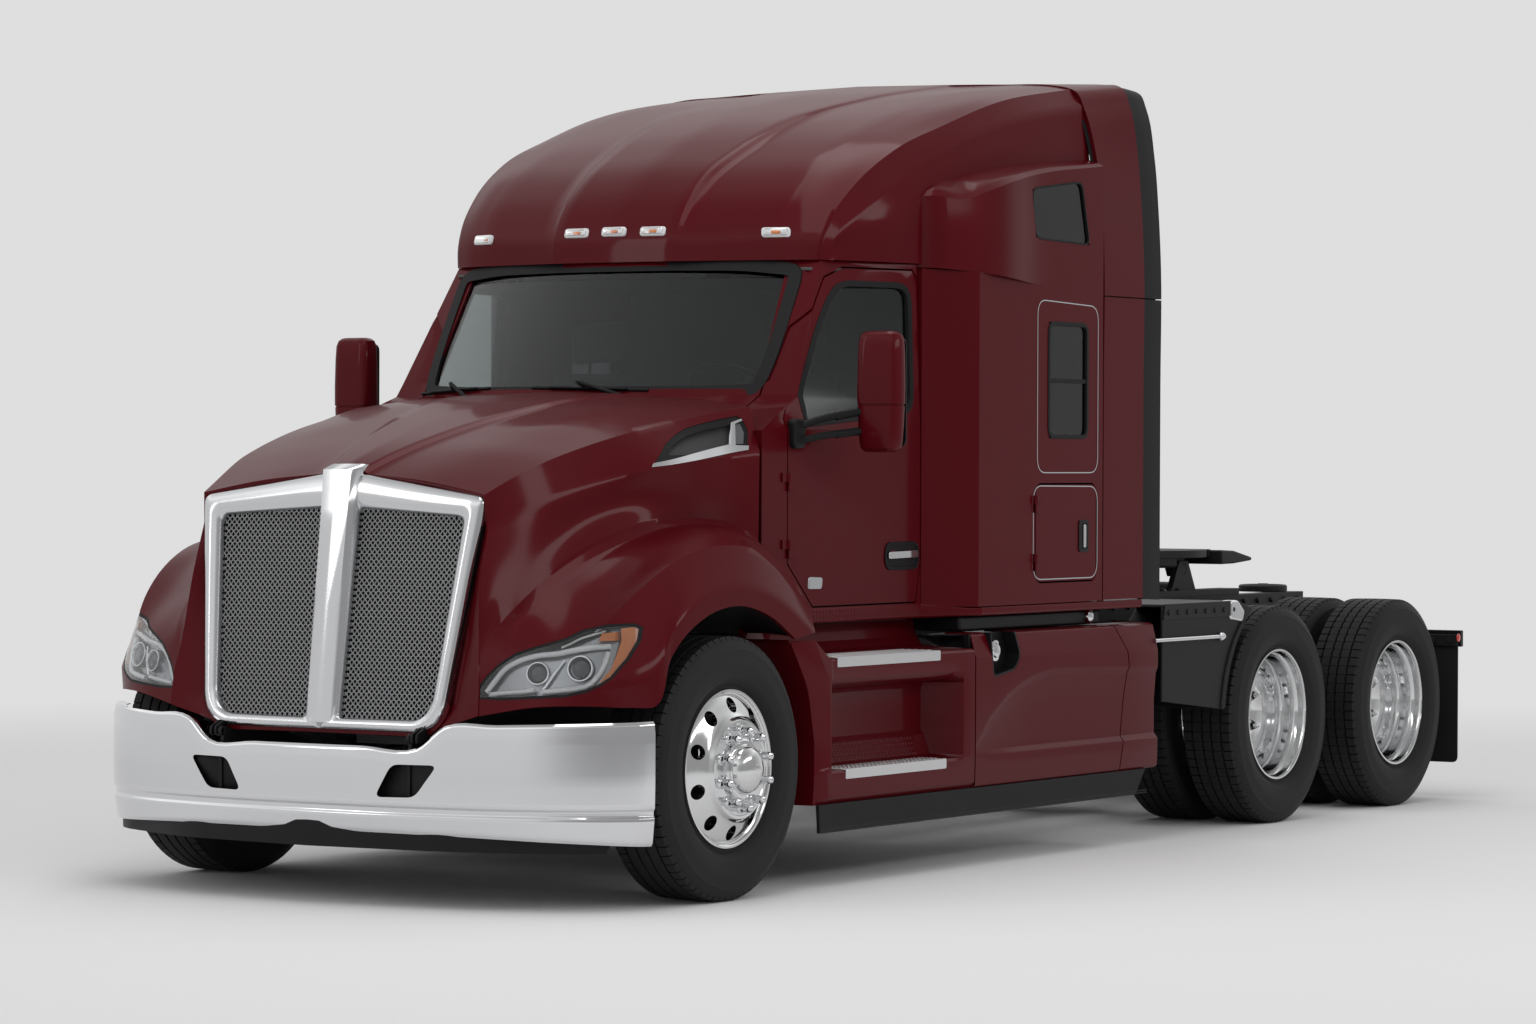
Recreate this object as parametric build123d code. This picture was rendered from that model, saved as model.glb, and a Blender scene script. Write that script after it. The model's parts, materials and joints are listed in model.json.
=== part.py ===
from build123d import *

import os
from math import sqrt

# Conventional semi truck tractor with a raised-roof sleeper, as separate solids.
#
# Frame: +X is the truck's left side, +Y runs rearwards, +Z is up, and the tyres stand on Z = 0.
# Inside this file every station along Y is measured from the front axle, as a truck drawing is
# dimensioned. export() moves each node so that the origin lies on the ground, in the middle of
# the truck's length. All sizes are millimetres.

os.makedirs("parts", exist_ok=True)

# ---------------------------------------------------------------- driving sizes
SEAT = 0.3               # between fixed pieces that seat on each other
PANEL_GAP = 7.0          # between a door, locker or hood and its opening
BORE_GAP = 0.05          # radial, at pins and spindles

# wheels
TYRE_R = 495.0           # outside radius, and the height of the wheel centres
TYRE_W = 285.0
TREAD_W = 236.0
RIM_SEAT_R = 286.0       # 22.5 inch bead seat
RIM_FLANGE_R = 298.5
RIM_W = 232.0            # over the flanges
RIM_WALL = 12.0
DISC_OFFSET = 171.0      # rim centre line to the disc's mounting face
DISC_T = 24.0
HAND_HOLES = 10
HAND_HOLE_R = 31.0
HAND_HOLE_RING_R = 212.0
HUB_R = 106.0
HUB_CAP_R = 78.0
HUB_CAP_L = 66.0
DRUM_R = 216.0
DRUM_WALL = 12.0
FRONT_WHEEL_X = 1127.0   # middle of the steered tyre
REAR_OUTER_X = 1109.0    # middle of the outer twin tyre

# axles
FIRST_DRIVE_Y = 4660.0
TANDEM_SPACING = 1285.0
KINGPIN_X = 985.0
KINGPIN_R = 22.0
SPINDLE_R = 42.0
STEER_ARM_Y = 190.0      # steering arm's ball joint, behind the kingpin
STEER_ARM_INSET = 0.0
TIE_ROD_R = 20.0
TIE_ROD_Z = 395.0

# frame
RAIL_X = 430.0           # outside of the rail's web
RAIL_H = 270.0
RAIL_FLANGE = 85.0
RAIL_T = 9.0
RAIL_TOP = 1000.0
RAIL_FRONT_Y = -740.0
RAIL_REAR_Y = 6560.0

# hood
HOOD_T = 20.0
HOOD_SIDE_REAR_Y = 512.0
HOOD_MID_REAR_Y = 690.0
HOOD_FOOT_Z = 718.0
FENDER_TAIL_Z = 968.0
ARCH_Y = 60.0
ARCH_Z = 475.0
ARCH_R = 622.0
GRILLE_TOP_Y = -738.0
GRILLE_TOP_Z = 1512.0
GRILLE_FOOT_Y = -868.0
GRILLE_FOOT_Z = 645.0
HOOD_PIVOT_Y = -900.0
HOOD_PIVOT_Z = 622.0
HOOD_PIN_R = 10.0
HINGE_EAR_R = 17.0

# cab
CAB_X = 1050.0
CAB_REAR_Y = 1735.0
FLOOR_T = 40.0
WALL_T = 48.0
GLASS_T = 6.0
COWL_Z = 1760.0
BELT_Z = 1900.0
ROOF_EDGE_Z = 2440.0
DOOR_FRONT_Y = 720.0
DOOR_REAR_Y = 1727.0
DOOR_FOOT_Z = 1075.0
DOOR_TOP_Z = 2412.0
DOOR_INNER_X = 822.0      # the door takes no wall nearer the middle than this
DOOR_HINGE_X = 1056.0
DOOR_HINGE_Y = 716.0
DOOR_HINGES_Z = (1300.0, 1560.0)
HINGE_R = 5.0            # pins of doors and lockers
HINGE_BARREL_R = 10.0
HINGE_H = 36.0           # height of one barrel

# sleeper
SLEEPER_X = 1220.0
SLEEPER_FRONT_Y = 1910.0
SLEEPER_REAR_Y = 2970.0
SLEEPER_FOOT_Z = 1052.0
SEAM_FRONT_Z = 2412.0
SEAM_REAR_Z = 2340.0
ROOF_Z = 3295.0
EXTENDER_REAR_Y = 3340.0
FLAP_REAR_Y = 3515.0
LOCKER_FRONT_Y = 2389.0
LOCKER_REAR_Y = 2911.0
LOCKER_FOOT_Z = 1143.0
LOCKER_TOP_Z = 1546.0
LOCKER_HINGE_X = SLEEPER_X + 8
LOCKER_HINGE_Y = LOCKER_FRONT_Y - PANEL_GAP - 8
LOCKER_HINGES_Z = (LOCKER_FOOT_Z + 80, LOCKER_TOP_Z - 80)

# side fairings
FAIRING_X = 1250.0
FAIRING_T = 25.0
FAIRING_INNER_X = 1000.0
FAIRING_TOP_Z = 950.0
FAIRING_FOOT_Z = 320.0
STEP_FRONT_Y = 712.0
STEP_BACK_Y = 1565.0
UPPER_TREAD_Z = 845.0
LOWER_TREAD_Z = 405.0
TREAD_T = 34.0
TANK_FRONT_Y = 1843.0
TANK_SPLIT_Y = 3085.0
FAIRING_REAR_Y = 3460.0
TANK_R = 290.0
TANK_X = 905.0
TANK_Z = 640.0

# bumper
BUMPER_T = 8.0
BUMPER_BEND_X = 640.0    # where the flat middle turns into the swept end
BUMPER_BEND_Y = -902.0
NOSE_T = 16.0            # plates that carry bumper and hood
BUMPER_X = 1262.0
BUMPER_FRONT_Y = -957.0
BUMPER_END_Y = -520.0
BUMPER_TOP_Z = 695.0
BUMPER_DIP_Z = 590.0
BUMPER_FOOT_Z = 280.0
LIP_FOOT_Z = 215.0
LIP_T = 6.0

# coupling and rear end
PLATE_Y = 5330.0         # kingpin of a coupled trailer
PLATE_TOP_Z = 1222.0
PLATE_T = 36.0
PLATE_R = 470.0
COUPLER_BORE_R = 25.7    # 2 inch kingpin and its wear allowance
PLATE_PIVOT_Z = 1130.0
PLATE_PIN_R = 26.0
MUDFLAP_Y = 6612.0
MUDFLAP_T = 10.0
MUDFLAP_FOOT_Z = 170.0
MUDFLAP_TOP_Z = 800.0
HANGER_T = 30.0
REAR_END_Y = MUDFLAP_Y + MUDFLAP_T + HANGER_T
TAIL_LAMP_T = 12.0

MID_Y = (BUMPER_FRONT_Y + REAR_END_Y + TAIL_LAMP_T) / 2
DUAL_FACE_X = REAR_OUTER_X - DISC_OFFSET
REAR_INNER_X = DUAL_FACE_X - DISC_OFFSET
DRIVE_AXLES_Y = (FIRST_DRIVE_Y, FIRST_DRIVE_Y + TANDEM_SPACING)
FLOOR_Z = RAIL_TOP + SEAT


# ---------------------------------------------------------------- helpers
def outline(points, radius=0.0):
    """A closed face through the points, with one corner radius or a list of them."""
    if isinstance(radius, (int, float)) and radius == 0:
        return make_face(Polyline(*points, close=True))
    return make_face(FilletPolyline(*points, radius=radius, close=True))


def side_prism(points, x0, x1, radius=0.0):
    """Side-view outline of (Y, Z) points, carried from x0 to x1."""
    return Pos(x0, 0, 0) * extrude(Plane.YZ * outline(points, radius), x1 - x0)


def front_prism(points, y0, y1, radius=0.0):
    """Front-view outline of (X, Z) points, carried from y0 to y1."""
    view = Plane(origin=(0, y1, 0), x_dir=(1, 0, 0), z_dir=(0, -1, 0))
    return extrude(view * outline(points, radius), y1 - y0)


def plan_prism(points, z0, z1, radius=0.0):
    """Plan-view outline of (X, Y) points, carried from z0 to z1."""
    return Pos(0, 0, z0) * extrude(outline(points, radius), z1 - z0)


def block(x0, x1, y0, y1, z0, z1):
    """A box given by its lowest and highest coordinate on each axis."""
    centre = Pos((x0 + x1) / 2, (y0 + y1) / 2, (z0 + z1) / 2)
    return centre * Box(x1 - x0, y1 - y0, z1 - z0)


def rod(x0, x1, y, z, r):
    """A round bar along X."""
    return Pos(x0, y, z) * Rot(0, 90, 0) * extrude(Circle(r), x1 - x0)


def post(x, y, z0, z1, r):
    """A round bar along Z."""
    return Pos(x, y, z0) * extrude(Circle(r), z1 - z0)


def shaft(x, z, y0, y1, r):
    """A round bar along Y."""
    return Pos(x, y0, z) * Rot(-90, 0, 0) * extrude(Circle(r), y1 - y0)


def turned(points, radius=0.0):
    """A body turned about the X axis from (X, radial) points."""
    view = Plane(origin=(0, 0, 0), x_dir=(1, 0, 0), z_dir=(0, -1, 0))
    return revolve(view * outline(points, radius), Axis.X)


def opposite(shape):
    """The same piece on the truck's other side."""
    return mirror(shape, about=Plane.YZ)


def both(shape):
    """The left piece and its mirror image."""
    return [shape, opposite(shape)]


def mirrored(points):
    """Closes a half outline, whose first points are on the left, with its mirror image."""
    return points + [(-x, z) for x, z in reversed(points)]


def export(name, shape):
    """Writes one node, moved to the frame whose origin is at the middle of the length."""
    pieces = shape if isinstance(shape, (list, tuple)) else [shape]
    solids = []
    for piece in pieces:
        solids += list((Pos(0, -MID_Y, 0) * piece).solids())
    export_step(Compound(children=solids), f"parts/{name}.step")


# ---------------------------------------------------------------- wheels
def tyre():
    """One tyre about X = 0, its sidewalls bulged past the rim and its shoulders rounded."""
    half, tread = TYRE_W / 2, TREAD_W / 2
    bead = RIM_W / 2 - RIM_WALL - 1
    foot = RIM_SEAT_R + SEAT
    flange = RIM_FLANGE_R + 14
    profile = [
        (-bead, foot), (-bead, flange), (-half, RIM_FLANGE_R + 85), (-half + 4, TYRE_R - 60),
        (-tread, TYRE_R - 6), (-tread + 30, TYRE_R), (tread - 30, TYRE_R), (tread, TYRE_R - 6),
        (half - 4, TYRE_R - 60), (half, RIM_FLANGE_R + 85), (bead, flange), (bead, foot),
    ]
    return turned(profile, [0, 6, 50, 40, 8, 0, 0, 8, 40, 50, 6, 0])


def disc_wheel():
    """A forged rim about X = 0 whose pierced disc stands out on the +X side."""
    half, seat, lip = RIM_W / 2, RIM_SEAT_R, RIM_FLANGE_R
    well = seat - 42
    disc_in, disc_out = DISC_OFFSET - DISC_T, DISC_OFFSET
    barrel = turned([
        (-half, lip), (-half + RIM_WALL, lip), (-half + RIM_WALL, seat), (-half + 50, seat - 6),
        (-20, well), (40, well), (half - 50, seat - 6), (half - RIM_WALL, seat),
        (half - RIM_WALL, lip), (half, lip), (half, seat - RIM_WALL), (half - 40, seat - 20),
        (46, well - RIM_WALL), (-26, well - RIM_WALL), (-half + 40, seat - 20),
        (-half, seat - RIM_WALL),
    ])
    disc = turned([
        (20, well - 4), (52, well - 2), (disc_in + 6, 192), (disc_out, 178), (disc_out, 60),
        (disc_in, 60), (disc_in, 172), (disc_in - 26, 178), (20, well - 30),
    ])
    for i in range(HAND_HOLES):
        turn = Rot(360 / HAND_HOLES * i, 0, 0)
        disc -= turn * rod(0, DISC_OFFSET + DISC_T, 0, HAND_HOLE_RING_R, HAND_HOLE_R)
    return barrel + disc


def drum(x0, x1):
    """A brake drum that opens towards the truck's middle."""
    rim_in = DRUM_R - DRUM_WALL
    return turned([
        (x0, rim_in), (x0, DRUM_R), (x1, DRUM_R), (x1, HUB_R - 20), (x1 - DRUM_WALL, HUB_R - 20),
        (x1 - DRUM_WALL, rim_in),
    ])


def hub(x0, face, cap_l, bore_end):
    """A hub from x0 to its mounting face and the cap beyond it, bored for the spindle."""
    bore = SPINDLE_R + BORE_GAP
    return turned([
        (x0, bore), (x0, HUB_R - 12), (face - DISC_T, HUB_R - 12), (face - DISC_T, HUB_R + 50),
        (face - DISC_T + 1, HUB_R + 50), (face, HUB_R), (face + 12, HUB_R),
        (face + 18, HUB_CAP_R + 8), (face + cap_l, HUB_CAP_R), (face + cap_l + 8, HUB_CAP_R - 18),
        (face + cap_l + 8, 0), (bore_end, 0), (bore_end, bore),
    ])


FRONT_HUB_X = 48.0       # hub's inner end, from the wheel's middle
SPINDLE_L = 110.0        # spindle inside the hub
DRUM_IN = -62.0          # drum's inner edge, from the front wheel's middle


def front_wheel():
    """The steered wheel, left side: tyre, then disc wheel with hub and drum."""
    place = Pos(FRONT_WHEEL_X, 0, TYRE_R)
    bore_end = FRONT_HUB_X + SPINDLE_L + BORE_GAP
    turning = disc_wheel() + hub(FRONT_HUB_X, DISC_OFFSET, HUB_CAP_L, bore_end)
    turning += drum(DRUM_IN, FRONT_HUB_X + 2 * DRUM_WALL)
    return place * tyre(), place * turning


DRIVE_HUB_L = 150.0      # hub behind the twin discs
DRIVE_CAP_L = 74.0


def dual_wheel(y):
    """Twin tyres and, as one solid, their two disc wheels on one hub with its drum."""
    outer = Pos(REAR_OUTER_X, y, TYRE_R)
    inner = Pos(REAR_INNER_X, y, TYRE_R)
    wheels = outer * mirror(disc_wheel(), about=Plane.YZ) + inner * disc_wheel()
    face = DUAL_FACE_X
    start = face - DRIVE_HUB_L
    middle = Pos(0, y, TYRE_R)
    wheels += middle * hub(start, face + DISC_T, DRIVE_CAP_L, face - DISC_T)
    wheels += middle * drum(start - 30, start + 60)
    return [outer * tyre(), inner * tyre()], wheels


# ---------------------------------------------------------------- axles and steering
KNUCKLE_H = 64.0         # half height of the beam's kingpin boss
YOKE_T = 30.0
BEAM_DROP_Z = 395.0
SPRING_X = 395.0
SPRING_L = 620.0
LEAF_T = 12.0


def front_axle():
    """Dropped I-beam with kingpin bosses, and the leaf springs that carry the rails."""
    web = [(0, BEAM_DROP_Z - 60), (560, BEAM_DROP_Z - 60), (760, TYRE_R - 50),
           (KINGPIN_X, TYRE_R - 50), (KINGPIN_X, TYRE_R + 50), (740, TYRE_R + 50),
           (540, BEAM_DROP_Z + 60), (0, BEAM_DROP_Z + 60)]
    beam = front_prism(web + [(-x, z) for x, z in reversed(web[1:-1])], -55, 55)
    beam -= block(-500, 500, -70, -16, BEAM_DROP_Z - 38, BEAM_DROP_Z + 38)
    beam -= block(-500, 500, 16, 70, BEAM_DROP_Z - 38, BEAM_DROP_Z + 38)
    for side in (1, -1):
        x = side * KINGPIN_X
        beam += post(x, 0, TYRE_R - KNUCKLE_H, TYRE_R + KNUCKLE_H, 58)
        beam -= post(x, 0, TYRE_R - KNUCKLE_H - 1, TYRE_R + KNUCKLE_H + 1, KINGPIN_R + BORE_GAP)
        beam += leaf_spring(side * SPRING_X)
    return beam


def leaf_spring(x):
    """Two long leaves on a saddle over the beam, hung from an eye in front and behind."""
    saddle_z = BEAM_DROP_Z + 60
    eye_z = RAIL_TOP - RAIL_H - 60
    rise = eye_z - saddle_z - 50
    leaves = side_prism([
        (-SPRING_L, eye_z), (-120, saddle_z + 50 + rise * 0.06), (120, saddle_z + 50 + rise * 0.06),
        (SPRING_L, eye_z), (SPRING_L, eye_z - 3 * LEAF_T), (120, saddle_z + 50 - 2 * LEAF_T),
        (-120, saddle_z + 50 - 2 * LEAF_T), (-SPRING_L, eye_z - 3 * LEAF_T),
    ], x - 38, x + 38)
    saddle = block(x - 44, x + 44, -75, 75, saddle_z - 8, saddle_z + 50)
    hangers = [
        block(x - 20, x + 20, y - 40, y + 40, eye_z - 3 * LEAF_T, RAIL_TOP - RAIL_H - SEAT)
        for y in (-SPRING_L + 20, SPRING_L - 20)
    ]
    return leaves + saddle + hangers[0] + hangers[1]


def knuckle():
    """Left steering knuckle: a fork over the beam's boss, its pin, the spindle and the arm."""
    x, z = KINGPIN_X, TYRE_R
    fork = post(x, 0, z + KNUCKLE_H + 1, z + KNUCKLE_H + 1 + YOKE_T, 52)
    fork += post(x, 0, z - KNUCKLE_H - 1 - YOKE_T, z - KNUCKLE_H - 1, 52)
    top, low = z + KNUCKLE_H + 1 + YOKE_T, z - KNUCKLE_H - 1 - YOKE_T
    bridge = block(x + 62, x + 92, -50, 50, low, top)
    for z0, z1 in ((z + KNUCKLE_H + 1, top), (low, z - KNUCKLE_H - 1)):
        bridge += block(x, x + 92, -50, 50, z0, z1)
    pin = post(x, 0, low, top, KINGPIN_R)
    spindle_end = FRONT_WHEEL_X + FRONT_HUB_X + SPINDLE_L
    spindle = rod(x + 62, spindle_end, 0, z, SPINDLE_R)
    ball_x = x - STEER_ARM_INSET
    arm = plan_prism([(x - 40, 0), (x + 40, 0), (ball_x + 34, STEER_ARM_Y + 30),
                      (ball_x - 34, STEER_ARM_Y + 30)], low, low + YOKE_T)
    arm -= post(ball_x, STEER_ARM_Y, low - 1, low + YOKE_T + 1, TIE_ROD_R * 0.5 + BORE_GAP)
    return fork + bridge + pin + spindle + arm


def tie_rod():
    """The rod that joins both steering arms, with a ball pin at each end."""
    ball_x = KINGPIN_X - STEER_ARM_INSET
    low = TYRE_R - KNUCKLE_H - 1 - YOKE_T
    bar = rod(-ball_x + 10, ball_x - 10, STEER_ARM_Y, low - 36, TIE_ROD_R)
    for side in (1, -1):
        bar += post(side * ball_x, STEER_ARM_Y, low - 60, low - 4, 28)
    bar += post(ball_x, STEER_ARM_Y, low - 30, low + YOKE_T - 2, TIE_ROD_R * 0.5)
    return bar


AIR_SPRING_R = 125.0
PINION_X = 60.0
PINION_L = 330.0
BOWL_REAR = 170.0
DIFF_R = 215.0


def drive_axle(y):
    """A drive axle's housing with its bowl, spindles, and the beams and air springs it rides on."""
    end = DUAL_FACE_X - DISC_T - 2
    shape = rod(-end, end, y, TYRE_R, SPINDLE_R)
    inner = DUAL_FACE_X - DRIVE_HUB_L - 40
    shape += rod(-inner, inner, y, TYRE_R, 66)
    bowl = Pos(0, y, TYRE_R) * Sphere(DIFF_R)
    shape += bowl & block(-260, 260, y - 200, y + BOWL_REAR, TYRE_R - 200, TYRE_R + 200)
    shape += shaft(PINION_X, TYRE_R + 20, y - PINION_L, y - 100, 70)
    for side in (1, -1):
        x = side * SPRING_X
        shape += side_prism([
            (y - 520, 560), (y - 60, 400), (y + 60, 400), (y + 420, 400), (y + 420, 450),
            (y + 80, 470), (y - 60, 470), (y - 520, 640),
        ], x - 42, x + 42)
        shape += post(x, y + 320, 450, RAIL_TOP - RAIL_H - SEAT, AIR_SPRING_R)
        shape += block(x - 36, x + 36, y - 560, y - 480, 540, RAIL_TOP - RAIL_H - SEAT)
    return shape


# ---------------------------------------------------------------- frame
CROSSMEMBERS = (-505.0, 1500.0, 2700.0, 3900.0, 5302.0, 6515.0)    # stations along Y
CROSSMEMBER_W = 80.0


def frame_rails():
    """Two channel rails with their lips inwards, and the plates that carry hood and bumper."""
    z0, z1 = RAIL_TOP - RAIL_H, RAIL_TOP
    lip = RAIL_X - RAIL_FLANGE
    channel = [(RAIL_X, z0), (RAIL_X, z1), (lip, z1), (lip, z1 - RAIL_T),
               (RAIL_X - RAIL_T, z1 - RAIL_T), (RAIL_X - RAIL_T, z0 + RAIL_T), (lip, z0 + RAIL_T),
               (lip, z0)]
    rail = front_prism(channel, RAIL_FRONT_Y, RAIL_REAR_Y)
    crown = (BUMPER_BEND_Y - BUMPER_FRONT_Y) / BUMPER_BEND_X
    back_y = BUMPER_FRONT_Y + BUMPER_T + crown * (RAIL_X + NOSE_T) + SEAT
    nose = side_prism([
        (RAIL_FRONT_Y + 160, z0 + 20), (RAIL_FRONT_Y + 160, z1 - 40), (RAIL_FRONT_Y - 20, z1 - 40),
        (RAIL_FRONT_Y - 60, z0 + 20), (RAIL_FRONT_Y - 75, HOOD_PIVOT_Z + HINGE_EAR_R - 2),
        (HOOD_PIVOT_Y, HOOD_PIVOT_Z + HINGE_EAR_R - 2), (HOOD_PIVOT_Y, BUMPER_DIP_Z),
        (back_y, BUMPER_DIP_Z - 10), (back_y, BUMPER_FOOT_Z + 60),
        (RAIL_FRONT_Y - 60, BUMPER_FOOT_Z + 60), (RAIL_FRONT_Y, z0 - 130),
    ], RAIL_X, RAIL_X + NOSE_T)
    nose += rod(RAIL_X, RAIL_X + NOSE_T, HOOD_PIVOT_Y, HOOD_PIVOT_Z, HINGE_EAR_R)
    nose -= rod(RAIL_X - 5, RAIL_X + 30, HOOD_PIVOT_Y, HOOD_PIVOT_Z, HOOD_PIN_R + BORE_GAP)
    return both(rail + nose)


def crossmembers():
    """Channels between the rails' webs, each closed by end plates that bolt to the webs."""
    z0, z1 = RAIL_TOP - RAIL_H + RAIL_T + SEAT, RAIL_TOP - RAIL_T - SEAT
    half = RAIL_X - RAIL_T - SEAT
    pieces = []
    for y in CROSSMEMBERS:
        a, b = y - CROSSMEMBER_W / 2, y + CROSSMEMBER_W / 2
        beam = block(-half, half, a, a + RAIL_T, z0 + 30, z1 - 30)
        beam += block(-half, half, a, b, z0 + 30, z0 + 30 + RAIL_T)
        beam += block(-half, half, a, b, z1 - 30 - RAIL_T, z1 - 30)
        for side in (1, -1):
            x0, x1 = sorted((side * half, side * (half - RAIL_T)))
            beam += block(x0, x1, a, b, z0, z1)
        if y < FIRST_DRIVE_Y:
            beam -= shaft(0, GEARBOX_Z, a - 1, b + 1, SHAFT_R + 20)
        pieces.append(beam)
    return pieces


# ---------------------------------------------------------------- engine
ENGINE_X = 330.0
ENGINE_FRONT_Y = -430.0
ENGINE_REAR_Y = 560.0
ENGINE_TOP_Z = 1470.0
GEARBOX_Z = 820.0
GEARBOX_R = 175.0
GEARBOX_L = 860.0
SHAFT_R = 55.0
SHAFT_BEARING_Y = 2700.0
RADIATOR_Y = -610.0
RADIATOR_T = 90.0
RADIATOR_X = 440.0
RADIATOR_TOP_Z = 1440.0


def engine():
    """Engine block with sump, gearbox and the drive shafts back to the axles."""
    shape = block(-ENGINE_X, ENGINE_X, ENGINE_FRONT_Y, ENGINE_REAR_Y, 860, ENGINE_TOP_Z)
    shape += block(-210, 210, ENGINE_FRONT_Y + 60, ENGINE_REAR_Y - 160, 560, 860)
    reach = RAIL_X - RAIL_T - SEAT
    shape += block(-reach, reach, ENGINE_REAR_Y - 190, ENGINE_REAR_Y - 110, 862, 920)
    shape += shaft(0, GEARBOX_Z, ENGINE_REAR_Y, ENGINE_REAR_Y + GEARBOX_L, GEARBOX_R)
    shape += shaft(0, GEARBOX_Z, ENGINE_REAR_Y + GEARBOX_L,
                   SHAFT_BEARING_Y - CROSSMEMBER_W / 2 - SEAT, SHAFT_R)
    return shape


def drive_shaft():
    """Rear shaft from the centre bearing down to the first drive axle."""
    front_y = SHAFT_BEARING_Y + CROSSMEMBER_W / 2
    rear_y = FIRST_DRIVE_Y - PINION_L
    lead = SHAFT_R * (GEARBOX_Z - TYRE_R - 20) / (rear_y - front_y) + 2 * SEAT
    start = (0, front_y + lead, GEARBOX_Z)
    end = (PINION_X, rear_y - lead, TYRE_R + 20)
    path = Line(start, end)
    view = Plane(origin=path @ 0, z_dir=path % 0)
    return extrude(view * Circle(SHAFT_R), path.length)


def axle_shaft():
    """Short shaft from the first drive axle to the second."""
    start = FIRST_DRIVE_Y + BOWL_REAR + SEAT
    end = FIRST_DRIVE_Y + TANDEM_SPACING - PINION_L - SEAT
    return shaft(PINION_X, TYRE_R + 20, start, end, SHAFT_R)


def radiator():
    """Radiator on the rails behind the grille."""
    y0, y1 = RADIATOR_Y - RADIATOR_T / 2, RADIATOR_Y + RADIATOR_T / 2
    shape = block(-RADIATOR_X, RADIATOR_X, y0, y1, FLOOR_Z, RADIATOR_TOP_Z)
    lower = RAIL_X - RAIL_FLANGE - 5
    return shape + block(-lower, lower, y0, y1, 720, FLOOR_Z)


# ---------------------------------------------------------------- hood
# One row per section of the hood, front to back. Columns: the station Y, the height of the
# centre line, then (X, Z) of the shoulder crease, the side crease, the fender's upper and outer
# creases, and the fender's skirt.
HOOD_SECTIONS = (
    (-700.0, 1626.0, (664, 1528), (690, 1420), (800, 1220), (1010, 1040), (1060, 700)),
    (-560.0, 1675.0, (700, 1578), (745, 1475), (880, 1315), (1130, 1160), (1190, 700)),
    (-300.0, 1752.0, (775, 1665), (860, 1560), (945, 1385), (1200, 1270), (1250, 700)),
    (0.0, 1830.0, (850, 1753), (962, 1635), (975, 1425), (1205, 1320), (1250, 700)),
    (300.0, 1893.0, (900, 1815), (995, 1672), (1000, 1415), (1205, 1296), (1250, 700)),
    (760.0, 1950.0, (965, 1875), (1046, 1705), (1048, 1300), (1130, 960), (1250, 700)),
)
# Columns: (X, Z) of the same creases where the hood ends at the leaning grille.
NOSE_SECTION = (1604.0, (640, 1512), (664, 1405), (682, 1180), (692, 1020), (702, 700))


def nose_y(z, inset=0.0):
    """Station of the leaning nose at the height z."""
    slope = (GRILLE_FOOT_Y - GRILLE_TOP_Y) / (GRILLE_FOOT_Z - GRILLE_TOP_Z)
    return GRILLE_TOP_Y + (z - GRILLE_TOP_Z) * slope + inset


def hood_section(y_of_z, top, creases, inset):
    """A closed section through the hood, each crease moved in by the wall thickness."""
    half = [(x - inset, z - inset * 0.7) for x, z in creases]
    foot = half[-1]
    half[-1] = (foot[0], foot[1] - inset)
    ring = [(0, top - inset)] + half + [(-x, z) for x, z in reversed(half)]
    points = [(x, y_of_z(z), z) for x, z in ring]
    return make_face(Polyline(*points, close=True))


def hood_form(inset):
    """The hood's outer or inner form, as a loft with straight runs between its sections."""
    nose = hood_section(lambda z: nose_y(z, inset), NOSE_SECTION[0], NOSE_SECTION[1:], inset)
    sections = [nose]
    for y, top, *creases in HOOD_SECTIONS:
        sections.append(hood_section(lambda z, y=y: y, top, creases, inset))
    return loft(sections, ruled=True)


def rear_arc(gap, z0, z1):
    """The space behind the hood: its front is an arc across the truck, moved back by gap."""
    half = 1400.0
    depth = HOOD_MID_REAR_Y - HOOD_SIDE_REAR_Y
    r = (CAB_X ** 2 + depth ** 2) / (2 * depth)
    centre_y = HOOD_MID_REAR_Y - r + gap
    end_y = centre_y + sqrt(r ** 2 - half ** 2)
    line = ThreePointArc((half, end_y), (0, HOOD_MID_REAR_Y + gap), (-half, end_y))
    rest = Polyline((-half, end_y), (-half, 2200), (half, 2200), (half, end_y))
    return Pos(0, 0, z0) * extrude(make_face(line + rest), z1 - z0)


HINGE_X = RAIL_X + NOSE_T + 6
HINGE_T = 18.0


def hood_hinge():
    """Left hinge lug inside the hood's foot, with the pin that turns in the frame's plate."""
    y, z = HOOD_PIVOT_Y, HOOD_PIVOT_Z
    lug = side_prism([
        (y, z - HINGE_EAR_R), (y + 40, z - HINGE_EAR_R), (y + 85, z + 40), (y + 85, z + 150),
        (nose_y(z + 150) + 3, z + 150), (nose_y(HOOD_FOOT_Z) + 3, HOOD_FOOT_Z + 2),
        (y + 58, z + 78), (y + 52, z + HINGE_EAR_R), (y, z + HINGE_EAR_R),
    ], HINGE_X, HINGE_X + HINGE_T)
    lug += rod(HINGE_X, HINGE_X + HINGE_T, y, z, HINGE_EAR_R)
    return lug + rod(RAIL_X, HINGE_X + 1, y, z, HOOD_PIN_R)


LAMP_OUTLINE = ((684, 783), (760, 880), (880, 950), (1010, 1000), (1165, 1035), (1150, 905),
                (1100, 800), (880, 778))     # (X, Z) of the headlamp in front view, clockwise
GRILLE_OPENING = ((0, 1500), (560, 1430), (508, 780), (0, 780))    # (X, Z), half outline


def lamp_prism(grow):
    """The left headlamp's outline carried through the fender."""
    face = outline(LAMP_OUTLINE, 12)
    if grow:
        face = offset(face, grow)
    view = Plane(origin=(0, 0, 0), x_dir=(1, 0, 0), z_dir=(0, -1, 0))
    return extrude(view * face, 1000)


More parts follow.
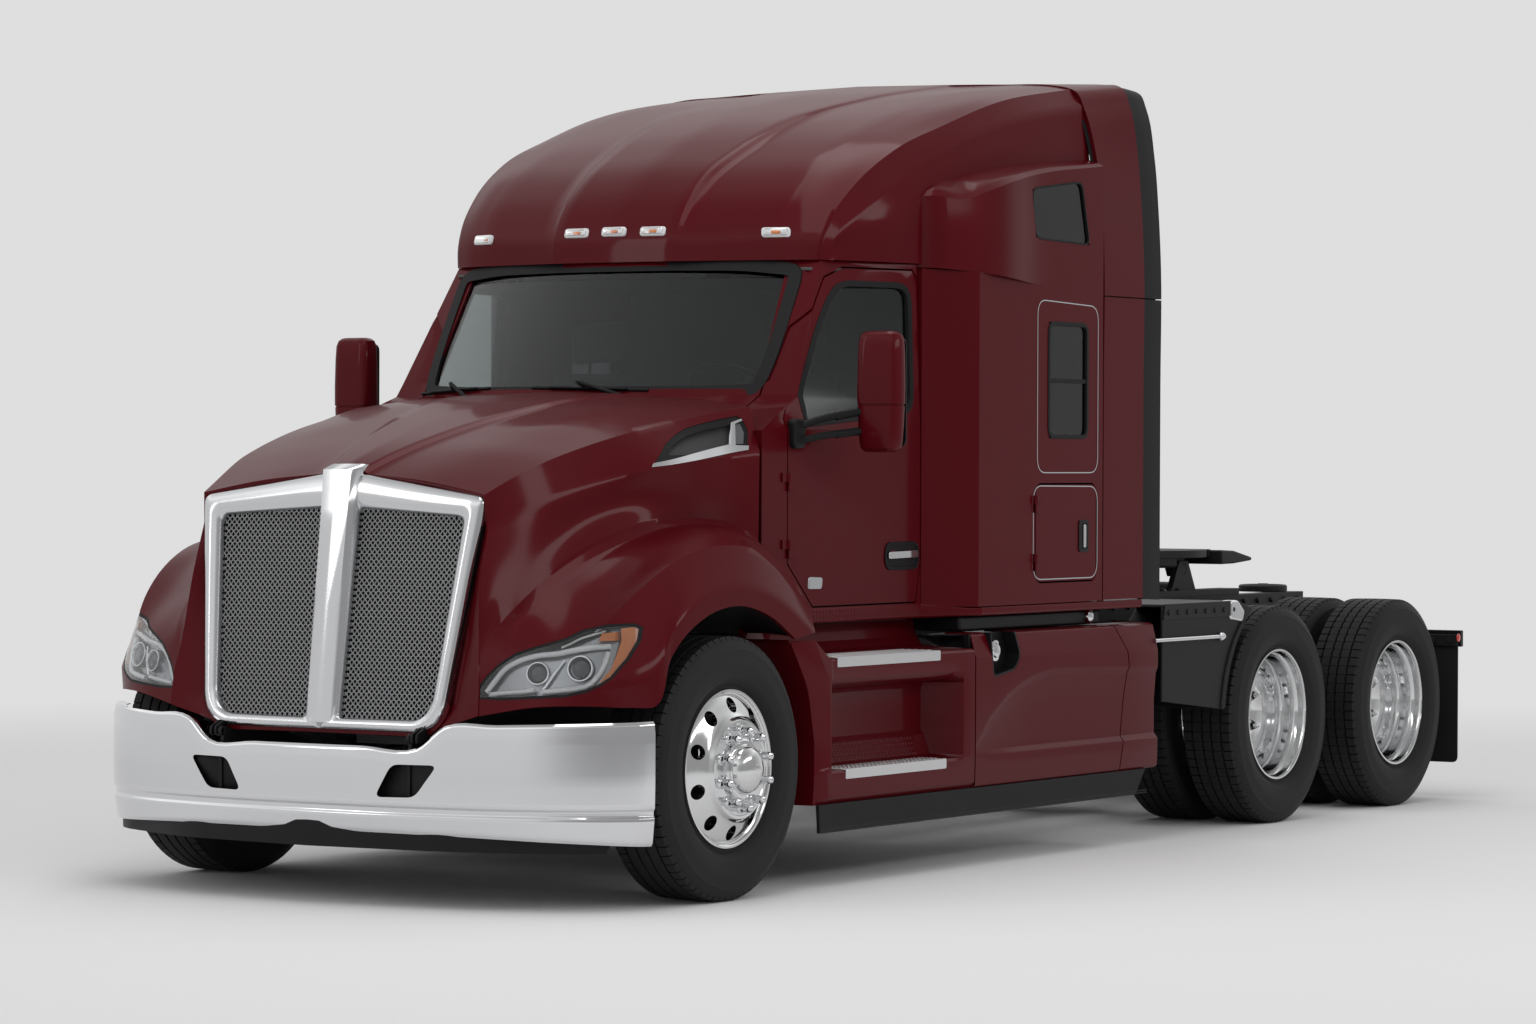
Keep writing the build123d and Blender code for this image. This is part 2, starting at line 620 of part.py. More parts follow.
def hood_shell():
    """One-piece hood with both fenders: hollow, with arches, lamp openings and grille opening."""
    shell = hood_form(0) - hood_form(HOOD_T)
    shell -= rear_arc(0, 0, 3000)
    shell -= rod(900, 1400, ARCH_Y, ARCH_Z, ARCH_R)
    shell -= rod(-1400, -900, ARCH_Y, ARCH_Z, ARCH_R)
    shell -= block(-1400, 1400, -1100, 900, 0, HOOD_FOOT_Z)
    shell -= block(-1400, 1400, ARCH_Y, 900, 0, FENDER_TAIL_Z)
    lamp = lamp_prism(0.5)
    shell -= lamp
    shell -= opposite(lamp)
    hole = mirrored([p for p in GRILLE_OPENING if p[0] > 0])
    shell -= front_prism(hole, -1000, -650)
    hinge = hood_hinge()
    return shell.solids().sort_by(SortBy.VOLUME)[-1] + hinge + opposite(hinge)


def headlamp():
    """Left headlamp: the fender's own surface over a shallow lamp body."""
    skin = hood_form(0) - hood_form(HOOD_T + 40)
    lamp = skin & lamp_prism(-0.5)
    return lamp.solids().sort_by(SortBy.VOLUME)[-1]


MESH_OUTLINE = [(62, 1466), (567, 1432), (505, 722), (468, 690), (62, 682)]    # (X, Z)
SURROUND_T = 34.0
MESH_T = 10.0


def leaning(points, depth, front, grow=0.0):
    """Front-view outline carried along the leaning nose, from front (negative) by depth."""
    top = 1700.0
    low = 500.0
    face = outline(points)
    if grow:
        face = offset(face, grow, kind=Kind.INTERSECTION)
    view = Plane(origin=(0, 0, 0), x_dir=(1, 0, 0), z_dir=(0, -1, 0))
    prism = extrude(view * face, 1300)
    slab = side_prism([(nose_y(top) + front, top), (nose_y(low) + front, low),
                       (nose_y(low) + front + depth, low), (nose_y(top) + front + depth, top)],
                      -1300, 1300)
    return prism & slab


def grille_surround():
    """Bright frame on the hood's nose, with its centre bar."""
    outer = mirrored([(0, 1607), (652, 1508), (566, 715), (478, GRILLE_FOOT_Z)])
    outer = [p for i, p in enumerate(outer) if i != 7]
    frame = leaning(outer, SURROUND_T, -SURROUND_T - SEAT)
    hole = leaning(MESH_OUTLINE, 200, -100)
    frame -= hole
    frame -= opposite(hole)
    bar = leaning([(62, 1600), (52, 660), (-52, 660), (-62, 1600)], 20, -SURROUND_T - SEAT - 16)
    return frame + bar


def grille_mesh():
    """Two pierced panels behind the surround, each a grid of slanted slots."""
    return both(leaning(MESH_OUTLINE, MESH_T, -SURROUND_T / 2, -SEAT))


def hood_vent():
    """Left vent on the hood's side: a tapered panel in a bright frame."""
    points = [(-100, 1619), (90, 1731), (480, 1806), (480, 1668)]
    plate = side_prism(points, 900, 1100)
    skin = hood_form(-8) - hood_form(-0.3)
    vent = plate & skin
    return vent.solids().sort_by(SortBy.VOLUME)[-1]


# ---------------------------------------------------------------- bumper
def bumper_region(inset):
    """Plan of the bumper's wrap, moved in by inset."""
    points = mirrored([
        (BUMPER_X - inset, BUMPER_END_Y), (1085 - inset * 0.7, -705 + inset * 0.7),
        (BUMPER_BEND_X - inset * 0.3, BUMPER_BEND_Y + inset),
    ])
    nose = (0, BUMPER_FRONT_Y + inset)
    points = points[:3] + [nose] + points[3:]
    back = [(-BUMPER_X + inset, 0), (BUMPER_X - inset, 0)]
    return points + back


def bumper():
    """Wrapped bumper with its dipped middle, two tow openings and a groove near the foot."""
    radii = [0, 420, 900, 0, 900, 420, 0, 0, 0]
    outer = plan_prism(bumper_region(0), 200, 760, radii)
    shell = outer - plan_prism(bumper_region(BUMPER_T), 190, 770, radii)
    front = mirrored([(BUMPER_X + 5, BUMPER_TOP_Z), (600, BUMPER_TOP_Z - 23),
                      (495, BUMPER_DIP_Z)])
    foot = [(-BUMPER_X - 5, 300), (-1195, 242), (-600, 262), (600, 262), (1195, 242),
            (BUMPER_X + 5, 300)]
    shell &= front_prism(front + foot, -1000, BUMPER_END_Y)
    for side in (1, -1):
        hole = [(side * x, z) for x, z in ((384, 529), (573, 530), (480, 410), (312, 407))]
        shell -= front_prism(hole, -1100, -700, 14)
    return shell


def bumper_lip():
    """Black valance under the bumper."""
    radii = [0, 420, 900, 0, 900, 420, 0, 0, 0]
    outer = plan_prism(bumper_region(BUMPER_T + SEAT), 190, 760, radii)
    shell = outer - plan_prism(bumper_region(BUMPER_T + SEAT + LIP_T), 180, 770, radii)
    shape = mirrored([(1130, LIP_FOOT_Z), (1165, 310)])
    return shell & front_prism(shape, -1000, -600)


# ---------------------------------------------------------------- cab
# Columns: height Z, then (X, Y) of the windshield's centre, the pillar's corner, the side's
# front corner and the side's rear corner.
CAB_SECTIONS = (
    (COWL_Z, (0, 698), (880, 585), (1049, 530), (1050, CAB_REAR_Y)),
    (BELT_Z, (0, 752), (850, 888), (975, 905), (1046, CAB_REAR_Y)),
    (ROOF_EDGE_Z, (0, 1056), (795, 1186), (885, 1215), (1030, CAB_REAR_Y)),
)


def cab_section(row, inset, z):
    """A plan section through the cab at one height, moved in by inset."""
    _, mid, pillar, front, rear = row
    k = inset * 0.6
    glass = ThreePointArc((pillar[0] - k, pillar[1] + inset), (0, mid[1] + inset),
                          (-pillar[0] + k, pillar[1] + inset))
    rest = Polyline(
        (-pillar[0] + k, pillar[1] + inset), (-front[0] + inset, front[1] + inset),
        (-rear[0] + inset, rear[1]), (rear[0] - inset, rear[1]),
        (front[0] - inset, front[1] + inset), (pillar[0] - k, pillar[1] + inset),
    )
    return Pos(0, 0, z) * make_face(glass + rest)


def cab_form(inset):
    """The cab's outer or inner form from the floor to the roof's edge."""
    low, belt, roof = CAB_SECTIONS
    base = low[0]
    lower = extrude(cab_section(low, inset, 0), base - SLEEPER_FOOT_Z)
    lower = Pos(0, 0, SLEEPER_FOOT_Z) * lower
    middle = loft([cab_section(low, inset, base), cab_section(belt, inset, belt[0])], ruled=True)
    upper = loft([cab_section(belt, inset, belt[0]), cab_section(roof, inset, roof[0])],
                 ruled=True)
    return lower + middle + upper


DOOR_OUTLINE = (
    (DOOR_FRONT_Y, 1245), (905, DOOR_FOOT_Z), (1692, DOOR_FOOT_Z), (DOOR_REAR_Y, 1234),
    (DOOR_REAR_Y, 2380), (1700, DOOR_TOP_Z), (1330, DOOR_TOP_Z), (1215, 2370), (1050, 2170),
    (925, 1960), (DOOR_FRONT_Y, 1800),
)                                                  # (Y, Z), the door's edge
DOOR_WINDOW = ((1030, 1800), (1635, 1838), (1641, 2330), (1330, 2330), (1180, 2200), (985, 1860))


def door_prism(grow):
    """The door's outline through the left wall, with its edge moved out by grow."""
    face = outline(DOOR_OUTLINE)
    if grow:
        face = offset(face, grow, kind=Kind.INTERSECTION)
    return Pos(DOOR_INNER_X - grow, 0, 0) * extrude(Plane.YZ * face, 500)


def window_prism(grow):
    """The door window's outline through the left wall."""
    face = outline(DOOR_WINDOW, 30)
    if grow:
        face = offset(face, grow)
    return Pos(700, 0, 0) * extrude(Plane.YZ * face, 500)


WINDSHIELD = ((800, 1925), (762, 2425))            # (X, Z) of the glass's left corners


def windshield_prism(grow):
    """The windshield's outline carried through the cab's front."""
    points = [(x + grow, z) for x, z in WINDSHIELD]
    low, high = points[0][1] - grow, points[1][1] + grow
    corners = [(points[0][0], low), (points[1][0], high)]
    return front_prism(mirrored(corners), 500, 1400, 40)


def cab_shell():
    """Cab walls before the doors and the glass are parted from them."""
    shell = cab_form(0) - cab_form(WALL_T)
    behind = block(-1200, 1200, CAB_REAR_Y - 2, CAB_REAR_Y + 10, 0, 3000)
    return shell - behind


def cab_front(shell):
    """Firewall, cowl, windshield frame and door openings: what is left of the cab's walls."""
    opening = door_prism(PANEL_GAP)
    front = shell - opening - opposite(opening) - windshield_prism(0)
    barrels = []
    bores = []
    for z in DOOR_HINGES_Z:
        barrel = post(DOOR_HINGE_X, DOOR_HINGE_Y, z, z + HINGE_H, HINGE_BARREL_R)
        barrel += block(CAB_X - 12, DOOR_HINGE_X, DOOR_HINGE_Y - 45, DOOR_HINGE_Y - 3, z, z + HINGE_H)
        bore = post(DOOR_HINGE_X, DOOR_HINGE_Y, z - 1, z + HINGE_H + 1, HINGE_R + BORE_GAP)
        barrels += [barrel, opposite(barrel)]
        bores += [bore, opposite(bore)]
    for barrel in barrels:
        front += barrel
    for bore in bores:
        front -= bore
    return front


def windshield():
    """Curved glass in the cab's front, behind the edge of its opening."""
    pane = cab_form(10) - cab_form(10 + GLASS_T)
    pane &= windshield_prism(-SEAT)
    return pane.solids().sort_by(Axis.Y)[0]


def door(shell):
    """Left door, as thick as the wall, with its window cut and its handle pocket."""
    panel = shell & door_prism(0)
    panel -= window_prism(0)
    panel = panel.solids().sort_by(SortBy.VOLUME)[-1]
    for z in DOOR_HINGES_Z:
        panel -= post(DOOR_HINGE_X, DOOR_HINGE_Y, z - 1, z + HINGE_H + 1, HINGE_BARREL_R + 5)
        panel += post(DOOR_HINGE_X, DOOR_HINGE_Y, z - HINGE_H, z + HINGE_H, HINGE_R)
        panel += block(CAB_X + 1, DOOR_HINGE_X + 3, DOOR_HINGE_Y, DOOR_FRONT_Y + 50, z - HINGE_H, z - 2)
        panel += block(CAB_X - 12, CAB_X + 4, DOOR_FRONT_Y + 2, DOOR_FRONT_Y + 50, z - HINGE_H, z - 2)
    pocket = side_prism([(1500, 1215), (1640, 1215), (1640, 1318), (1500, 1318)],
                        CAB_X - 26, CAB_X + 30, 36)
    panel -= pocket
    grip = side_prism([(1512, 1256), (1628, 1256), (1628, 1280), (1512, 1280)],
                      CAB_X - 12, CAB_X + 8, 6)
    ends = side_prism([(1500, 1250), (1520, 1250), (1520, 1286), (1500, 1286)],
                      CAB_X - 30, CAB_X + 4)
    ends += side_prism([(1620, 1250), (1645, 1250), (1645, 1286), (1620, 1286)],
                       CAB_X - 30, CAB_X + 4)
    return panel + grip + ends


def door_glass():
    """Left door's pane, set in from the outside."""
    pane = cab_form(16) - cab_form(16 + GLASS_T)
    pane &= window_prism(-SEAT)
    return pane.solids().sort_by(Axis.X)[-1]


MIRROR_X0, MIRROR_X1 = 1190.0, 1377.0
MIRROR_Y = 1030.0
MIRROR_D = 110.0
MIRROR_Z0, MIRROR_Z1 = 1675.0, 2150.0


def door_mirror():
    """Left mirror: head with rounded edges on two arms from a foot on the door's front."""
    y0, y1 = MIRROR_Y - MIRROR_D / 2, MIRROR_Y + MIRROR_D / 2
    head = block(MIRROR_X0, MIRROR_X1, y0, y1, MIRROR_Z0, MIRROR_Z1)
    head = fillet(head.edges().filter_by(Axis.Z), 32)
    head = fillet(head.edges().group_by(Axis.Z)[-1], 20)
    foot = block(CAB_X - 30, CAB_X + 34, 730, 820, 1640, 1785) - cab_form(-SEAT)
    arms = []
    for z in (1700.0, 1762.0):
        start = (CAB_X + 22, 790, z)
        end = (MIRROR_X0 + 20, MIRROR_Y - 20, z + 40)
        path = Line(start, end)
        view = Plane(origin=path @ 0, z_dir=path % 0)
        arms.append(extrude(view * Circle(16), path.length))
    return head + foot + arms[0] + arms[1]


# ---------------------------------------------------------------- sleeper
def sleeper_plan(inset):
    """Plan outline of the sleeper's walls, moved in by inset."""
    half = [(CAB_X - inset, CAB_REAR_Y), (SLEEPER_X - inset, SLEEPER_FRONT_Y + inset * 0.4),
            (SLEEPER_X - inset, SLEEPER_REAR_Y)]
    return half + [(-x, y) for x, y in reversed(half)]


def seam_slab(z_shift, down):
    """All space below (or above) the slanted seam between the walls and the roof cap."""
    slope = (SEAM_REAR_Z - SEAM_FRONT_Z) / (SLEEPER_REAR_Y - SLEEPER_FRONT_Y)
    a, b = 1000.0, 4000.0
    za = SEAM_FRONT_Z + slope * (a - SLEEPER_FRONT_Y) + z_shift
    zb = SEAM_FRONT_Z + slope * (b - SLEEPER_FRONT_Y) + z_shift
    end = 0.0 if down else 5000.0
    return side_prism([(a, za), (b, zb), (b, end), (a, end)], -1500, 1500)


LOWER_WINDOW = ((2430, 1740), (2842, 1740), (2842, 2226), (2430, 2226))      # (Y, Z)
UPPER_WINDOW = ((2376, 2572), (2844, 2558), (2775, 2820), (2346, 2770))
LOCKER = ((LOCKER_FRONT_Y, LOCKER_FOOT_Z), (LOCKER_REAR_Y, LOCKER_FOOT_Z),
          (LOCKER_REAR_Y, LOCKER_TOP_Z), (LOCKER_FRONT_Y, LOCKER_TOP_Z))


def side_hole(points, grow, radius):
    """A side-view outline through the sleeper's left wall."""
    face = outline(points, radius)
    if grow:
        face = offset(face, grow)
    return Pos(1100, 0, 0) * extrude(Plane.YZ * face, 300)


def sleeper_tube():
    """Both side walls of the sleeper, parted by its open front and back."""
    outer = plan_prism(sleeper_plan(0), SLEEPER_FOOT_Z, 2600)
    inner = plan_prism(sleeper_plan(WALL_T), SLEEPER_FOOT_Z - 1, 2601)
    walls = outer - inner
    walls -= block(-1500, 1500, CAB_REAR_Y - 5, CAB_REAR_Y + 1, 0, 3000)
    return walls & seam_slab(0, True)


def sleeper_side():
    """Left wall with its window and locker opening."""
    wall = sleeper_tube() & block(0, 1500, 1500, 3500, 0, 3000)
    wall -= side_hole(LOWER_WINDOW, 0, 40)
    wall -= side_hole(LOCKER, PANEL_GAP, 40)
    for z in LOCKER_HINGES_Z:
        wall += post(LOCKER_HINGE_X, LOCKER_HINGE_Y, z, z + HINGE_H, HINGE_BARREL_R)
        wall -= post(LOCKER_HINGE_X, LOCKER_HINGE_Y, z - 1, z + HINGE_H + 1, HINGE_R + BORE_GAP)
    wall -= block(0, SLEEPER_X - WALL_T + 0.01, SLEEPER_REAR_Y - WALL_T - SEAT, 3500, 0, 3000)
    return wall.solids().sort_by(SortBy.VOLUME)[-1]


def sleeper_back():
    """Rear wall between the side walls, up to the seam."""
    half = SLEEPER_X - WALL_T - SEAT
    wall = block(-half, half, SLEEPER_REAR_Y - WALL_T, SLEEPER_REAR_Y, SLEEPER_FOOT_Z, 2600)
    return wall & seam_slab(0, True)


def locker_door():
    """Left locker door, as thick as the wall."""
    slab = block(SLEEPER_X - WALL_T, SLEEPER_X, 2000, 3000, 1000, 2000)
    panel = slab & side_hole(LOCKER, 0, 34)
    for z in LOCKER_HINGES_Z:
        panel += post(LOCKER_HINGE_X, LOCKER_HINGE_Y, z - HINGE_H, z + HINGE_H, HINGE_R)
        panel += block(SLEEPER_X + 2, LOCKER_HINGE_X + 4, LOCKER_HINGE_Y, LOCKER_FRONT_Y + 40,
                       z - HINGE_H, z - 2)
        panel += block(SLEEPER_X - 1, SLEEPER_X + 3, LOCKER_FRONT_Y + 2, LOCKER_FRONT_Y + 40,
                       z - HINGE_H, z - 2)
    return panel


# One row per section of the roof, front to back. Columns: station Y, centre height, then (X, Z)
# of the crown's corner, the side ridge, the side's top and the side's foot.
ROOF_SECTIONS = (
    (1105.0, 2520.0, (640, 2500), (790, 2490), (800, 2470), (800, ROOF_EDGE_Z + SEAT)),
    (1240.0, 2690.0, (680, 2650), (850, 2590), (885, 2520), (890, ROOF_EDGE_Z + SEAT)),
    (1480.0, 2880.0, (700, 2815), (925, 2740), (985, 2620), (990, ROOF_EDGE_Z + SEAT)),
    (1735.0, 3005.0, (715, 2940), (990, 2870), (1045, 2700), (1048, ROOF_EDGE_Z + SEAT)),
    (1910.0, 3075.0, (740, 3015), (1040, 2965), (1190, 2731), (SLEEPER_X, 2300)),
    (2420.0, 3205.0, (780, 3160), (1060, 3110), (1200, 2900), (SLEEPER_X, 2300)),
    (2970.0, ROOF_Z, (820, 3252), (1080, 3205), (1206, 2990), (SLEEPER_X, 2300)),
)


def roof_section(row, inset):
    """A closed section across the roof, moved in by the wall thickness."""
    y, top, *half = row
    inner = [(x - inset, z - inset) for x, z in half[:-1]]
    inner.append((half[-1][0] - inset, half[-1][1] - 1.5 * inset))
    ring = [(0, top - inset)] + inner + [(-x, z) for x, z in reversed(inner)]
    return make_face(Polyline(*[(x, y + (inset if y < 1200 else 0), z) for x, z in ring],
                              close=True))


def roof_form(inset):
    """The roof cap's outer or inner form, from the windshield back to the sleeper's end."""
    return loft([roof_section(row, inset) for row in ROOF_SECTIONS], ruled=True)


def roof_cap():
    """Raised roof over cab and sleeper: a hollow shell with its upper side windows."""
    shell = roof_form(0) - roof_form(WALL_T)
    shell -= block(-1400, 1400, 1000, CAB_REAR_Y, 2000, ROOF_EDGE_Z + SEAT)
    below = seam_slab(SEAT, True) & block(-1400, 1400, CAB_REAR_Y - 1, 3200, 2000, 3000)
    shell -= below
    back = roof_section(ROOF_SECTIONS[-1], 0)
    wall = extrude(back, WALL_T, dir=(0, -1, 0)) - seam_slab(SEAT, True)
    shell += wall
    for side_window in (side_hole(UPPER_WINDOW, 0, 36),):
        shell -= side_window
        shell -= opposite(side_window)
    return shell.solids().sort_by(SortBy.VOLUME)[-1]


def extender_arch():
    """Painted extender behind the sleeper: two side panels joined over the roof."""
    outer = extrude(roof_section(ROOF_SECTIONS[-1], 0), EXTENDER_REAR_Y - SLEEPER_REAR_Y - SEAT,
                    dir=(0, 1, 0))
    inner = extrude(roof_section(ROOF_SECTIONS[-1], 36), 700, dir=(0, 1, 0))
    arch = Pos(0, SEAT, 0) * outer - inner
    arch -= block(-1400, 1400, 2900, 3600, 2200, 2320)
    side = block(SLEEPER_X - 36, SLEEPER_X, SLEEPER_REAR_Y + SEAT, EXTENDER_REAR_Y,
                 SLEEPER_FOOT_Z, 2320)
    return arch + side + opposite(side)


def extender_flap():
    """Left rubber flap behind the painted extender."""
    return side_prism([
        (EXTENDER_REAR_Y + SEAT, SLEEPER_FOOT_Z - 20), (FLAP_REAR_Y, SLEEPER_FOOT_Z - 20),
        (FLAP_REAR_Y, 2850), (EXTENDER_REAR_Y + 50, 2985), (EXTENDER_REAR_Y + SEAT, 2985),
    ], SLEEPER_X - 30, SLEEPER_X - 10)


def sleeper_glass():
    """Left sleeper panes, set flush in the wall and the roof cap."""
    panes = []
    for points, radius in ((LOWER_WINDOW, 40), (UPPER_WINDOW, 36)):
        hole = side_hole(points, -SEAT, radius)
        if points is LOWER_WINDOW:
            panes.append(hole & block(SLEEPER_X - 14, SLEEPER_X - 14 + GLASS_T, 2000, 3000,
                                      1000, 3000))
        else:
            skin = roof_form(12) - roof_form(12 + GLASS_T)
            panes.append((hole & skin).solids().sort_by(Axis.X)[-1])
    return panes


def cab_floor():
    """Floor of cab and sleeper on the rails, with the engine tunnel left open in front."""
    inner = cab_section(CAB_SECTIONS[0], WALL_T + PANEL_GAP, SLEEPER_FOOT_Z)
    floor = extrude(inner, FLOOR_T, dir=(0, 0, 1))
    back = plan_prism(sleeper_plan(WALL_T + PANEL_GAP), SLEEPER_FOOT_Z, SLEEPER_FOOT_Z + FLOOR_T)
    floor += back - block(-1500, 1500, SLEEPER_REAR_Y - WALL_T - SEAT, 3500, 0, 3000)
    for y0, y1 in ((800, 900), (1650, 1750), (2780, 2880)):
        floor += block(-RAIL_X, RAIL_X, y0, y1, FLOOR_Z, SLEEPER_FOOT_Z)
    return floor


FLOOR_TOP = SLEEPER_FOOT_Z + FLOOR_T
BUNK_FRONT_Y = 2120.0
BUNK_Z = LOCKER_TOP_Z + 64
BOARD_T = 30.0
MATTRESS_T = 150.0
SEAT_X = 480.0


def seats():
    """Two cushioned seats on pedestals."""
    pieces = []
    for x in (SEAT_X, -SEAT_X):
        base = block(x - 190, x + 190, 1300, 1620, FLOOR_TOP + SEAT, 1420)
        cushion = block(x - 250, x + 250, 1180, 1680, 1420, 1540)
        back = side_prism([(1580, 1540), (1700, 1540), (1725, 2240), (1640, 2240)],
                          x - 240, x + 240)
        pieces.append(base + fillet(cushion.edges().filter_by(Axis.Z), 60) + back)
    return pieces


def dashboard():
    """Dashboard across the cab with the steering column and wheel on the left."""
    shelf = side_prism([(700, 1500), (905, 1500), (950, 1700), (920, 1850), (790, 1850),
                        (740, 1760)], 12 - DOOR_INNER_X, DOOR_INNER_X - 12)
    shelf &= cab_form(WALL_T + SEAT)
    column = Pos(SEAT_X, 1010, 1700) * Rot(35, 0, 0) * Cylinder(34, 300)
    wheel = Pos(SEAT_X, 1090, 1815) * Rot(35, 0, 0) * Torus(215, 16)
    spoke = Pos(SEAT_X, 1090, 1815) * Rot(35, 0, 0) * Box(430, 60, 20)
    spoke += Pos(SEAT_X, 1090, 1815) * Rot(35, 0, 0) * Cylinder(70, 24)
    return shelf + column + wheel + spoke


def bunk_base():
    """Board and front panel under the bunk, over the luggage space."""
    half = SLEEPER_X - WALL_T - PANEL_GAP
    back_y = SLEEPER_REAR_Y - WALL_T - SEAT
    board = block(-half, half, BUNK_FRONT_Y, back_y, BUNK_Z - BOARD_T, BUNK_Z)
    return board + block(-half, half, BUNK_FRONT_Y, BUNK_FRONT_Y + BOARD_T, FLOOR_TOP, BUNK_Z)


def bunk_mattress():
    """Lower bunk's mattress."""
    half = SLEEPER_X - WALL_T - 20
    pad = block(-half, half, BUNK_FRONT_Y, SLEEPER_REAR_Y - WALL_T - 12, BUNK_Z + SEAT,
                BUNK_Z + MATTRESS_T)
    return fillet(pad.edges().filter_by(Axis.Z), 50)


# ---------------------------------------------------------------- fairings
def step_fairing():
    """Left step fairing: slanted nose, an upper and a lower step pocket, and inner bracing."""
    side = [(452, FAIRING_TOP_Z + 8), (640, FAIRING_FOOT_Z), (TANK_FRONT_Y - 8, FAIRING_FOOT_Z),
            (TANK_FRONT_Y - 8, FAIRING_TOP_Z)]
    body = side_prism(side, FAIRING_INNER_X, FAIRING_X)
    hollow = side_prism([(510, FAIRING_TOP_Z + 60), (690, FAIRING_FOOT_Z + 30),
                         (TANK_FRONT_Y - 40, FAIRING_FOOT_Z + 30),
                         (TANK_FRONT_Y - 40, FAIRING_TOP_Z - 40), (STEP_BACK_Y + 40, FAIRING_TOP_Z - 40)],
                        FAIRING_INNER_X - 10, FAIRING_X - FAIRING_T)
    inner_upper = UPPER_TREAD_Z - TREAD_T - SEAT
    lower_floor = LOWER_TREAD_Z - TREAD_T - SEAT
    upper_cut = block(FAIRING_INNER_X - 20, FAIRING_X + 20, STEP_FRONT_Y, STEP_BACK_Y,
                      inner_upper, 1200)
    lower_cut = block(FAIRING_X - 190, FAIRING_X + 20, STEP_FRONT_Y, STEP_BACK_Y, lower_floor, 700)
    shelf = block(FAIRING_INNER_X, FAIRING_X, STEP_FRONT_Y - 30, STEP_BACK_Y + 30,
                  inner_upper - 30, inner_upper)
    pocket = block(FAIRING_X - 215, FAIRING_X, STEP_FRONT_Y - 25, STEP_BACK_Y + 25,
                   lower_floor - 25, 725) & body
    shape = (body - hollow) + (shelf & body) + pocket - upper_cut - lower_cut
    for y in (STEP_FRONT_Y + 150, STEP_BACK_Y - 150):
        shape += block(RAIL_X + SEAT, FAIRING_X - 215 + 1, y - 30, y + 30, 620, 690)
    return shape


def step_tread():
    """Left treads: perforated planks at both steps."""
    pieces = []
    for z, depth in ((UPPER_TREAD_Z, 160), (LOWER_TREAD_Z, 150)):
        plank = block(FAIRING_X - depth, FAIRING_X, STEP_FRONT_Y + 12, STEP_BACK_Y - 12,
                      z - TREAD_T, z)
        for i in range(9):
            y = STEP_FRONT_Y + 70 + i * 89
            plank -= block(FAIRING_X - depth + 20, FAIRING_X - 30, y, y + 40, z - TREAD_T - 1, z + 1)
        pieces.append(plank)
    return pieces


def tank_fairing():
    """Left skirt panels over the fuel tank, with the filler recess and a raised rear cap."""
    panel = side_prism([
        (TANK_FRONT_Y, FAIRING_FOOT_Z), (TANK_SPLIT_Y - 4, FAIRING_FOOT_Z),
        (TANK_SPLIT_Y - 4, FAIRING_TOP_Z), (TANK_FRONT_Y, FAIRING_TOP_Z),
    ], FAIRING_X - FAIRING_T, FAIRING_X)
    panel += block(FAIRING_X - 120, FAIRING_X, TANK_FRONT_Y, TANK_SPLIT_Y - 4,
                   FAIRING_TOP_Z - FAIRING_T, FAIRING_TOP_Z)
    recess = side_prism([(1941, 938), (2190, 930), (2208, 800), (2150, 753), (1965, 753)],
                        FAIRING_X - 18, FAIRING_X + 5, 20)
    panel -= recess
    cap = side_prism([
        (TANK_SPLIT_Y + 4, FAIRING_FOOT_Z), (FAIRING_REAR_Y - 20, FAIRING_FOOT_Z),
        (FAIRING_REAR_Y, FAIRING_TOP_Z), (TANK_SPLIT_Y + 4, FAIRING_TOP_Z),
    ], FAIRING_X - FAIRING_T, FAIRING_X)
    cap += block(FAIRING_X - 200, FAIRING_X - FAIRING_T, FAIRING_REAR_Y - 50, FAIRING_REAR_Y - 25,
                 FAIRING_FOOT_Z, FAIRING_TOP_Z)
    return [panel, cap]


def fuel_tank():
    """Left fuel tank with the straps and brackets that hang it on the rail."""
    y0, y1 = TANK_FRONT_Y + 20, TANK_SPLIT_Y + 120
    tank = shaft(TANK_X, TANK_Z, y0, y1, TANK_R)
    for y in (y0 + 260, y1 - 260):
        tank += block(RAIL_X + SEAT, TANK_X, y - 30, y + 30, RAIL_TOP - RAIL_H, TANK_Z + 120)
        strap = Pos(0, y, 0) * side_prism([(-30, TANK_Z - TANK_R - 4), (30, TANK_Z - TANK_R - 4),
                                           (30, TANK_Z + 40), (-30, TANK_Z + 40)],
                                          TANK_X + 60, FAIRING_X - FAIRING_T - SEAT)
        tank += strap
    return tank


def side_skirt():
    """Left rubber skirt under the fairings."""
    return side_prism([(650, 210), (3240, 210), (3330, FAIRING_FOOT_Z - SEAT),
                       (640, FAIRING_FOOT_Z - SEAT)], FAIRING_X - 22, FAIRING_X - 6)


def quarter_fender():
    """Left quarter fender in front of the drive tyre: a panel with a turned-in top."""
    r = 560.0
    x0, x1 = 640.0, 1235.0
    shape = side_prism([(3495, 1024), (4420, 1000), (4420, 520), (4090, 520), (3495, 700)],
                       x0, x1)
    shape -= side_prism([(3515, 1004), (4700, 980), (4700, 400), (3400, 400), (3515, 700)],
                        x0 - 1, x1 - 16)
    shape -= rod(x0 - 10, x1 + 10, FIRST_DRIVE_Y, TYRE_R, r)
    bracket = block(RAIL_X + SEAT, x0 + 20, 3560, 3620, 950, 1010)
    return shape.solids().sort_by(SortBy.VOLUME)[-1] + bracket


# ---------------------------------------------------------------- rear end
def mudflap():
    """Left mudflap."""
    return block(640, 1245, MUDFLAP_Y, MUDFLAP_Y + MUDFLAP_T, MUDFLAP_FOOT_Z, MUDFLAP_TOP_Z)


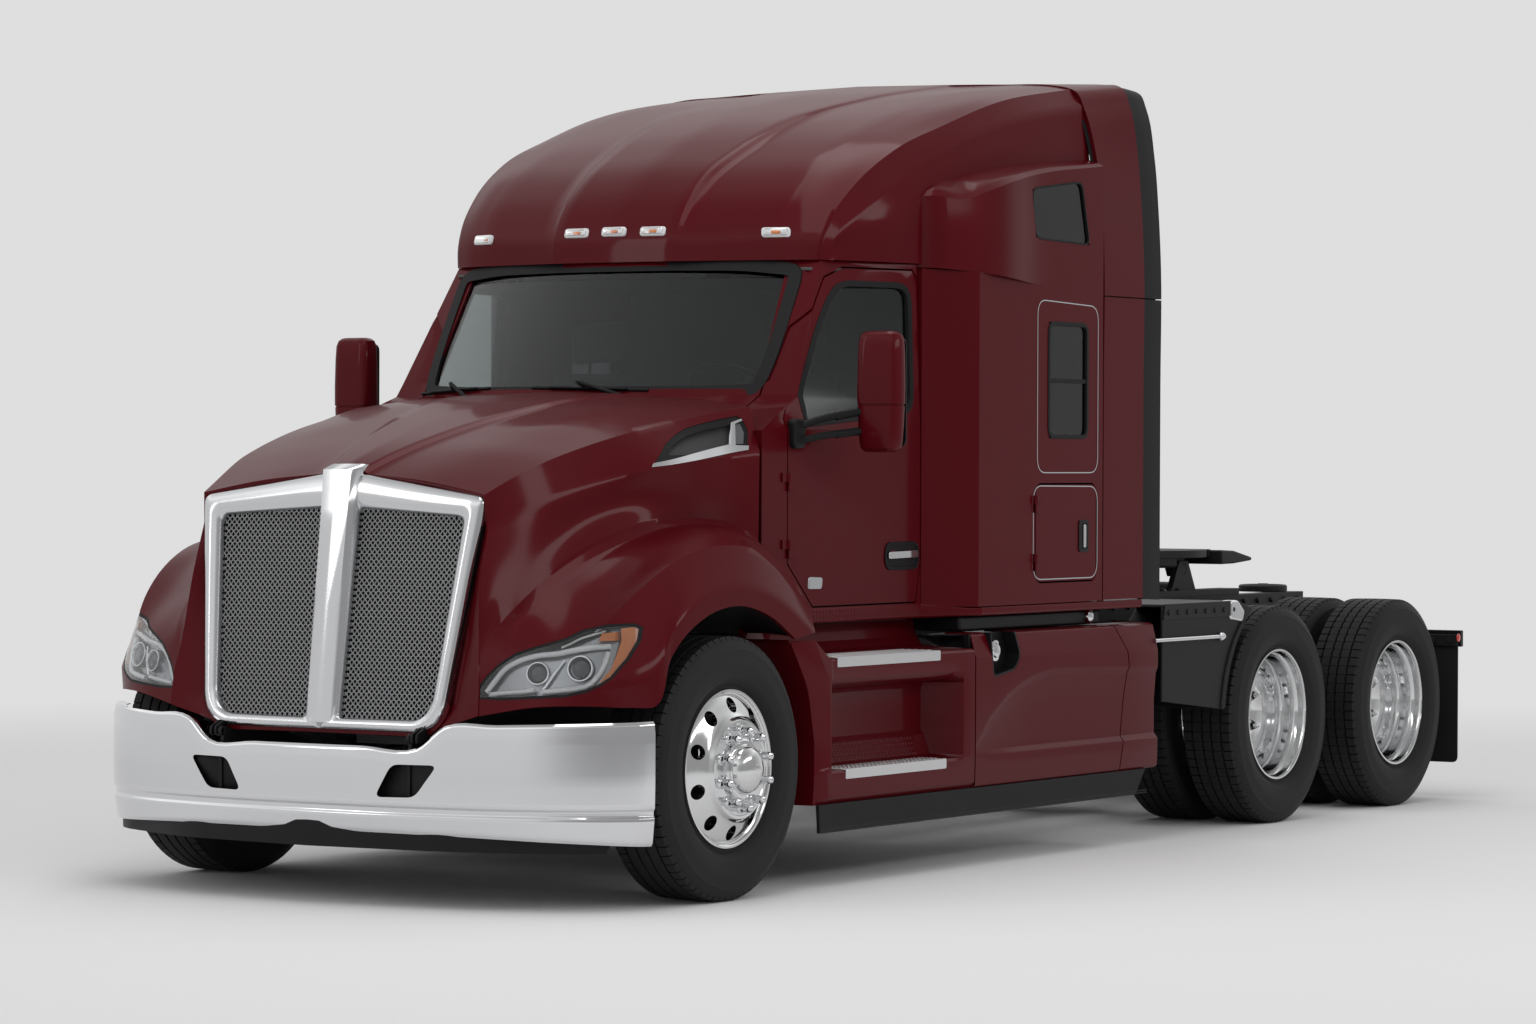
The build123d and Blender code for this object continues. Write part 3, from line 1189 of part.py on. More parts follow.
def tail_bar():
    """End crossbar with the hangers of both mudflaps and the lamp housings."""
    y0 = MUDFLAP_Y + MUDFLAP_T + SEAT
    bar = block(-1255, 1255, y0, REAR_END_Y, MUDFLAP_TOP_Z - 60, MUDFLAP_TOP_Z + 20)
    for side in (1, -1):
        x0, x1 = sorted((side * (RAIL_X - 90), side * (RAIL_X + 10)))
        bar += block(x0, x1, RAIL_REAR_Y + SEAT, REAR_END_Y, MUDFLAP_TOP_Z - 60, 960)
    return bar


def lamps():
    """Five roof markers, then the round tail lamps behind the frame."""
    pieces = []
    for x, y, z in ((0, 1075, 2572), (190, 1085, 2568), (-190, 1085, 2568), (714, 1195, 2549),
                    (-714, 1195, 2549)):
        marker = block(x - 58, x + 58, y - 40, y + 60, z - 15, z + 15)
        pieces.append(marker - roof_form(-SEAT))
    for side in (1, -1):
        for x in (420, 540):
            pieces.append(shaft(side * x, MUDFLAP_TOP_Z - 20, REAR_END_Y + SEAT,
                                REAR_END_Y + TAIL_LAMP_T, 52))
    return pieces


def wiper(x, reach):
    """One wiper: a spindle, its arm and the blade along the windshield's foot."""
    arm = block(x, x + reach, 719, 733, BELT_Z + 12, BELT_Z + 26)
    return arm + post(x, 726, COWL_Z, BELT_Z + 26, 10) - cab_form(-SEAT)


def fifth_wheel_base():
    """Slide rails on the frame and the two brackets with the plate's pivot bores."""
    z0 = RAIL_TOP + SEAT
    base = block(-RAIL_X, -RAIL_X + 110, PLATE_Y - 520, PLATE_Y + 520, z0, z0 + 30)
    base += block(RAIL_X - 110, RAIL_X, PLATE_Y - 520, PLATE_Y + 520, z0, z0 + 30)
    base += block(-RAIL_X, RAIL_X, PLATE_Y - 130, PLATE_Y + 130, z0, z0 + 24)
    for side in (1, -1):
        cheek = side_prism([(PLATE_Y - 130, z0 + 20), (PLATE_Y + 130, z0 + 20),
                            (PLATE_Y + 45, PLATE_PIVOT_Z + 40), (PLATE_Y - 45, PLATE_PIVOT_Z + 40)],
                           side * 380 - 15, side * 380 + 15, 12)
        bore = rod(side * 380 - 20, side * 380 + 20, PLATE_Y, PLATE_PIVOT_Z,
                   PLATE_PIN_R + BORE_GAP)
        base += cheek
        base -= bore
    return base


def fifth_wheel_plate():
    """Coupling plate: round front, two ramps behind, the throat and the kingpin bore."""
    z0, z1 = PLATE_TOP_Z - PLATE_T, PLATE_TOP_Z
    plate = Pos(0, PLATE_Y - 20, z0) * extrude(Circle(PLATE_R), PLATE_T)
    plate &= block(-PLATE_R, PLATE_R, PLATE_Y - 460, PLATE_Y + 280, z0 - 1, z1 + 1)
    ramp = plan_prism([(PLATE_R * 0.86, PLATE_Y + 240), (PLATE_R * 0.66, PLATE_Y + 520),
                       (130, PLATE_Y + 520), (90, PLATE_Y + 240)], z0, z1)
    plate += ramp + opposite(ramp)
    throat = plan_prism([(COUPLER_BORE_R, PLATE_Y), (COUPLER_BORE_R, PLATE_Y + 90),
                         (135, PLATE_Y + 540), (-135, PLATE_Y + 540),
                         (-COUPLER_BORE_R, PLATE_Y + 90), (-COUPLER_BORE_R, PLATE_Y)],
                        z0 - 1, z1 + 1)
    plate -= throat
    plate -= post(0, PLATE_Y, z0 - 1, z1 + 1, COUPLER_BORE_R)
    slope = side_prism([(PLATE_Y + 300, z1), (PLATE_Y + 560, z1 - 90), (PLATE_Y + 560, z1 + 10)],
                       -PLATE_R, PLATE_R)
    plate -= slope
    for side in (1, -1):
        lug = side_prism([(PLATE_Y - 90, z0 + 2), (PLATE_Y + 90, z0 + 2),
                          (PLATE_Y + 34, PLATE_PIVOT_Z - 34), (PLATE_Y - 34, PLATE_PIVOT_Z - 34)],
                         side * 340 - 18, side * 340 + 18)
        plate += lug
        plate += rod(min(side * 330, side * 394), max(side * 330, side * 394), PLATE_Y,
                     PLATE_PIVOT_Z, PLATE_PIN_R)
    return plate


# ---------------------------------------------------------------- nodes
def main():
    """Builds every node and writes it."""
    tyre_piece, wheel_piece = front_wheel()
    arm = knuckle()
    for name, place in (("left", lambda s: s), ("right", opposite)):
        export(f"front_tyre_{name}", place(tyre_piece))
        export(f"front_wheel_{name}", place(wheel_piece))
        export(f"knuckle_{name}", place(arm))
    for row, y in zip(("first", "second"), DRIVE_AXLES_Y):
        tyres, wheels = dual_wheel(y)
        export(f"{row}_drive_tyres_left", tyres)
        export(f"{row}_drive_wheels_left", wheels)
        export(f"{row}_drive_tyres_right", [opposite(t) for t in tyres])
        export(f"{row}_drive_wheels_right", opposite(wheels))
    export("tie_rod", tie_rod())
    export("front_axle", front_axle())
    export("drive_axles", [drive_axle(y) for y in DRIVE_AXLES_Y])
    export("frame_rails", frame_rails())
    export("crossmembers", crossmembers())
    export("engine", [engine(), drive_shaft(), axle_shaft()])
    export("radiator", radiator())
    export("hood_shell", hood_shell())
    lamp = headlamp()
    export("headlamps", both(lamp))
    export("grille_surround", grille_surround())
    export("grille_mesh", grille_mesh())
    export("hood_vents", both(hood_vent()))
    export("bumper", bumper())
    export("bumper_lip", bumper_lip())
    shell = cab_shell()
    export("cab_front", cab_front(shell))
    export("windshield", windshield())
    panel, pane, mirror_piece = door(shell), door_glass(), door_mirror()
    for name, place in (("left", lambda s: s), ("right", opposite)):
        export(f"door_{name}", place(panel))
        export(f"door_glass_{name}", place(pane))
        export(f"mirror_{name}", place(mirror_piece))
        export(f"locker_door_{name}", place(locker_door()))
    export("cab_floor", cab_floor() + bunk_base())
    export("sleeper_sides", both(sleeper_side()))
    export("sleeper_back", sleeper_back())
    export("roof_cap", roof_cap())
    export("extender_arch", extender_arch())
    export("extender_flaps", both(extender_flap()))
    panes = sleeper_glass()
    export("sleeper_glass", panes + [opposite(p) for p in panes])
    export("seats", seats())
    export("dashboard", dashboard())
    export("bunk_mattress", bunk_mattress())
    export("step_fairings", both(step_fairing()))
    treads = step_tread()
    export("step_treads", treads + [opposite(t) for t in treads])
    panels = tank_fairing()
    export("tank_fairings", panels + [opposite(p) for p in panels])
    export("fuel_tanks", both(fuel_tank()))
    export("side_skirts", both(side_skirt()))
    export("quarter_fenders", both(quarter_fender()))
    export("mudflaps", both(mudflap()))
    export("tail_bar", tail_bar())
    export("lamps", lamps())
    export("wipers", [wiper(-80, 560), wiper(-760, 540)])
    export("fifth_wheel_base", fifth_wheel_base())
    export("fifth_wheel_plate", fifth_wheel_plate())


main()
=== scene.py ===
# %% [markdown]
# # A tractor unit, dressed for the studio
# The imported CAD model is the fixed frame. This lesson puts paint, chrome, rubber and glass on it,
# and builds over it what a plain solid can't show: pressed body panels, tread, mesh, lamps, nuts.

# %% Load the frame
import json
import math

import bmesh
import bpy
from mathutils import Matrix, Vector
from mathutils.bvhtree import BVHTree


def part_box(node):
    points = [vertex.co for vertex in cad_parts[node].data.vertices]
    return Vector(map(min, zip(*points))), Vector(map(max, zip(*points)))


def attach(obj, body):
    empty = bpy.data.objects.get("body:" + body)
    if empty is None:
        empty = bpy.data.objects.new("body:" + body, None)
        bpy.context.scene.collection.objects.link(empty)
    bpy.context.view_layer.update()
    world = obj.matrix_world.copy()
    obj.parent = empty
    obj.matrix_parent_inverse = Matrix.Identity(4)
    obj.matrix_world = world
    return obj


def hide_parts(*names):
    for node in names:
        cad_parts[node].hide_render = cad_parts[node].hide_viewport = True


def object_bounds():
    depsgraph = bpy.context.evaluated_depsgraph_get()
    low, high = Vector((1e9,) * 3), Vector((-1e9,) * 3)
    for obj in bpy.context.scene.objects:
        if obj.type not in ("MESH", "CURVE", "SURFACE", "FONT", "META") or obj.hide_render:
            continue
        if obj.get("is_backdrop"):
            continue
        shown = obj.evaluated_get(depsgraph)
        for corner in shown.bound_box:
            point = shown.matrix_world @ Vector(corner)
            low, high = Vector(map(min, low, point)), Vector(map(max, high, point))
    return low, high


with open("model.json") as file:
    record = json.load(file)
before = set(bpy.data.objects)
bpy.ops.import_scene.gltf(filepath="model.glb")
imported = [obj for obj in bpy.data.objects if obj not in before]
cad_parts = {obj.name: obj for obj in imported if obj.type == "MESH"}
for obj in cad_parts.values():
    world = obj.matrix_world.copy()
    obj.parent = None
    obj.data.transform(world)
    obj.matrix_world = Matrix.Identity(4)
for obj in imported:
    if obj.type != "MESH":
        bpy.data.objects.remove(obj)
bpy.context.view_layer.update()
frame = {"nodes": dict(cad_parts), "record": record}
front_tyre_low, front_tyre_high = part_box("front_tyre_left")
AXLE_Y = (front_tyre_low.y + front_tyre_high.y) / 2    # the front axle, from which stations count
TYRE_R = (front_tyre_high.z - front_tyre_low.z) / 2

# %% [markdown]
# ## Camera
# A long lens from the front corner keeps the cab's verticals upright. The camera's own axes come
# from its heading, its slight downward pitch and its roll, so its place and turn are five plain
# numbers.

# %% Camera
CAMERA_PLACE = (10.734, AXLE_Y - 14.758, 1.649)
CAMERA_HEADING = math.radians(32.277)
CAMERA_PITCH = math.radians(-0.644)
CAMERA_ROLL = math.radians(0.2155)
CAMERA_LENS = 110.53

camera_data = bpy.data.cameras.new("camera")
camera_data.lens = CAMERA_LENS
camera_data.sensor_width = 36.0
camera = bpy.data.objects.new("camera", camera_data)
bpy.context.scene.collection.objects.link(camera)
turn = Matrix.Identity(4)
for angle, axis in ((CAMERA_HEADING, "Z"), (math.pi / 2 + CAMERA_PITCH, "X"), (CAMERA_ROLL, "Z")):
    turn = turn @ Matrix.Rotation(angle, 4, axis)
camera.matrix_world = Matrix.Translation(CAMERA_PLACE) @ turn
camera_data.clip_end = 200.0
bpy.context.scene.camera = camera
print("camera looks along", [round(v, 3) for v in turn.to_3x3() @ Vector((0, 0, -1))])

# %% [markdown]
# ## Floor and light
# The floor is one flat pale sheet which, far from the vehicle, fades into the glow of the wall,
# as a studio cove would. Broad lamps overhead, in front and at one side lie in the gloss of the
# panels as long soft highlights, and leave a shadow below.

# %% Floor and light
FLOOR_REACH = 60.0
FLOOR_COLOUR = (0.87, 0.87, 0.875, 1)
COVE_START, COVE_END = 5.0, 13.0    # where the floor begins to fade into the wall's glow, and where it has faded
WORLD_LEVEL = 0.62                  # how strongly the studio lights the object
BACKGROUND = 0.735                  # how bright its walls look
SIDE_SHADE = 0.5                    # how dark the right side looks in the panels
SHADE_START, SHADE_END = 0.1, 0.7   # how far to the right a mirrored ray points
# height, brightness in the panels
BANK = ((0.0, .95), (.30, 1.0), (.48, 1.6), (.70, 1.0), (1.0, .5))

def feed(tree, node, inputs):
    """Links sockets into a node's inputs, or sets their values."""
    for name, value in inputs.items():
        if isinstance(value, bpy.types.NodeSocket):
            tree.links.new(value, node.inputs[name])
        else:
            node.inputs[name].default_value = value
    return node

def add_node(tree, kind, inputs=None, **settings):
    """A node with its settings. Each input is another node's socket, or a value."""
    node = tree.nodes.new(kind)
    for name, value in settings.items():
        setattr(node, name, value)
    return feed(tree, node, inputs or {})

def math_node(tree, operation, *values, **settings):
    """The output of a Math node over sockets or numbers."""
    node = add_node(tree, "ShaderNodeMath", dict(enumerate(values)), operation=operation,
                    **settings)
    return node.outputs[0]

def material_tree(name):
    """A new material, its node tree and its Principled shader."""
    material = bpy.data.materials.new(name)
    material.use_nodes = True
    return material, material.node_tree, material.node_tree.nodes["Principled BSDF"]

def seen_rays(tree):
    """1 for the rays that show the studio itself: seen, mirrored or through glass."""
    path = add_node(tree, "ShaderNodeLightPath").outputs
    total = math_node(tree, "ADD", path["Is Camera Ray"], path["Is Glossy Ray"], use_clamp=True)
    return math_node(tree, "ADD", total, path["Is Transmission Ray"], use_clamp=True)

def studio_shade(tree, direction):
    """What mirrored rays see: a darker right side, a bright bank in front at middle height."""
    split = add_node(tree, "ShaderNodeSeparateXYZ", {0: direction}).outputs
    right = add_node(tree, "ShaderNodeMapRange", {
        "From Min": SHADE_START, "From Max": SHADE_END, "To Min": 1.0, "To Max": SIDE_SHADE,
        "Value": split["X"]}, interpolation_type="SMOOTHSTEP")
    bank = add_node(tree, "ShaderNodeValToRGB", {0: split["Z"]})
    for place, value in BANK[1:-1]:
        bank.color_ramp.elements.new(place)
    for stop, (place, value) in zip(bank.color_ramp.elements, BANK):
        stop.position, stop.color = place, (value, value, value, 1)
    both = math_node(tree, "MULTIPLY", right.outputs[0], bank.outputs[0])
    mirrored = add_node(tree, "ShaderNodeLightPath").outputs["Is Glossy Ray"]
    change = math_node(tree, "SUBTRACT", both, 1.0)
    return math_node(tree, "MULTIPLY_ADD", change, mirrored, 1.0)

bpy.context.scene.view_settings.view_transform = "Standard"
floor_mesh = bpy.data.meshes.new("floor")
corners = [(a * FLOOR_REACH, b * FLOOR_REACH, 0) for a, b in ((-1, -1), (1, -1), (1, 1), (-1, 1))]
floor_mesh.from_pydata(corners, [], [(0, 1, 2, 3)])
floor = bpy.data.objects.new("floor", floor_mesh)
bpy.context.scene.collection.objects.link(floor)
floor_material, tree, shader = material_tree("studio_floor")
feed(tree, shader, {"Base Color": FLOOR_COLOUR, "Roughness": 0.9, "Specular IOR Level": 0.0})
floor_mesh.materials.append(floor_material)
floor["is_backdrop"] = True

coords = add_node(tree, "ShaderNodeTexCoord").outputs["Object"]
outwards = add_node(tree, "ShaderNodeVectorMath", {0: coords}, operation="NORMALIZE")
reach = add_node(tree, "ShaderNodeVectorMath", {0: coords}, operation="LENGTH")
shade = studio_shade(tree, outwards.outputs["Vector"])
strength = math_node(tree, "MULTIPLY", shade, BACKGROUND)
far_glow = add_node(tree, "ShaderNodeEmission", {"Strength": strength})
fade = add_node(tree, "ShaderNodeMapRange", {
    "From Min": COVE_START, "From Max": COVE_END, "Value": reach.outputs["Value"]},
    interpolation_type="SMOOTHSTEP")
blend = math_node(tree, "MULTIPLY", fade.outputs[0], seen_rays(tree))
cove = add_node(tree, "ShaderNodeMixShader", {
    "Fac": blend, 1: shader.outputs[0], 2: far_glow.outputs[0]})
feed(tree, tree.nodes["Material Output"], {"Surface": cove.outputs[0]})

world = bpy.data.worlds.new("studio")
bpy.context.scene.world = world
world.use_nodes = True
tree = world.node_tree
level = add_node(tree, "ShaderNodeMapRange", {
    "To Min": WORLD_LEVEL, "To Max": BACKGROUND, "Value": seen_rays(tree)})
shade = studio_shade(tree, add_node(tree, "ShaderNodeTexCoord").outputs["Generated"])
strength = math_node(tree, "MULTIPLY", level.outputs[0], shade)
feed(tree, tree.nodes["Background"], {"Strength": strength, "Color": (1, 1, 1, 1)})

LAMPS = (    # name, place, aims at, width, height, watts
    ("lamp_overhead", (0.5, AXLE_Y + 1.0, 8.0), (0, AXLE_Y + 2.0, 1.5), 2.2, 12.0, 170),
    ("lamp_front", (-6.0, AXLE_Y - 9.0, 5.5), (0, AXLE_Y, 1.4), 1.6, 5.0, 60),
    ("lamp_side", (10.0, AXLE_Y + 2.5, 5.0), (0, AXLE_Y + 2.5, 1.4), 9.0, 1.4, 140))
for name, place, aim, width, height, watts in LAMPS:
    light = bpy.data.lights.new(name, "AREA")
    light.shape = "RECTANGLE"
    light.size, light.size_y, light.energy = width, height, watts
    lamp = bpy.data.objects.new(name, light)
    lamp.location = place
    lamp.rotation_euler = (Vector(aim) - Vector(place)).to_track_quat("-Z", "Y").to_euler()
    bpy.context.scene.collection.objects.link(lamp)
print("lamps", [row[0] for row in LAMPS])

# %% [markdown]
# ## Shared effects
# Paint, rubber and plastic all get a fine grain and a little road film, thicker low down. Each
# effect is one node group, placed in a material with that material's own values.

# %% Shared effects
def new_group(name, kind, inputs, outputs):
    """A node group of a kind with (name, type, value) inputs and (name, type) outputs."""
    tree = bpy.data.node_groups.new(name, kind + "NodeTree")
    for way, rows in (("OUTPUT", outputs), ("INPUT", inputs)):
        for label, data_type, *value in rows:
            socket = tree.interface.new_socket(name=label, in_out=way,
                                               socket_type="NodeSocket" + data_type)
            if value:
                socket.default_value = value[0]
    return tree, tree.nodes.new("NodeGroupInput").outputs, tree.nodes.new("NodeGroupOutput")

grain_tree, given, result = new_group(
    "fine_grain", "Shader",
    (("Scale", "Float", 200.0), ("Detail", "Float", 3.0), ("Stretch", "Vector", (1, 1, 1))),
    (("Height", "Float"), ("Mask", "Float")))
coords = add_node(grain_tree, "ShaderNodeTexCoord").outputs["Object"]
mapping = add_node(grain_tree, "ShaderNodeMapping", {"Vector": coords, "Scale": given["Stretch"]})
noise = add_node(grain_tree, "ShaderNodeTexNoise", {
    "Vector": mapping.outputs[0], "Scale": given["Scale"],
    "Detail": given["Detail"]}).outputs["Fac"]
spread = add_node(grain_tree, "ShaderNodeMapRange", {
    "From Min": 0.35, "From Max": 0.65, "Value": noise})
feed(grain_tree, result, {"Height": noise, "Mask": spread.outputs[0]})

film_tree, given, result = new_group(
    "road_film", "Shader",
    (("Clean", "Color", (0.1, 0.1, 0.1, 1)), ("Film", "Color", (0.3, 0.28, 0.26, 1)),
     ("Amount", "Float", 0.1), ("Top", "Float", 1.2), ("Gloss", "Float", 0.3),
     ("Dull", "Float", 0.7)),
    (("Color", "Color"), ("Roughness", "Float")))
coords = add_node(film_tree, "ShaderNodeTexCoord").outputs["Object"]
height = add_node(film_tree, "ShaderNodeSeparateXYZ", {0: coords}).outputs["Z"]
fade = add_node(film_tree, "ShaderNodeMapRange", {
    "To Min": 1.0, "To Max": 0.25, "Value": height, "From Max": given["Top"]})
cloud = add_node(film_tree, "ShaderNodeTexNoise", {"Scale": 5.0, "Detail": 6.0, "Vector": coords})
share = math_node(film_tree, "MULTIPLY", fade.outputs[0], cloud.outputs["Fac"])
cover = math_node(film_tree, "MULTIPLY", share, given["Amount"], use_clamp=True)
tint = add_node(film_tree, "ShaderNodeMix", {
    "Factor": cover, "A": given["Clean"], "B": given["Film"]}, data_type="RGBA")
dulled = add_node(film_tree, "ShaderNodeMapRange", {
    "Value": cover, "To Min": given["Gloss"], "To Max": given["Dull"]})
feed(film_tree, result, {"Color": tint.outputs["Result"], "Roughness": dulled.outputs[0]})
print("groups", [g.name for g in bpy.data.node_groups])

# %% [markdown]
# ## Finishes
# One maker gives most surfaces: a colour with its film, a gloss that the film dulls, and a grain
# in the bump. Values that are the same all over sit on the shader's own sockets.

# %% Finishes
FINISHES = {}

def finish_of(name, colour, gloss, metal=0.0, film=0.1, grain=200.0, bump=0.02, depth=0.001,
              stretch=(1, 1, 1), coat=0.0, film_colour=(0.26, 0.24, 0.22, 1), dull=0.75,
              specular=0.5):
    """Adds a finish with film, grain and bump. gloss is the clean surface's roughness."""
    material, tree, shader = material_tree(name)
    surface = add_node(tree, "ShaderNodeGroup", {
        "Clean": (*colour, 1), "Film": film_colour, "Amount": film, "Gloss": gloss, "Dull": dull},
        node_tree=film_tree).outputs
    texture = add_node(tree, "ShaderNodeGroup", {"Scale": grain, "Stretch": stretch},
                       node_tree=grain_tree)
    relief = add_node(tree, "ShaderNodeBump", {
        "Strength": bump, "Distance": depth, "Height": texture.outputs["Height"]})
    feed(tree, shader, {
        "Normal": relief.outputs[0], "Base Color": surface["Color"],
        "Roughness": surface["Roughness"], "Metallic": metal, "Coat Weight": coat,
        "Coat Roughness": 0.10, "Specular IOR Level": specular})
    FINISHES[name] = material

SOOT = (0.09, 0.088, 0.085, 1)     # the film on black parts
finish_of("maroon_paint", (0.086, 0.0022, 0.0055), 0.42, metal=0.2, film=0.006, grain=900.0,
          bump=0.02, coat=0.24, dull=0.5, specular=0.03)
finish_of("chrome", (0.74, 0.745, 0.76), 0.06, metal=1.0, film=0.04, grain=40.0, bump=0.006,
          dull=0.4)
finish_of("polished_aluminium", (0.74, 0.745, 0.75), 0.10, metal=1.0, film=0.04, grain=60.0,
          bump=0.01, stretch=(6, 1, 1), dull=0.4)
finish_of("aluminium", (0.62, 0.63, 0.64), 0.32, metal=1.0, film=0.12, grain=300.0, bump=0.08,
          stretch=(1, 0.06, 1))
finish_of("cooler_aluminium", (0.32, 0.33, 0.34), 0.5, metal=1.0, film=0.3, grain=420.0, bump=0.3,
          stretch=(0.05, 1, 4))
finish_of("frame_black", (0.006, 0.006, 0.007), 0.40, film=0.08, grain=90.0, bump=0.12,
          film_colour=SOOT, specular=0.2)
finish_of("cast_black", (0.010, 0.010, 0.011), 0.55, film=0.14, grain=160.0, bump=0.5,
          film_colour=SOOT, specular=0.4)
finish_of("engine_grey", (0.10, 0.105, 0.11), 0.5, metal=0.4, film=0.3, grain=120.0, bump=0.4)
finish_of("tyre", (0.010, 0.010, 0.011), 0.62, film=0.10, grain=260.0, bump=0.25, film_colour=SOOT,
          dull=0.9, specular=0.25)
finish_of("black_rubber", (0.006, 0.006, 0.007), 0.6, film=0.10, grain=220.0, bump=0.25,
          film_colour=SOOT, dull=0.9, specular=0.25)
finish_of("black_plastic", (0.006, 0.006, 0.007), 0.45, film=0.03, grain=700.0, bump=0.35,
          film_colour=SOOT, specular=0.2)
finish_of("interior_plastic", (0.075, 0.072, 0.07), 0.6, film=0.05, grain=600.0, bump=0.4)
finish_of("seat_fabric", (0.035, 0.035, 0.038), 0.9, film=0.08, grain=1400.0, bump=0.6,
          stretch=(1, 1, 3))
finish_of("lamp_lens", (0.55, 0.03, 0.02), 0.12, film=0.03, grain=260.0, bump=0.2, coat=1.0)
finish_of("vent_mesh", (0.030, 0.030, 0.032), 0.5, grain=330.0, bump=1.0, depth=.003)
finish_of("end_mesh", (0.16, 0.165, 0.17), 0.35, metal=.8, grain=420.0, bump=.9)
finish_of("satin_chrome", (0.68, 0.685, 0.70), 0.17, metal=1.0, film=.02, grain=30.0, bump=.001)
finish_of("wire_steel", (0.46, 0.465, 0.47), 0.28, metal=1.0, film=.05, bump=.02)
finish_of("tread_metal", (0.72, 0.72, 0.73), 0.30, metal=.85, film=.06, grain=500.0, bump=.1)
finish_of("mirror_glass", (0.60, 0.62, 0.64), 0.03, metal=1.0, film=.03, bump=.01)
print("finishes", len(FINISHES))

# %% [markdown]
# ## Glass
# Cab glass is a tinted laminate. Its colour and its reflection change only with the angle, so it
# is a plain transmitting shader with a faint streak of dust in the roughness.

# %% Glass
def glass_of(name, colour, rough=0.01):
    """Adds tinted glass whose roughness carries a faint film."""
    material, tree, shader = material_tree(name)
    grain = add_node(tree, "ShaderNodeGroup", {"Scale": 9.0}, node_tree=grain_tree)
    film = add_node(tree, "ShaderNodeMapRange", {
        "To Min": rough, "To Max": rough + 0.02, "Value": grain.outputs["Mask"]})
    feed(tree, shader, {"Roughness": film.outputs[0], "Base Color": (*colour, 1),
                        "Transmission Weight": 1.0, "IOR": 1.45})
    FINISHES[name] = material

glass_of("tinted_glass", (0.42, 0.46, 0.46))
glass_of("dark_glass", (0.06, 0.065, 0.07))
slot_of = {part["node"]: part["material_slot"] for part in frame["record"]["subparts"]}
for name, node in frame["nodes"].items():
    node.data.materials.clear()
    node.data.materials.append(FINISHES[slot_of[name]])
print("dressed", len(frame["nodes"]), "CAD nodes")

# %% [markdown]
# ## From a few points to a pressed panel
# A body panel is sheet metal pressed over a few design lines. Each line here is a short row of
# (X, station, Z) points. A smooth curve runs through every row, the rows are joined the same way,
# and a row marked as sharp stays a crease. The sheet then gets its thickness inwards.

# %% Panels from design lines
STEPS = 6                     # faces between two design points

PLACES = {"X": lambda a, b, w: (w, a, b), "Y": lambda a, b, w: (a, w, b),
          "Z": lambda a, b, w: (a, b, w)}      # outline points and a place along the axis

def curve_through(points, steps, sharp=()):
    """Points along a smooth curve through the given ones; at a sharp one it may turn."""
    points = [Vector(p) for p in points]
    last = len(points) - 1
    spans = [max((points[i + 1] - points[i]).length, 1e-6) for i in range(last)]
    slopes = [(points[i + 1] - points[i]) / spans[i] for i in range(last)]
    def tangent(i, side):
        if i == 0 or i == last or i in sharp:
            return slopes[min(i, last - 1)] if (side > 0 and i < last) or i == 0 else slopes[i - 1]
        before, after = spans[i - 1], spans[i]
        return (slopes[i] * before + slopes[i - 1] * after) / (before + after)
    made = []
    for i in range(last):
        start, end = tangent(i, 1) * spans[i], tangent(i + 1, -1) * spans[i]
        for step in range(steps):
            t = step / steps
            made.append(points[i] * (2 * t**3 - 3 * t**2 + 1) + start * (t**3 - 2 * t**2 + t)
                        + points[i + 1] * (3 * t**2 - 2 * t**3) + end * (t**3 - t**2))
    return made + [points[-1]]

def sheet_grid(rows, sharp=(), steps=STEPS):
    """A fine grid of points from rows of design points."""
    along = [curve_through(row, steps) for row in rows]
    across = [curve_through(list(column), steps, sharp) for column in zip(*along)]
    return [[Vector((p.x, p.y + AXLE_Y, p.z)) for p in line] for line in zip(*across)]

def new_object(name, mesh):
    """Links a mesh as an object at the origin."""
    made = bpy.data.objects.new(name, mesh)
    bpy.context.scene.collection.objects.link(made)
    return made

def mesh_piece(name, work):
    """Ends a bmesh and links it as an object at the origin."""
    mesh = bpy.data.meshes.new(name)
    work.to_mesh(mesh)
    work.free()
    return new_object(name, mesh)

def panel(name, grids, inside, mirror=True):
    """One mesh from point grids, whose faces look away from the point inside."""
    work = bmesh.new()
    for grid in grids:
        facing = 0.0
        quads = []
        for upper, lower in zip(grid, grid[1:]):
            quads += [(upper[i], upper[i + 1], lower[i + 1], lower[i])
                      for i in range(len(upper) - 1)]
        for a, b, c, d in quads:
            facing += (c - a).cross(d - b).dot((a + c) / 2 - Vector(inside))
        for side in (1, -1) if mirror else (1,):
            for quad in quads:
                corners = [work.verts.new((p.x * side, p.y, p.z)) for p in quad]
                if facing * side < 0:
                    corners.reverse()
                work.faces.new(corners)
    bmesh.ops.remove_doubles(work, verts=work.verts, dist=1e-5)
    bmesh.ops.dissolve_degenerate(work, edges=work.edges, dist=1e-5)
    return mesh_piece(name, work)

def prism(name, points, axis, start, end):
    """A closed cutter: an outline of 2-D points carried along an axis, in frame metres."""
    work = bmesh.new()
    rings = [[work.verts.new(PLACES[axis](a, b, w)) for a, b in points] for w in (start, end)]
    work.faces.new(rings[0])
    work.faces.new(list(reversed(rings[1])))
    for i, low in enumerate(rings[0]):
        j = (i + 1) % len(points)
        work.faces.new((low, rings[1][i], rings[1][j], rings[0][j]))
    bmesh.ops.recalc_face_normals(work, faces=work.faces)
    return mesh_piece(name, work)

def bake(piece):
    """Turns a piece and its modifiers into a plain mesh."""
    evaluated = piece.evaluated_get(bpy.context.evaluated_depsgraph_get())
    mesh = bpy.data.meshes.new_from_object(evaluated)
    piece.modifiers.clear()
    old, piece.data = piece.data, mesh
    bpy.data.meshes.remove(old)
    mesh.name = piece.name
    return piece

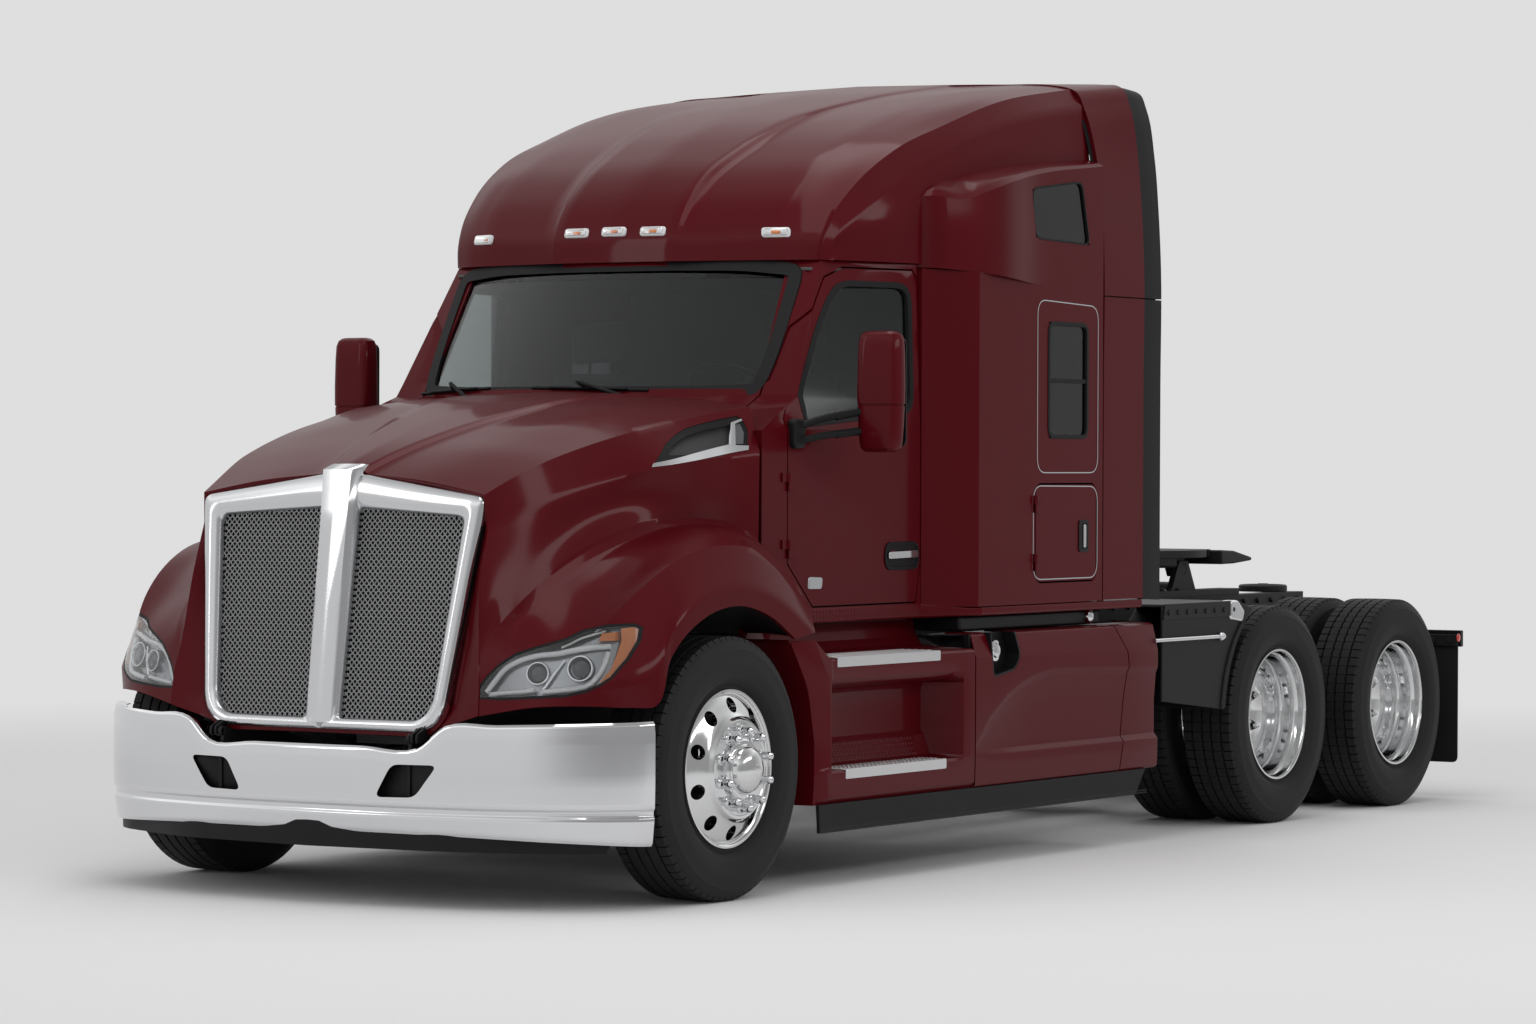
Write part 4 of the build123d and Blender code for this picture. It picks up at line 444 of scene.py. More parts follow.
def thicken(piece, thickness, cutters=()):
    """Gives a sheet its thickness inwards, then cuts the openings."""
    wall = piece.modifiers.new("wall", "SOLIDIFY")
    wall.thickness, wall.offset, wall.use_even_offset = thickness, -1.0, False
    bpy.context.view_layer.update()
    bake(piece)
    for cutter in cutters:
        cut = piece.modifiers.new("cut", "BOOLEAN")
        cut.operation, cut.object, cut.solver = "DIFFERENCE", cutter, "EXACT"
    if cutters:
        bpy.context.view_layer.update()
        bake(piece)
        for cutter in cutters:
            bpy.data.objects.remove(cutter)
    return piece

def finish_piece(piece, finish, body, replaces=(), angle=35.0):
    """Shades, paints and mounts a piece on its body, in place of the CAD nodes it stands for."""
    piece.data.materials.clear()
    piece.data.materials.append(FINISHES[finish])
    if angle:
        piece.data.shade_smooth()
        piece.data.set_sharp_from_angle(angle=math.radians(angle))
    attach(piece, body)
    if replaces:
        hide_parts(*replaces)
    print(piece.name, len(piece.data.polygons), "faces on", body)
    return piece

# %% [markdown]
# ## Turned, bent and trimmed parts
# The fittings come from a few shop operations: spinning a profile, bending a rod, cutting a plate
# to an outline, trimming one form by another, and copying a piece to the other side of the truck.

# %% Fitting tools
def spin(name, profile, centre, axis, steps=32):
    """A turned piece: (radius, height) points spun about an axis through a centre."""
    turn = Vector(axis).to_track_quat("Z", "Y").to_matrix()
    work = bmesh.new()
    rings = []
    for radius, height in profile:
        if radius < 1e-6:
            rings.append([work.verts.new(turn @ Vector((0, 0, height)) + Vector(centre))])
            continue
        angles = [2 * math.pi * i / steps for i in range(steps)]
        ring = [Vector((radius * math.cos(a), radius * math.sin(a), height)) for a in angles]
        rings.append([work.verts.new(turn @ point + Vector(centre)) for point in ring])
    for low, high in zip(rings, rings[1:]):
        for i in range(steps if len(low) + len(high) > 2 else 0):
            j = (i + 1) % steps
            quad = [low[i % len(low)], low[j % len(low)], high[j % len(high)], high[i % len(high)]]
            work.faces.new(list(dict.fromkeys(quad)))
    bmesh.ops.remove_doubles(work, verts=work.verts, dist=1e-6)
    bmesh.ops.recalc_face_normals(work, faces=work.faces)
    return mesh_piece(name, work)

def rod(name, points, radius, smooth=True):
    """A round rod or pipe along frame points, with closed ends."""
    line = bpy.data.curves.new(name, "CURVE")
    line.dimensions = "3D"
    path = curve_through(points, 8) if smooth and len(points) > 2 else [Vector(p) for p in points]
    spline = line.splines.new("POLY")
    spline.points.add(len(path) - 1)
    for point, place in zip(spline.points, path):
        point.co = (*place, 1)
    line.bevel_depth, line.bevel_resolution, line.use_fill_caps = radius, 3, True
    made = bpy.data.objects.new(name, line)
    bpy.context.scene.collection.objects.link(made)
    bpy.context.view_layer.update()
    evaluated = made.evaluated_get(bpy.context.evaluated_depsgraph_get())
    mesh = bpy.data.meshes.new_from_object(evaluated)
    bpy.data.objects.remove(made)
    return new_object(name, mesh)

def add_other_side(work):
    """Adds the mirrored copy of all that a bmesh holds."""
    copied = bmesh.ops.duplicate(work, geom=work.verts[:] + work.edges[:] + work.faces[:])["geom"]
    for item in copied:
        if isinstance(item, bmesh.types.BMVert):
            item.co.x = -item.co.x
    bmesh.ops.reverse_faces(work, faces=[f for f in copied if isinstance(f, bmesh.types.BMFace)])

def join(name, pieces, mirror=False):
    """One piece from several; mirror adds the other side of the truck."""
    work = bmesh.new()
    for piece in pieces:
        work.from_mesh(piece.data)
        bpy.data.objects.remove(piece)
    if mirror:
        add_other_side(work)
    return mesh_piece(name, work)

def other_side(piece, name):
    """A mirrored copy of a piece, for the body on the right."""
    work = bmesh.new()
    work.from_mesh(piece.data)
    for vertex in work.verts:
        vertex.co.x = -vertex.co.x
    bmesh.ops.reverse_faces(work, faces=work.faces)
    return mesh_piece(name, work)

def rounded(corners, radius, steps=5):
    """A closed outline whose corners are rounded."""
    loop = []
    for i, corner in enumerate(corners):
        here = Vector(corner)
        back, ahead = Vector(corners[i - 1]) - here, Vector(corners[(i + 1) % len(corners)]) - here
        reach = min(radius, back.length * .49, ahead.length * .49)
        start, end = here + back.normalized() * reach, here + ahead.normalized() * reach
        for step in range(steps):
            t = step / (steps - 1)
            loop.append(tuple(start * (1 - t)**2 + here * 2 * t * (1 - t) + end * t**2))
    return loop

def soften(piece, radius, segments=2, angle=30):
    """Rounds a piece's edges and keeps its flat faces flat in the light."""
    edge = piece.modifiers.new("edges", "BEVEL")
    edge.width, edge.segments, edge.limit_method = radius, segments, "ANGLE"
    edge.angle_limit = math.radians(angle)
    even = piece.modifiers.new("normals", "WEIGHTED_NORMAL")
    even.keep_sharp, even.weight = True, 90
    piece.data.shade_smooth()
    bpy.context.view_layer.update()
    return bake(piece)

def band(name, outer, inner, axis, low, high):
    """A flat frame between two outlines with equal counts, from low to high along an axis."""
    work = bmesh.new()
    loops = [[work.verts.new(PLACES[axis](a, b, w)) for a, b in points]
             for points, w in ((outer, low), (outer, high), (inner, high), (inner, low))]
    for k, first in enumerate(loops):
        second = loops[(k + 1) % 4]
        for i in range(len(first)):
            j = (i + 1) % len(first)
            work.faces.new((first[i], first[j], second[j], second[i]))
    bmesh.ops.recalc_face_normals(work, faces=work.faces)
    return mesh_piece(name, work)

def both_sides(name, pieces, finish, body="chassis", stands_for=(), angle=40):
    """Mounts pieces of the left side with their mirrored copies, as one."""
    return finish_piece(join(name, pieces, True), finish, body, stands_for, angle)

def pair(name, pieces, finish, body, stands_for=(), angle=40):
    """Mounts a piece on the left body, and its mirrored copy on the right one."""
    left = join(name + "_left", pieces)
    right = other_side(left, name + "_right")
    for piece, side in ((left, "_left"), (right, "_right")):
        finish_piece(piece, finish, body + side, tuple(n + side for n in stands_for), angle)

def slab(outline, radius, axis, low, high, edge, segments=2):
    """A slab with rounded corners and soft edges, from low to high along an axis."""
    return soften(prism("slab", rounded(outline, radius), axis, low, high), edge, segments)

def rect(left, low, right, high):
    """The corners of a rectangle."""
    return ((left, low), (right, low), (right, high), (left, high))

def stations(points):
    """Outline points in (station, height), carried to the frame."""
    return [(y + AXLE_Y, z) for y, z in points]

def carve(piece, keep=(), cut=()):
    """Keeps only what lies inside the keepers, and takes the cutters away."""
    for tools, operation in ((keep, "INTERSECT"), (cut, "DIFFERENCE")):
        for tool in tools:
            step = piece.modifiers.new("trim", "BOOLEAN")
            step.operation, step.object, step.solver = operation, tool, "EXACT"
    bpy.context.view_layer.update()
    bake(piece)
    for tool in list(keep) + list(cut):
        bpy.data.objects.remove(tool)
    return piece

def skin_layer(name, grid, inside, depth, thickness, direction):
    """A layer of a body panel, moved a depth along a direction and made thick the same way."""
    layer = panel(name, [grid], inside, mirror=False)
    way, count = Vector(direction), len(layer.data.vertices)
    front = [vertex.co + way * depth for vertex in layer.data.vertices]
    back = [place + way * thickness for place in front]
    faces = [tuple(face.vertices) for face in layer.data.polygons]
    used = {}
    for face in faces:
        for a, b in zip(face, face[1:] + face[:1]):
            used[(a, b)] = used.get((a, b), 0) + 1
    rim = [(b, a, a + count, b + count) for a, b in used if (b, a) not in used]
    faces += [tuple(v + count for v in reversed(face)) for face in faces] + rim
    mesh = bpy.data.meshes.new(name)
    mesh.from_pydata(front + back, [], faces)
    bpy.data.objects.remove(layer)
    return new_object(name, mesh)

# %% [markdown]
# ## Hood and fenders
# The hood is one moulded shell: a raised spine, two shoulder creases down to the grille, and
# fenders that swell out of its flanks over the wheels. Every row below is one of those lines.

# %% Hood and fenders
HOOD_WALL = 0.016
HOOD_LINES = (
    ("spine", ((0, -.715, 1.612), (0, -.66, 1.637), (0, -.56, 1.676), (0, -.44, 1.716),
        (0, -.30, 1.757), (0, -.14, 1.80), (0, .05, 1.843), (0, .25, 1.884), (0, .42, 1.902),
        (0, .66, 1.914))),
    ("spine_edge", ((.075, -.716, 1.606), (.09, -.66, 1.630), (.112, -.56, 1.669),
        (.14, -.44, 1.709), (.17, -.30, 1.750), (.205, -.14, 1.792), (.25, .05, 1.834),
        (.30, .25, 1.874), (.345, .42, 1.891), (.40, .655, 1.903))),
    ("spine_foot", ((.105, -.718, 1.588), (.12, -.66, 1.613), (.142, -.56, 1.653),
        (.17, -.44, 1.694), (.20, -.30, 1.736), (.235, -.14, 1.779), (.28, .05, 1.822),
        (.33, .25, 1.863), (.375, .42, 1.880), (.43, .65, 1.894))),
    ("top", ((.38, -.728, 1.563), (.39, -.66, 1.594), (.41, -.56, 1.635), (.44, -.44, 1.679),
        (.47, -.29, 1.722), (.50, -.13, 1.766), (.54, .055, 1.806), (.585, .255, 1.845),
        (.63, .42, 1.865), (.685, .635, 1.882))),
    ("shoulder", ((.656, -.741, 1.515), (.672, -.66, 1.551), (.695, -.56, 1.594),
        (.726, -.44, 1.639), (.757, -.29, 1.683), (.79, -.12, 1.725), (.825, .06, 1.762),
        (.862, .266, 1.797), (.90, .42, 1.824), (.95, .60, 1.850))),
    ("flank_crease", ((.664, -.729, 1.401), (.688, -.66, 1.426), (.72, -.56, 1.462),
        (.768, -.44, 1.50), (.82, -.28, 1.548), (.885, -.12, 1.59), (.955, .04, 1.628),
        (.99, .25, 1.648), (1.01, .41, 1.665), (1.045, .52, 1.68))),
    ("flank", ((.672, -.782, 1.22), (.705, -.70, 1.25), (.74, -.60, 1.29), (.772, -.47, 1.355),
        (.815, -.31, 1.425), (.875, -.13, 1.48), (.94, .05, 1.515), (.985, .25, 1.525),
        (1.015, .41, 1.525), (1.048, .512, 1.50))),
    ("ridge_inner", ((.695, -.822, .955), (.728, -.765, 1.03), (.755, -.66, 1.118),
        (.79, -.52, 1.215), (.838, -.36, 1.305), (.90, -.145, 1.384), (.945, .07, 1.420),
        (.975, .26, 1.421), (1.005, .40, 1.397), (1.046, .512, 1.335))),
    ("ridge_outer", ((.702, -.832, .90), (.748, -.79, .985), (.785, -.69, 1.085),
        (.825, -.54, 1.178), (.868, -.385, 1.265), (.93, -.138, 1.356), (.98, .08, 1.396),
        (1.01, .264, 1.393), (1.03, .40, 1.365), (1.055, .53, 1.30))),
    ("fender_top", ((.710, -.842, .855), (.82, -.785, .925), (.89, -.715, 1.0), (.965, -.58, 1.09),
        (1.02, -.42, 1.195), (1.075, -.16, 1.322), (1.10, .07, 1.372), (1.12, .25, 1.367),
        (1.13, .40, 1.325), (1.145, .56, 1.225))),
    ("fender_crease", ((.714, -.848, .81), (.87, -.785, .86), (.985, -.715, .925),
        (1.08, -.615, 1.03), (1.14, -.453, 1.166), (1.18, -.19, 1.295), (1.195, .03, 1.326),
        (1.20, .22, 1.312), (1.20, .40, 1.235), (1.205, .64, 1.06))),
    ("arch_band", ((.716, -.853, .765), (.90, -.79, .80), (1.05, -.71, .82), (1.175, -.605, .83),
        (1.236, -.50, .87), (1.247, -.36, 1.04), (1.25, -.10, 1.148), (1.25, .14, 1.166),
        (1.25, .37, 1.105), (1.25, .60, .985))),
    ("arch_edge", ((.718, -.858, .712), (.92, -.795, .748), (1.075, -.70, .752),
        (1.19, -.575, .745), (1.24, -.487, .748), (1.25, -.40, .92), (1.25, -.161, 1.066),
        (1.25, .066, 1.10), (1.25, .29, 1.052), (1.25, .46, .964))))
HOOD_CREASES = ("spine_edge", "spine_foot", "shoulder", "flank_crease", "ridge_inner",
                "ridge_outer", "fender_crease", "arch_band")
LAMP_HOLE = ((.692, .774), (.705, .812), (.735, .862), (.775, .905), (.823, .942), (.905, .973),
             (.972, .996), (1.018, 1.026), (1.097, 1.046), (1.158, 1.050), (1.180, 1.034),
             (1.186, .985), (1.176, .923), (1.146, .853), (1.118, .825), (1.075, .800),
             (1.014, .784), (.905, .777), (.799, .770))
VENT_HOLE = ((-.035, 1.617), (.018, 1.657), (.083, 1.700), (.167, 1.738), (.251, 1.766),
             (.347, 1.786), (.441, 1.803), (.510, 1.814), (.532, 1.806), (.526, 1.757),
             (.475, 1.684), (.20, 1.648))

rows_of_hood = [points for name, points in HOOD_LINES]
sharp_of_hood = [i for i, (name, points) in enumerate(HOOD_LINES) if name in HOOD_CREASES]
hood = panel("hood_skin", [sheet_grid(rows_of_hood, sharp_of_hood)], (0, AXLE_Y, 1.0))
cutters = []
for side in (1, -1):
    outline = [(x * side, z) for x, z in LAMP_HOLE]
    cutters.append(prism("lamp_cut", outline, "Y", AXLE_Y - 1.0, AXLE_Y - .40))
    cutters.append(prism("vent_cut", stations(VENT_HOLE), "X", side * .80, side * 1.2))
thicken(hood, HOOD_WALL, cutters)
finish_piece(hood, "maroon_paint", "hood", replaces=("hood_shell",))

# %% [markdown]
# ## Raised roof
# The roof is moulded in one piece from the windshield to the back of the sleeper. A spine panel
# runs up its middle, a broad swept band turns the top into the side, and a box stands out over
# the sleeper.

# %% Raised roof
ROOF_WALL = 0.02
ROOF_LINES = (
    ("centre", ((0, 1.040, 2.442), (0, 1.052, 2.54), (0, 1.115, 2.66), (0, 1.25, 2.79),
        (0, 1.50, 2.93), (0, 1.85, 3.072), (0, 2.35, 3.19), (0, 2.97, 3.285))),
    ("spine_edge", ((.29, 1.050, 2.442), (.293, 1.062, 2.54), (.297, 1.125, 2.657),
        (.30, 1.26, 2.783), (.325, 1.51, 2.921), (.355, 1.86, 3.062), (.40, 2.36, 3.18),
        (.45, 2.97, 3.275))),
    ("spine_foot", ((.315, 1.055, 2.442), (.318, 1.071, 2.54), (.322, 1.137, 2.651),
        (.325, 1.272, 2.773), (.35, 1.518, 2.911), (.38, 1.866, 3.052), (.425, 2.362, 3.171),
        (.475, 2.97, 3.267))),
    ("top_edge", ((.70, 1.135, 2.442), (.705, 1.148, 2.54), (.715, 1.205, 2.652),
        (.72, 1.345, 2.782), (.73, 1.60, 2.925), (.745, 1.93, 3.05), (.775, 2.40, 3.178),
        (.815, 2.97, 3.260))),
    ("corner", ((.80, 1.165, 2.442), (.81, 1.180, 2.53), (.825, 1.232, 2.635), (.855, 1.37, 2.768),
        (.88, 1.63, 2.91), (.90, 1.96, 3.035), (.93, 2.40, 3.160), (.96, 2.97, 3.248))),
    ("band_top", ((.885, 1.205, 2.442), (.893, 1.215, 2.51), (.905, 1.255, 2.60),
        (.93, 1.376, 2.73), (.968, 1.65, 2.90), (.997, 2.0, 3.022), (1.022, 2.42, 3.145),
        (1.05, 2.97, 3.232))),
    ("band_foot", ((.905, 1.235, 2.442), (.915, 1.25, 2.49), (.935, 1.29, 2.55),
        (.968, 1.413, 2.647), (1.012, 1.70, 2.815), (1.045, 2.01, 2.95), (1.075, 2.42, 3.07),
        (1.11, 2.97, 3.16))),
    ("valley", ((.92, 1.26, 2.442), (.935, 1.30, 2.47), (.96, 1.37, 2.52), (.99, 1.47, 2.60),
        (1.03, 1.68, 2.70), (1.07, 1.98, 2.82), (1.115, 2.42, 2.895), (1.15, 2.97, 2.925))),
    ("side_foot", ((.93, 1.29, 2.442), (.955, 1.37, 2.442), (.985, 1.47, 2.442),
        (1.015, 1.58, 2.442), (1.045, 1.722, 2.442), (1.06, 1.98, 2.442), (1.08, 2.42, 2.442),
        (1.09, 2.97, 2.442))))
ROOF_CREASES = ("spine_edge", "spine_foot", "top_edge", "band_top", "band_foot")
BOX_LINES = (    # columns: at the cab's side, front edge, corner, corner's rear, side, side's rear
    ("seam", ((1.03, 1.735, 2.428), (1.065, 1.745, 2.427), (1.195, 1.885, 2.414),
        (1.22, 1.935, 2.410), (1.22, 2.42, 2.374), (1.22, 2.97, 2.338))),
    ("side", ((1.03, 1.735, 2.60), (1.065, 1.745, 2.60), (1.195, 1.885, 2.60), (1.22, 1.935, 2.60),
        (1.22, 2.42, 2.62), (1.22, 2.97, 2.64))),
    ("ledge", ((1.03, 1.737, 2.715), (1.063, 1.748, 2.718), (1.188, 1.887, 2.712),
        (1.214, 1.937, 2.732), (1.216, 2.42, 2.838), (1.216, 2.97, 2.898))),
    ("ledge_top", ((1.03, 1.76, 2.735), (1.055, 1.77, 2.742), (1.165, 1.905, 2.735),
        (1.188, 1.955, 2.756), (1.192, 2.42, 2.856), (1.20, 2.97, 2.912))),
    ("tuck", ((1.0, 1.85, 2.76), (1.0, 1.86, 2.80), (1.02, 1.97, 2.825), (1.03, 2.02, 2.835),
        (1.06, 2.42, 2.90), (1.10, 2.97, 2.94))))
UPPER_PANE = ((2.376, 2.572), (2.844, 2.558), (2.775, 2.820), (2.346, 2.770))

rows = [points for name, points in ROOF_LINES]
sharp = [i for i, (name, points) in enumerate(ROOF_LINES) if name in ROOF_CREASES]
roof = panel("roof_skin", [sheet_grid(rows, sharp)], (0, AXLE_Y + 2.2, 2.4))
thicken(roof, ROOF_WALL)
finish_piece(roof, "maroon_paint", "chassis", replaces=("roof_cap",))
box_grid = sheet_grid([points for name, points in BOX_LINES], (2, 3))
box = panel("roof_side_boxes", [box_grid], (0, AXLE_Y + 2.4, 2.3))
outline = [(y + AXLE_Y, z) for y, z in UPPER_PANE]
cutters = [prism("pane_cut", outline, "X", side * 1.1, side * 1.3) for side in (1, -1)]
thicken(box, ROOF_WALL, cutters)
finish_piece(box, "maroon_paint", "chassis")

# %% [markdown]
# ## Cab extender
# Behind the sleeper the body carries on as a painted hoop and a rubber flap, which steer the air
# over the gap to the trailer. Its outline is the roof's last section, so both run on from the
# same line.

# %% Cab extender
EXTENDER_LINES = (    # (X, Z) at the sleeper, then at the hoop's rear edge
    ((0, 3.285), (0, 3.292)), ((.727, 3.266), (.80, 3.287)), ((.96, 3.254), (1.02, 3.279)),
    ((1.05, 3.236), (1.085, 3.272)), ((1.079, 3.222), (1.112, 3.258)),
    ((1.122, 3.143), (1.145, 3.19)), ((1.176, 2.958), (1.186, 2.977)),
    ((1.208, 2.752), (1.207, 2.745)), ((1.22, 2.50), (1.22, 2.50)), ((1.22, 2.0), (1.22, 2.0)),
    ((1.22, 1.055), (1.22, 1.055)))
HOOP_FRONT, HOOP_REAR, FLAP_REAR = 2.978, 3.34, 3.515
SEAM_Z, SEAM_GAP = 2.345, 0.005

def seam_cutters(front, rear):
    """A thin slot on each side, where the roof's moulding meets the wall below it."""
    slot = [(front + AXLE_Y, SEAM_Z), (rear + AXLE_Y, SEAM_Z), (rear + AXLE_Y, SEAM_Z + SEAM_GAP),
            (front + AXLE_Y, SEAM_Z + SEAM_GAP)]
    return [prism("seam_cut", slot, "X", side * 1.1, side * 1.3) for side in (1, -1)]

hoop_rows, flap_rows = [], []
for (x0, z0), (x1, z1) in EXTENDER_LINES:
    middle = ((x0 + x1) / 2, (HOOP_FRONT + HOOP_REAR) / 2, (z0 + z1) / 2)
    hoop_rows.append(((x0, HOOP_FRONT, z0), middle, (x1, HOOP_REAR, z1)))
    inset = 0.005 if x1 > 1.0 else 0.0
    flap_rows.append(((x1 - inset, HOOP_REAR + .003, z1 - .006),
                      (x1 - inset, HOOP_REAR + .09, z1 - .008),
                      (x1 - inset - .004, FLAP_REAR, z1 - .012)))
hoop = panel("extender_hoop", [sheet_grid(hoop_rows)], (0, AXLE_Y + 3.1, 2.2))
thicken(hoop, 0.03, seam_cutters(HOOP_FRONT - .05, HOOP_REAR + .05))
finish_piece(hoop, "maroon_paint", "chassis", replaces=("extender_arch",))
backs = [prism("seam_back", stations(rect(2.985, 2.325, 3.505, 2.37)), "X", 1.176, 1.1895)]
joint_rows = [[(max(x - .014, 0), y, z - .014) for y in (2.952, 3.01)]
              for (x, z), rear in EXTENDER_LINES]
joint = thicken(panel("roof_joint", [sheet_grid(joint_rows)], (0, AXLE_Y + 3, 2.2), mirror=False),
                .003)
both_sides("extender_seam_backs", backs + [joint], "black_rubber")
flap = panel("extender_rubber", [sheet_grid(flap_rows)], (0, AXLE_Y + 3.4, 2.2))
thicken(flap, 0.022, seam_cutters(HOOP_REAR - .05, FLAP_REAR + .05))
finish_piece(flap, "black_rubber", "chassis", replaces=("extender_flaps",))

# %% [markdown]
# ## Grille surround
# The chrome surround leans back with the hood. Each half is a ring of loops about its opening,
# from the outer edge round a crowned face to the inner lip, and a raised bar with bevelled sides
# covers the joint.

# %% Grille surround
LEAN = 0.15                       # how far the nose leans back for each metre of height
NOSE_Y, NOSE_Z = -0.738, 1.512    # a point on the nose
CORNER_STEPS = 7
OUTER_LOOP = (((0, 1.602), .004), ((.656, 1.509), .035), ((.556, .702), .06), ((.478, .643), .05),
              ((0, .643), .004))
INNER_LOOP = (((.078, 1.464), .022), ((.568, 1.434), .04), ((.503, .745), .05), ((.455, .69), .04),
              ((.078, .686), .022))

def on_nose(x, z, forward):
    """A place on the leaning nose, moved forward off it."""
    return Vector((x, AXLE_Y + NOSE_Y + (z - NOSE_Z) * LEAN - forward, z + forward * LEAN))

def rounded_loop(corners, grow=0.0):
    """A closed loop with every corner rounded, each with the same number of points."""
    loop = []
    middle = sum((Vector(p) for p, r in corners), Vector((0, 0))) / len(corners)
    for i, (corner, radius) in enumerate(corners):
        here = Vector(corner)
        here += (here - middle).normalized() * grow
        back = (Vector(corners[i - 1][0]) - Vector(corner)).normalized()
        ahead = (Vector(corners[(i + 1) % len(corners)][0]) - Vector(corner)).normalized()
        start, end = here + back * radius, here + ahead * radius
        for step in range(CORNER_STEPS):
            t = step / (CORNER_STEPS - 1)
            loop.append(start * (1 - t)**2 + here * 2 * t * (1 - t) + end * t**2)
    return loop

def ring_piece(name, loops, side):
    """Joins closed loops of frame points into a ring of faces that look forward."""
    work = bmesh.new()
    rings = [[work.verts.new((p.x * side, p.y, p.z)) for p in loop] for loop in loops]
    count = len(rings[0])
    for first, second in zip(rings, rings[1:]):
        for i in range(count):
            j = (i + 1) % count
            face = (first[i], first[j], second[j], second[i])
            work.faces.new(face if side < 0 else tuple(reversed(face)))
    bmesh.ops.remove_doubles(work, verts=work.verts, dist=1e-6)
    return mesh_piece(name, work)

outer, inner = rounded_loop(OUTER_LOOP), rounded_loop(INNER_LOOP)
outer = [Vector((max(p.x, 0.0), p.y)) for p in outer]
# (share of the way from outer to inner loop, forward)
PROFILE = ((0.0, -.055), (0.0, -.008), (.04, 0.001), (.12, .008), (.45, .016), (.80, .010),
           (.93, .002), (1.0, -.008), (1.0, -.045))
halves = []
for side in (1, -1):
    loops = []
    for share, forward in PROFILE:
        flat = [a.lerp(b, share) for a, b in zip(outer, inner)]
        loops.append([on_nose(p.x, p.y, forward) for p in flat])
    halves.append(ring_piece("grille_surround_half", loops, side))
BAR = ((1.628, .066, .030, -.03), (1.618, .066, .036, .0), (1.598, .066, .042, .0),
       (1.45, .062, .038, .0), (1.10, .058, .030, .0), (.80, .055, .022, .0),
       (.665, .052, .014, .0))
BAR_TOP = 1.598
bar_rows = []
for z, half, forward, back in BAR:
    sunk = max(z - BAR_TOP, 0) * 1.6
    row = [(-half - .020, -.004), (-half - .012, forward * .45), (-half, forward),
           (0, forward + .003), (half, forward), (half + .012, forward * .45),
           (half + .020, -.004)]
    bar_rows.append([on_nose(x, z, f - sunk) for x, f in row])
bar = panel("grille_bar", [bar_rows], (0, AXLE_Y, 1.1), mirror=False)
finish_piece(join("grille_chrome", halves + [bar]), "satin_chrome", "hood", ("grille_surround",),
             50.0)

# %% [markdown]
# ## Nose panels
# Beside the grille the hood's skin turns in to meet the chrome, and under it a narrow painted lip
# runs round the surround's foot. Both are separate sheets, since they fold away from the hood's
# main form.

# %% Nose panels
def surround_side(z):
    """Half the surround's width at a height."""
    return .656 - (1.509 - z) * .124 if z > .702 else .556 - (.702 - z) * 1.32

cheek_rows = []
for name, points in HOOD_LINES[4:]:
    x, y, z = points[0]
    z_in = z - .068 * min(1, max(0, (.80 - z) / .088))
    x_in, y_in = surround_side(z_in) + .005, NOSE_Y + (z_in - NOSE_Z) * LEAN + .046
    cheek_rows.append(((x, y, z), ((x + x_in) / 2, (y + y_in) / 2 - .004, (z + z_in) / 2),
                       (x_in, y_in, z_in), (x_in - .002, y_in + .05, z_in)))
cheeks = panel("nose_cheeks", [sheet_grid(cheek_rows, (), 5)], (0, AXLE_Y - .3, 1.1))
thicken(cheeks, .006)
slot_rows = [[(surround_side(z) + .0025,
               NOSE_Y + (z - NOSE_Z) * LEAN + deep * min(1, (z - .70) / .5), z)
              for deep in (.012, .030)] for z in (1.40, 1.2, 1.0, .85, .74)]
side_slots = panel("side_slots", [sheet_grid(slot_rows, (), 4)], (0, AXLE_Y - .3, 1.1))
thicken(side_slots, .002)
finish_piece(side_slots, "black_plastic", "hood", angle=40)
lip = list(zip(outer, rounded_loop(OUTER_LOOP, .014)))[2 * CORNER_STEPS:]
lip_rows = [[on_nose(p.x, p.y, -.012), on_nose(max(g.x, 0), g.y, -.014),
             on_nose(max(g.x, 0), g.y, -.050)] for p, g in lip]
foot_lip = panel("foot_lip", [lip_rows], (0, AXLE_Y - .3, 1.1))
thicken(foot_lip, .004)
finish_piece(join("nose_panels", [cheeks, foot_lip]), "maroon_paint", "hood", angle=40)

# %% [markdown]
# ## Woven grille mesh
# The openings are filled with crimped wire, woven on the slant. Geometry Nodes lays straight
# lines of points, waves them over and under each other, drops what lies outside the opening and
# gives each line a round section. Both families of wire come from one node chain.

# %% Woven grille mesh
def run_group(piece, group, values):
    """Runs a geometry group on a piece with inputs given by name, and keeps the mesh."""
    step = piece.modifiers.new("nodes", "NODES")
    step.node_group = group
    for item in group.interface.items_tree:
        if item.name in values:
            step[item.identifier] = values[item.name]
    bpy.context.view_layer.update()
    return bake(piece)

def combined(tree, **parts):
    """The output of a Combine XYZ node."""
    return add_node(tree, "ShaderNodeCombineXYZ", parts).outputs[0]

def painted(tree, geometry, given, result):
    """Ends a geometry tree with the material that it is given."""
    paint = add_node(tree, "GeometryNodeSetMaterial", {0: geometry, "Material": given["Finish"]})
    feed(tree, result, {0: paint.outputs[0]})

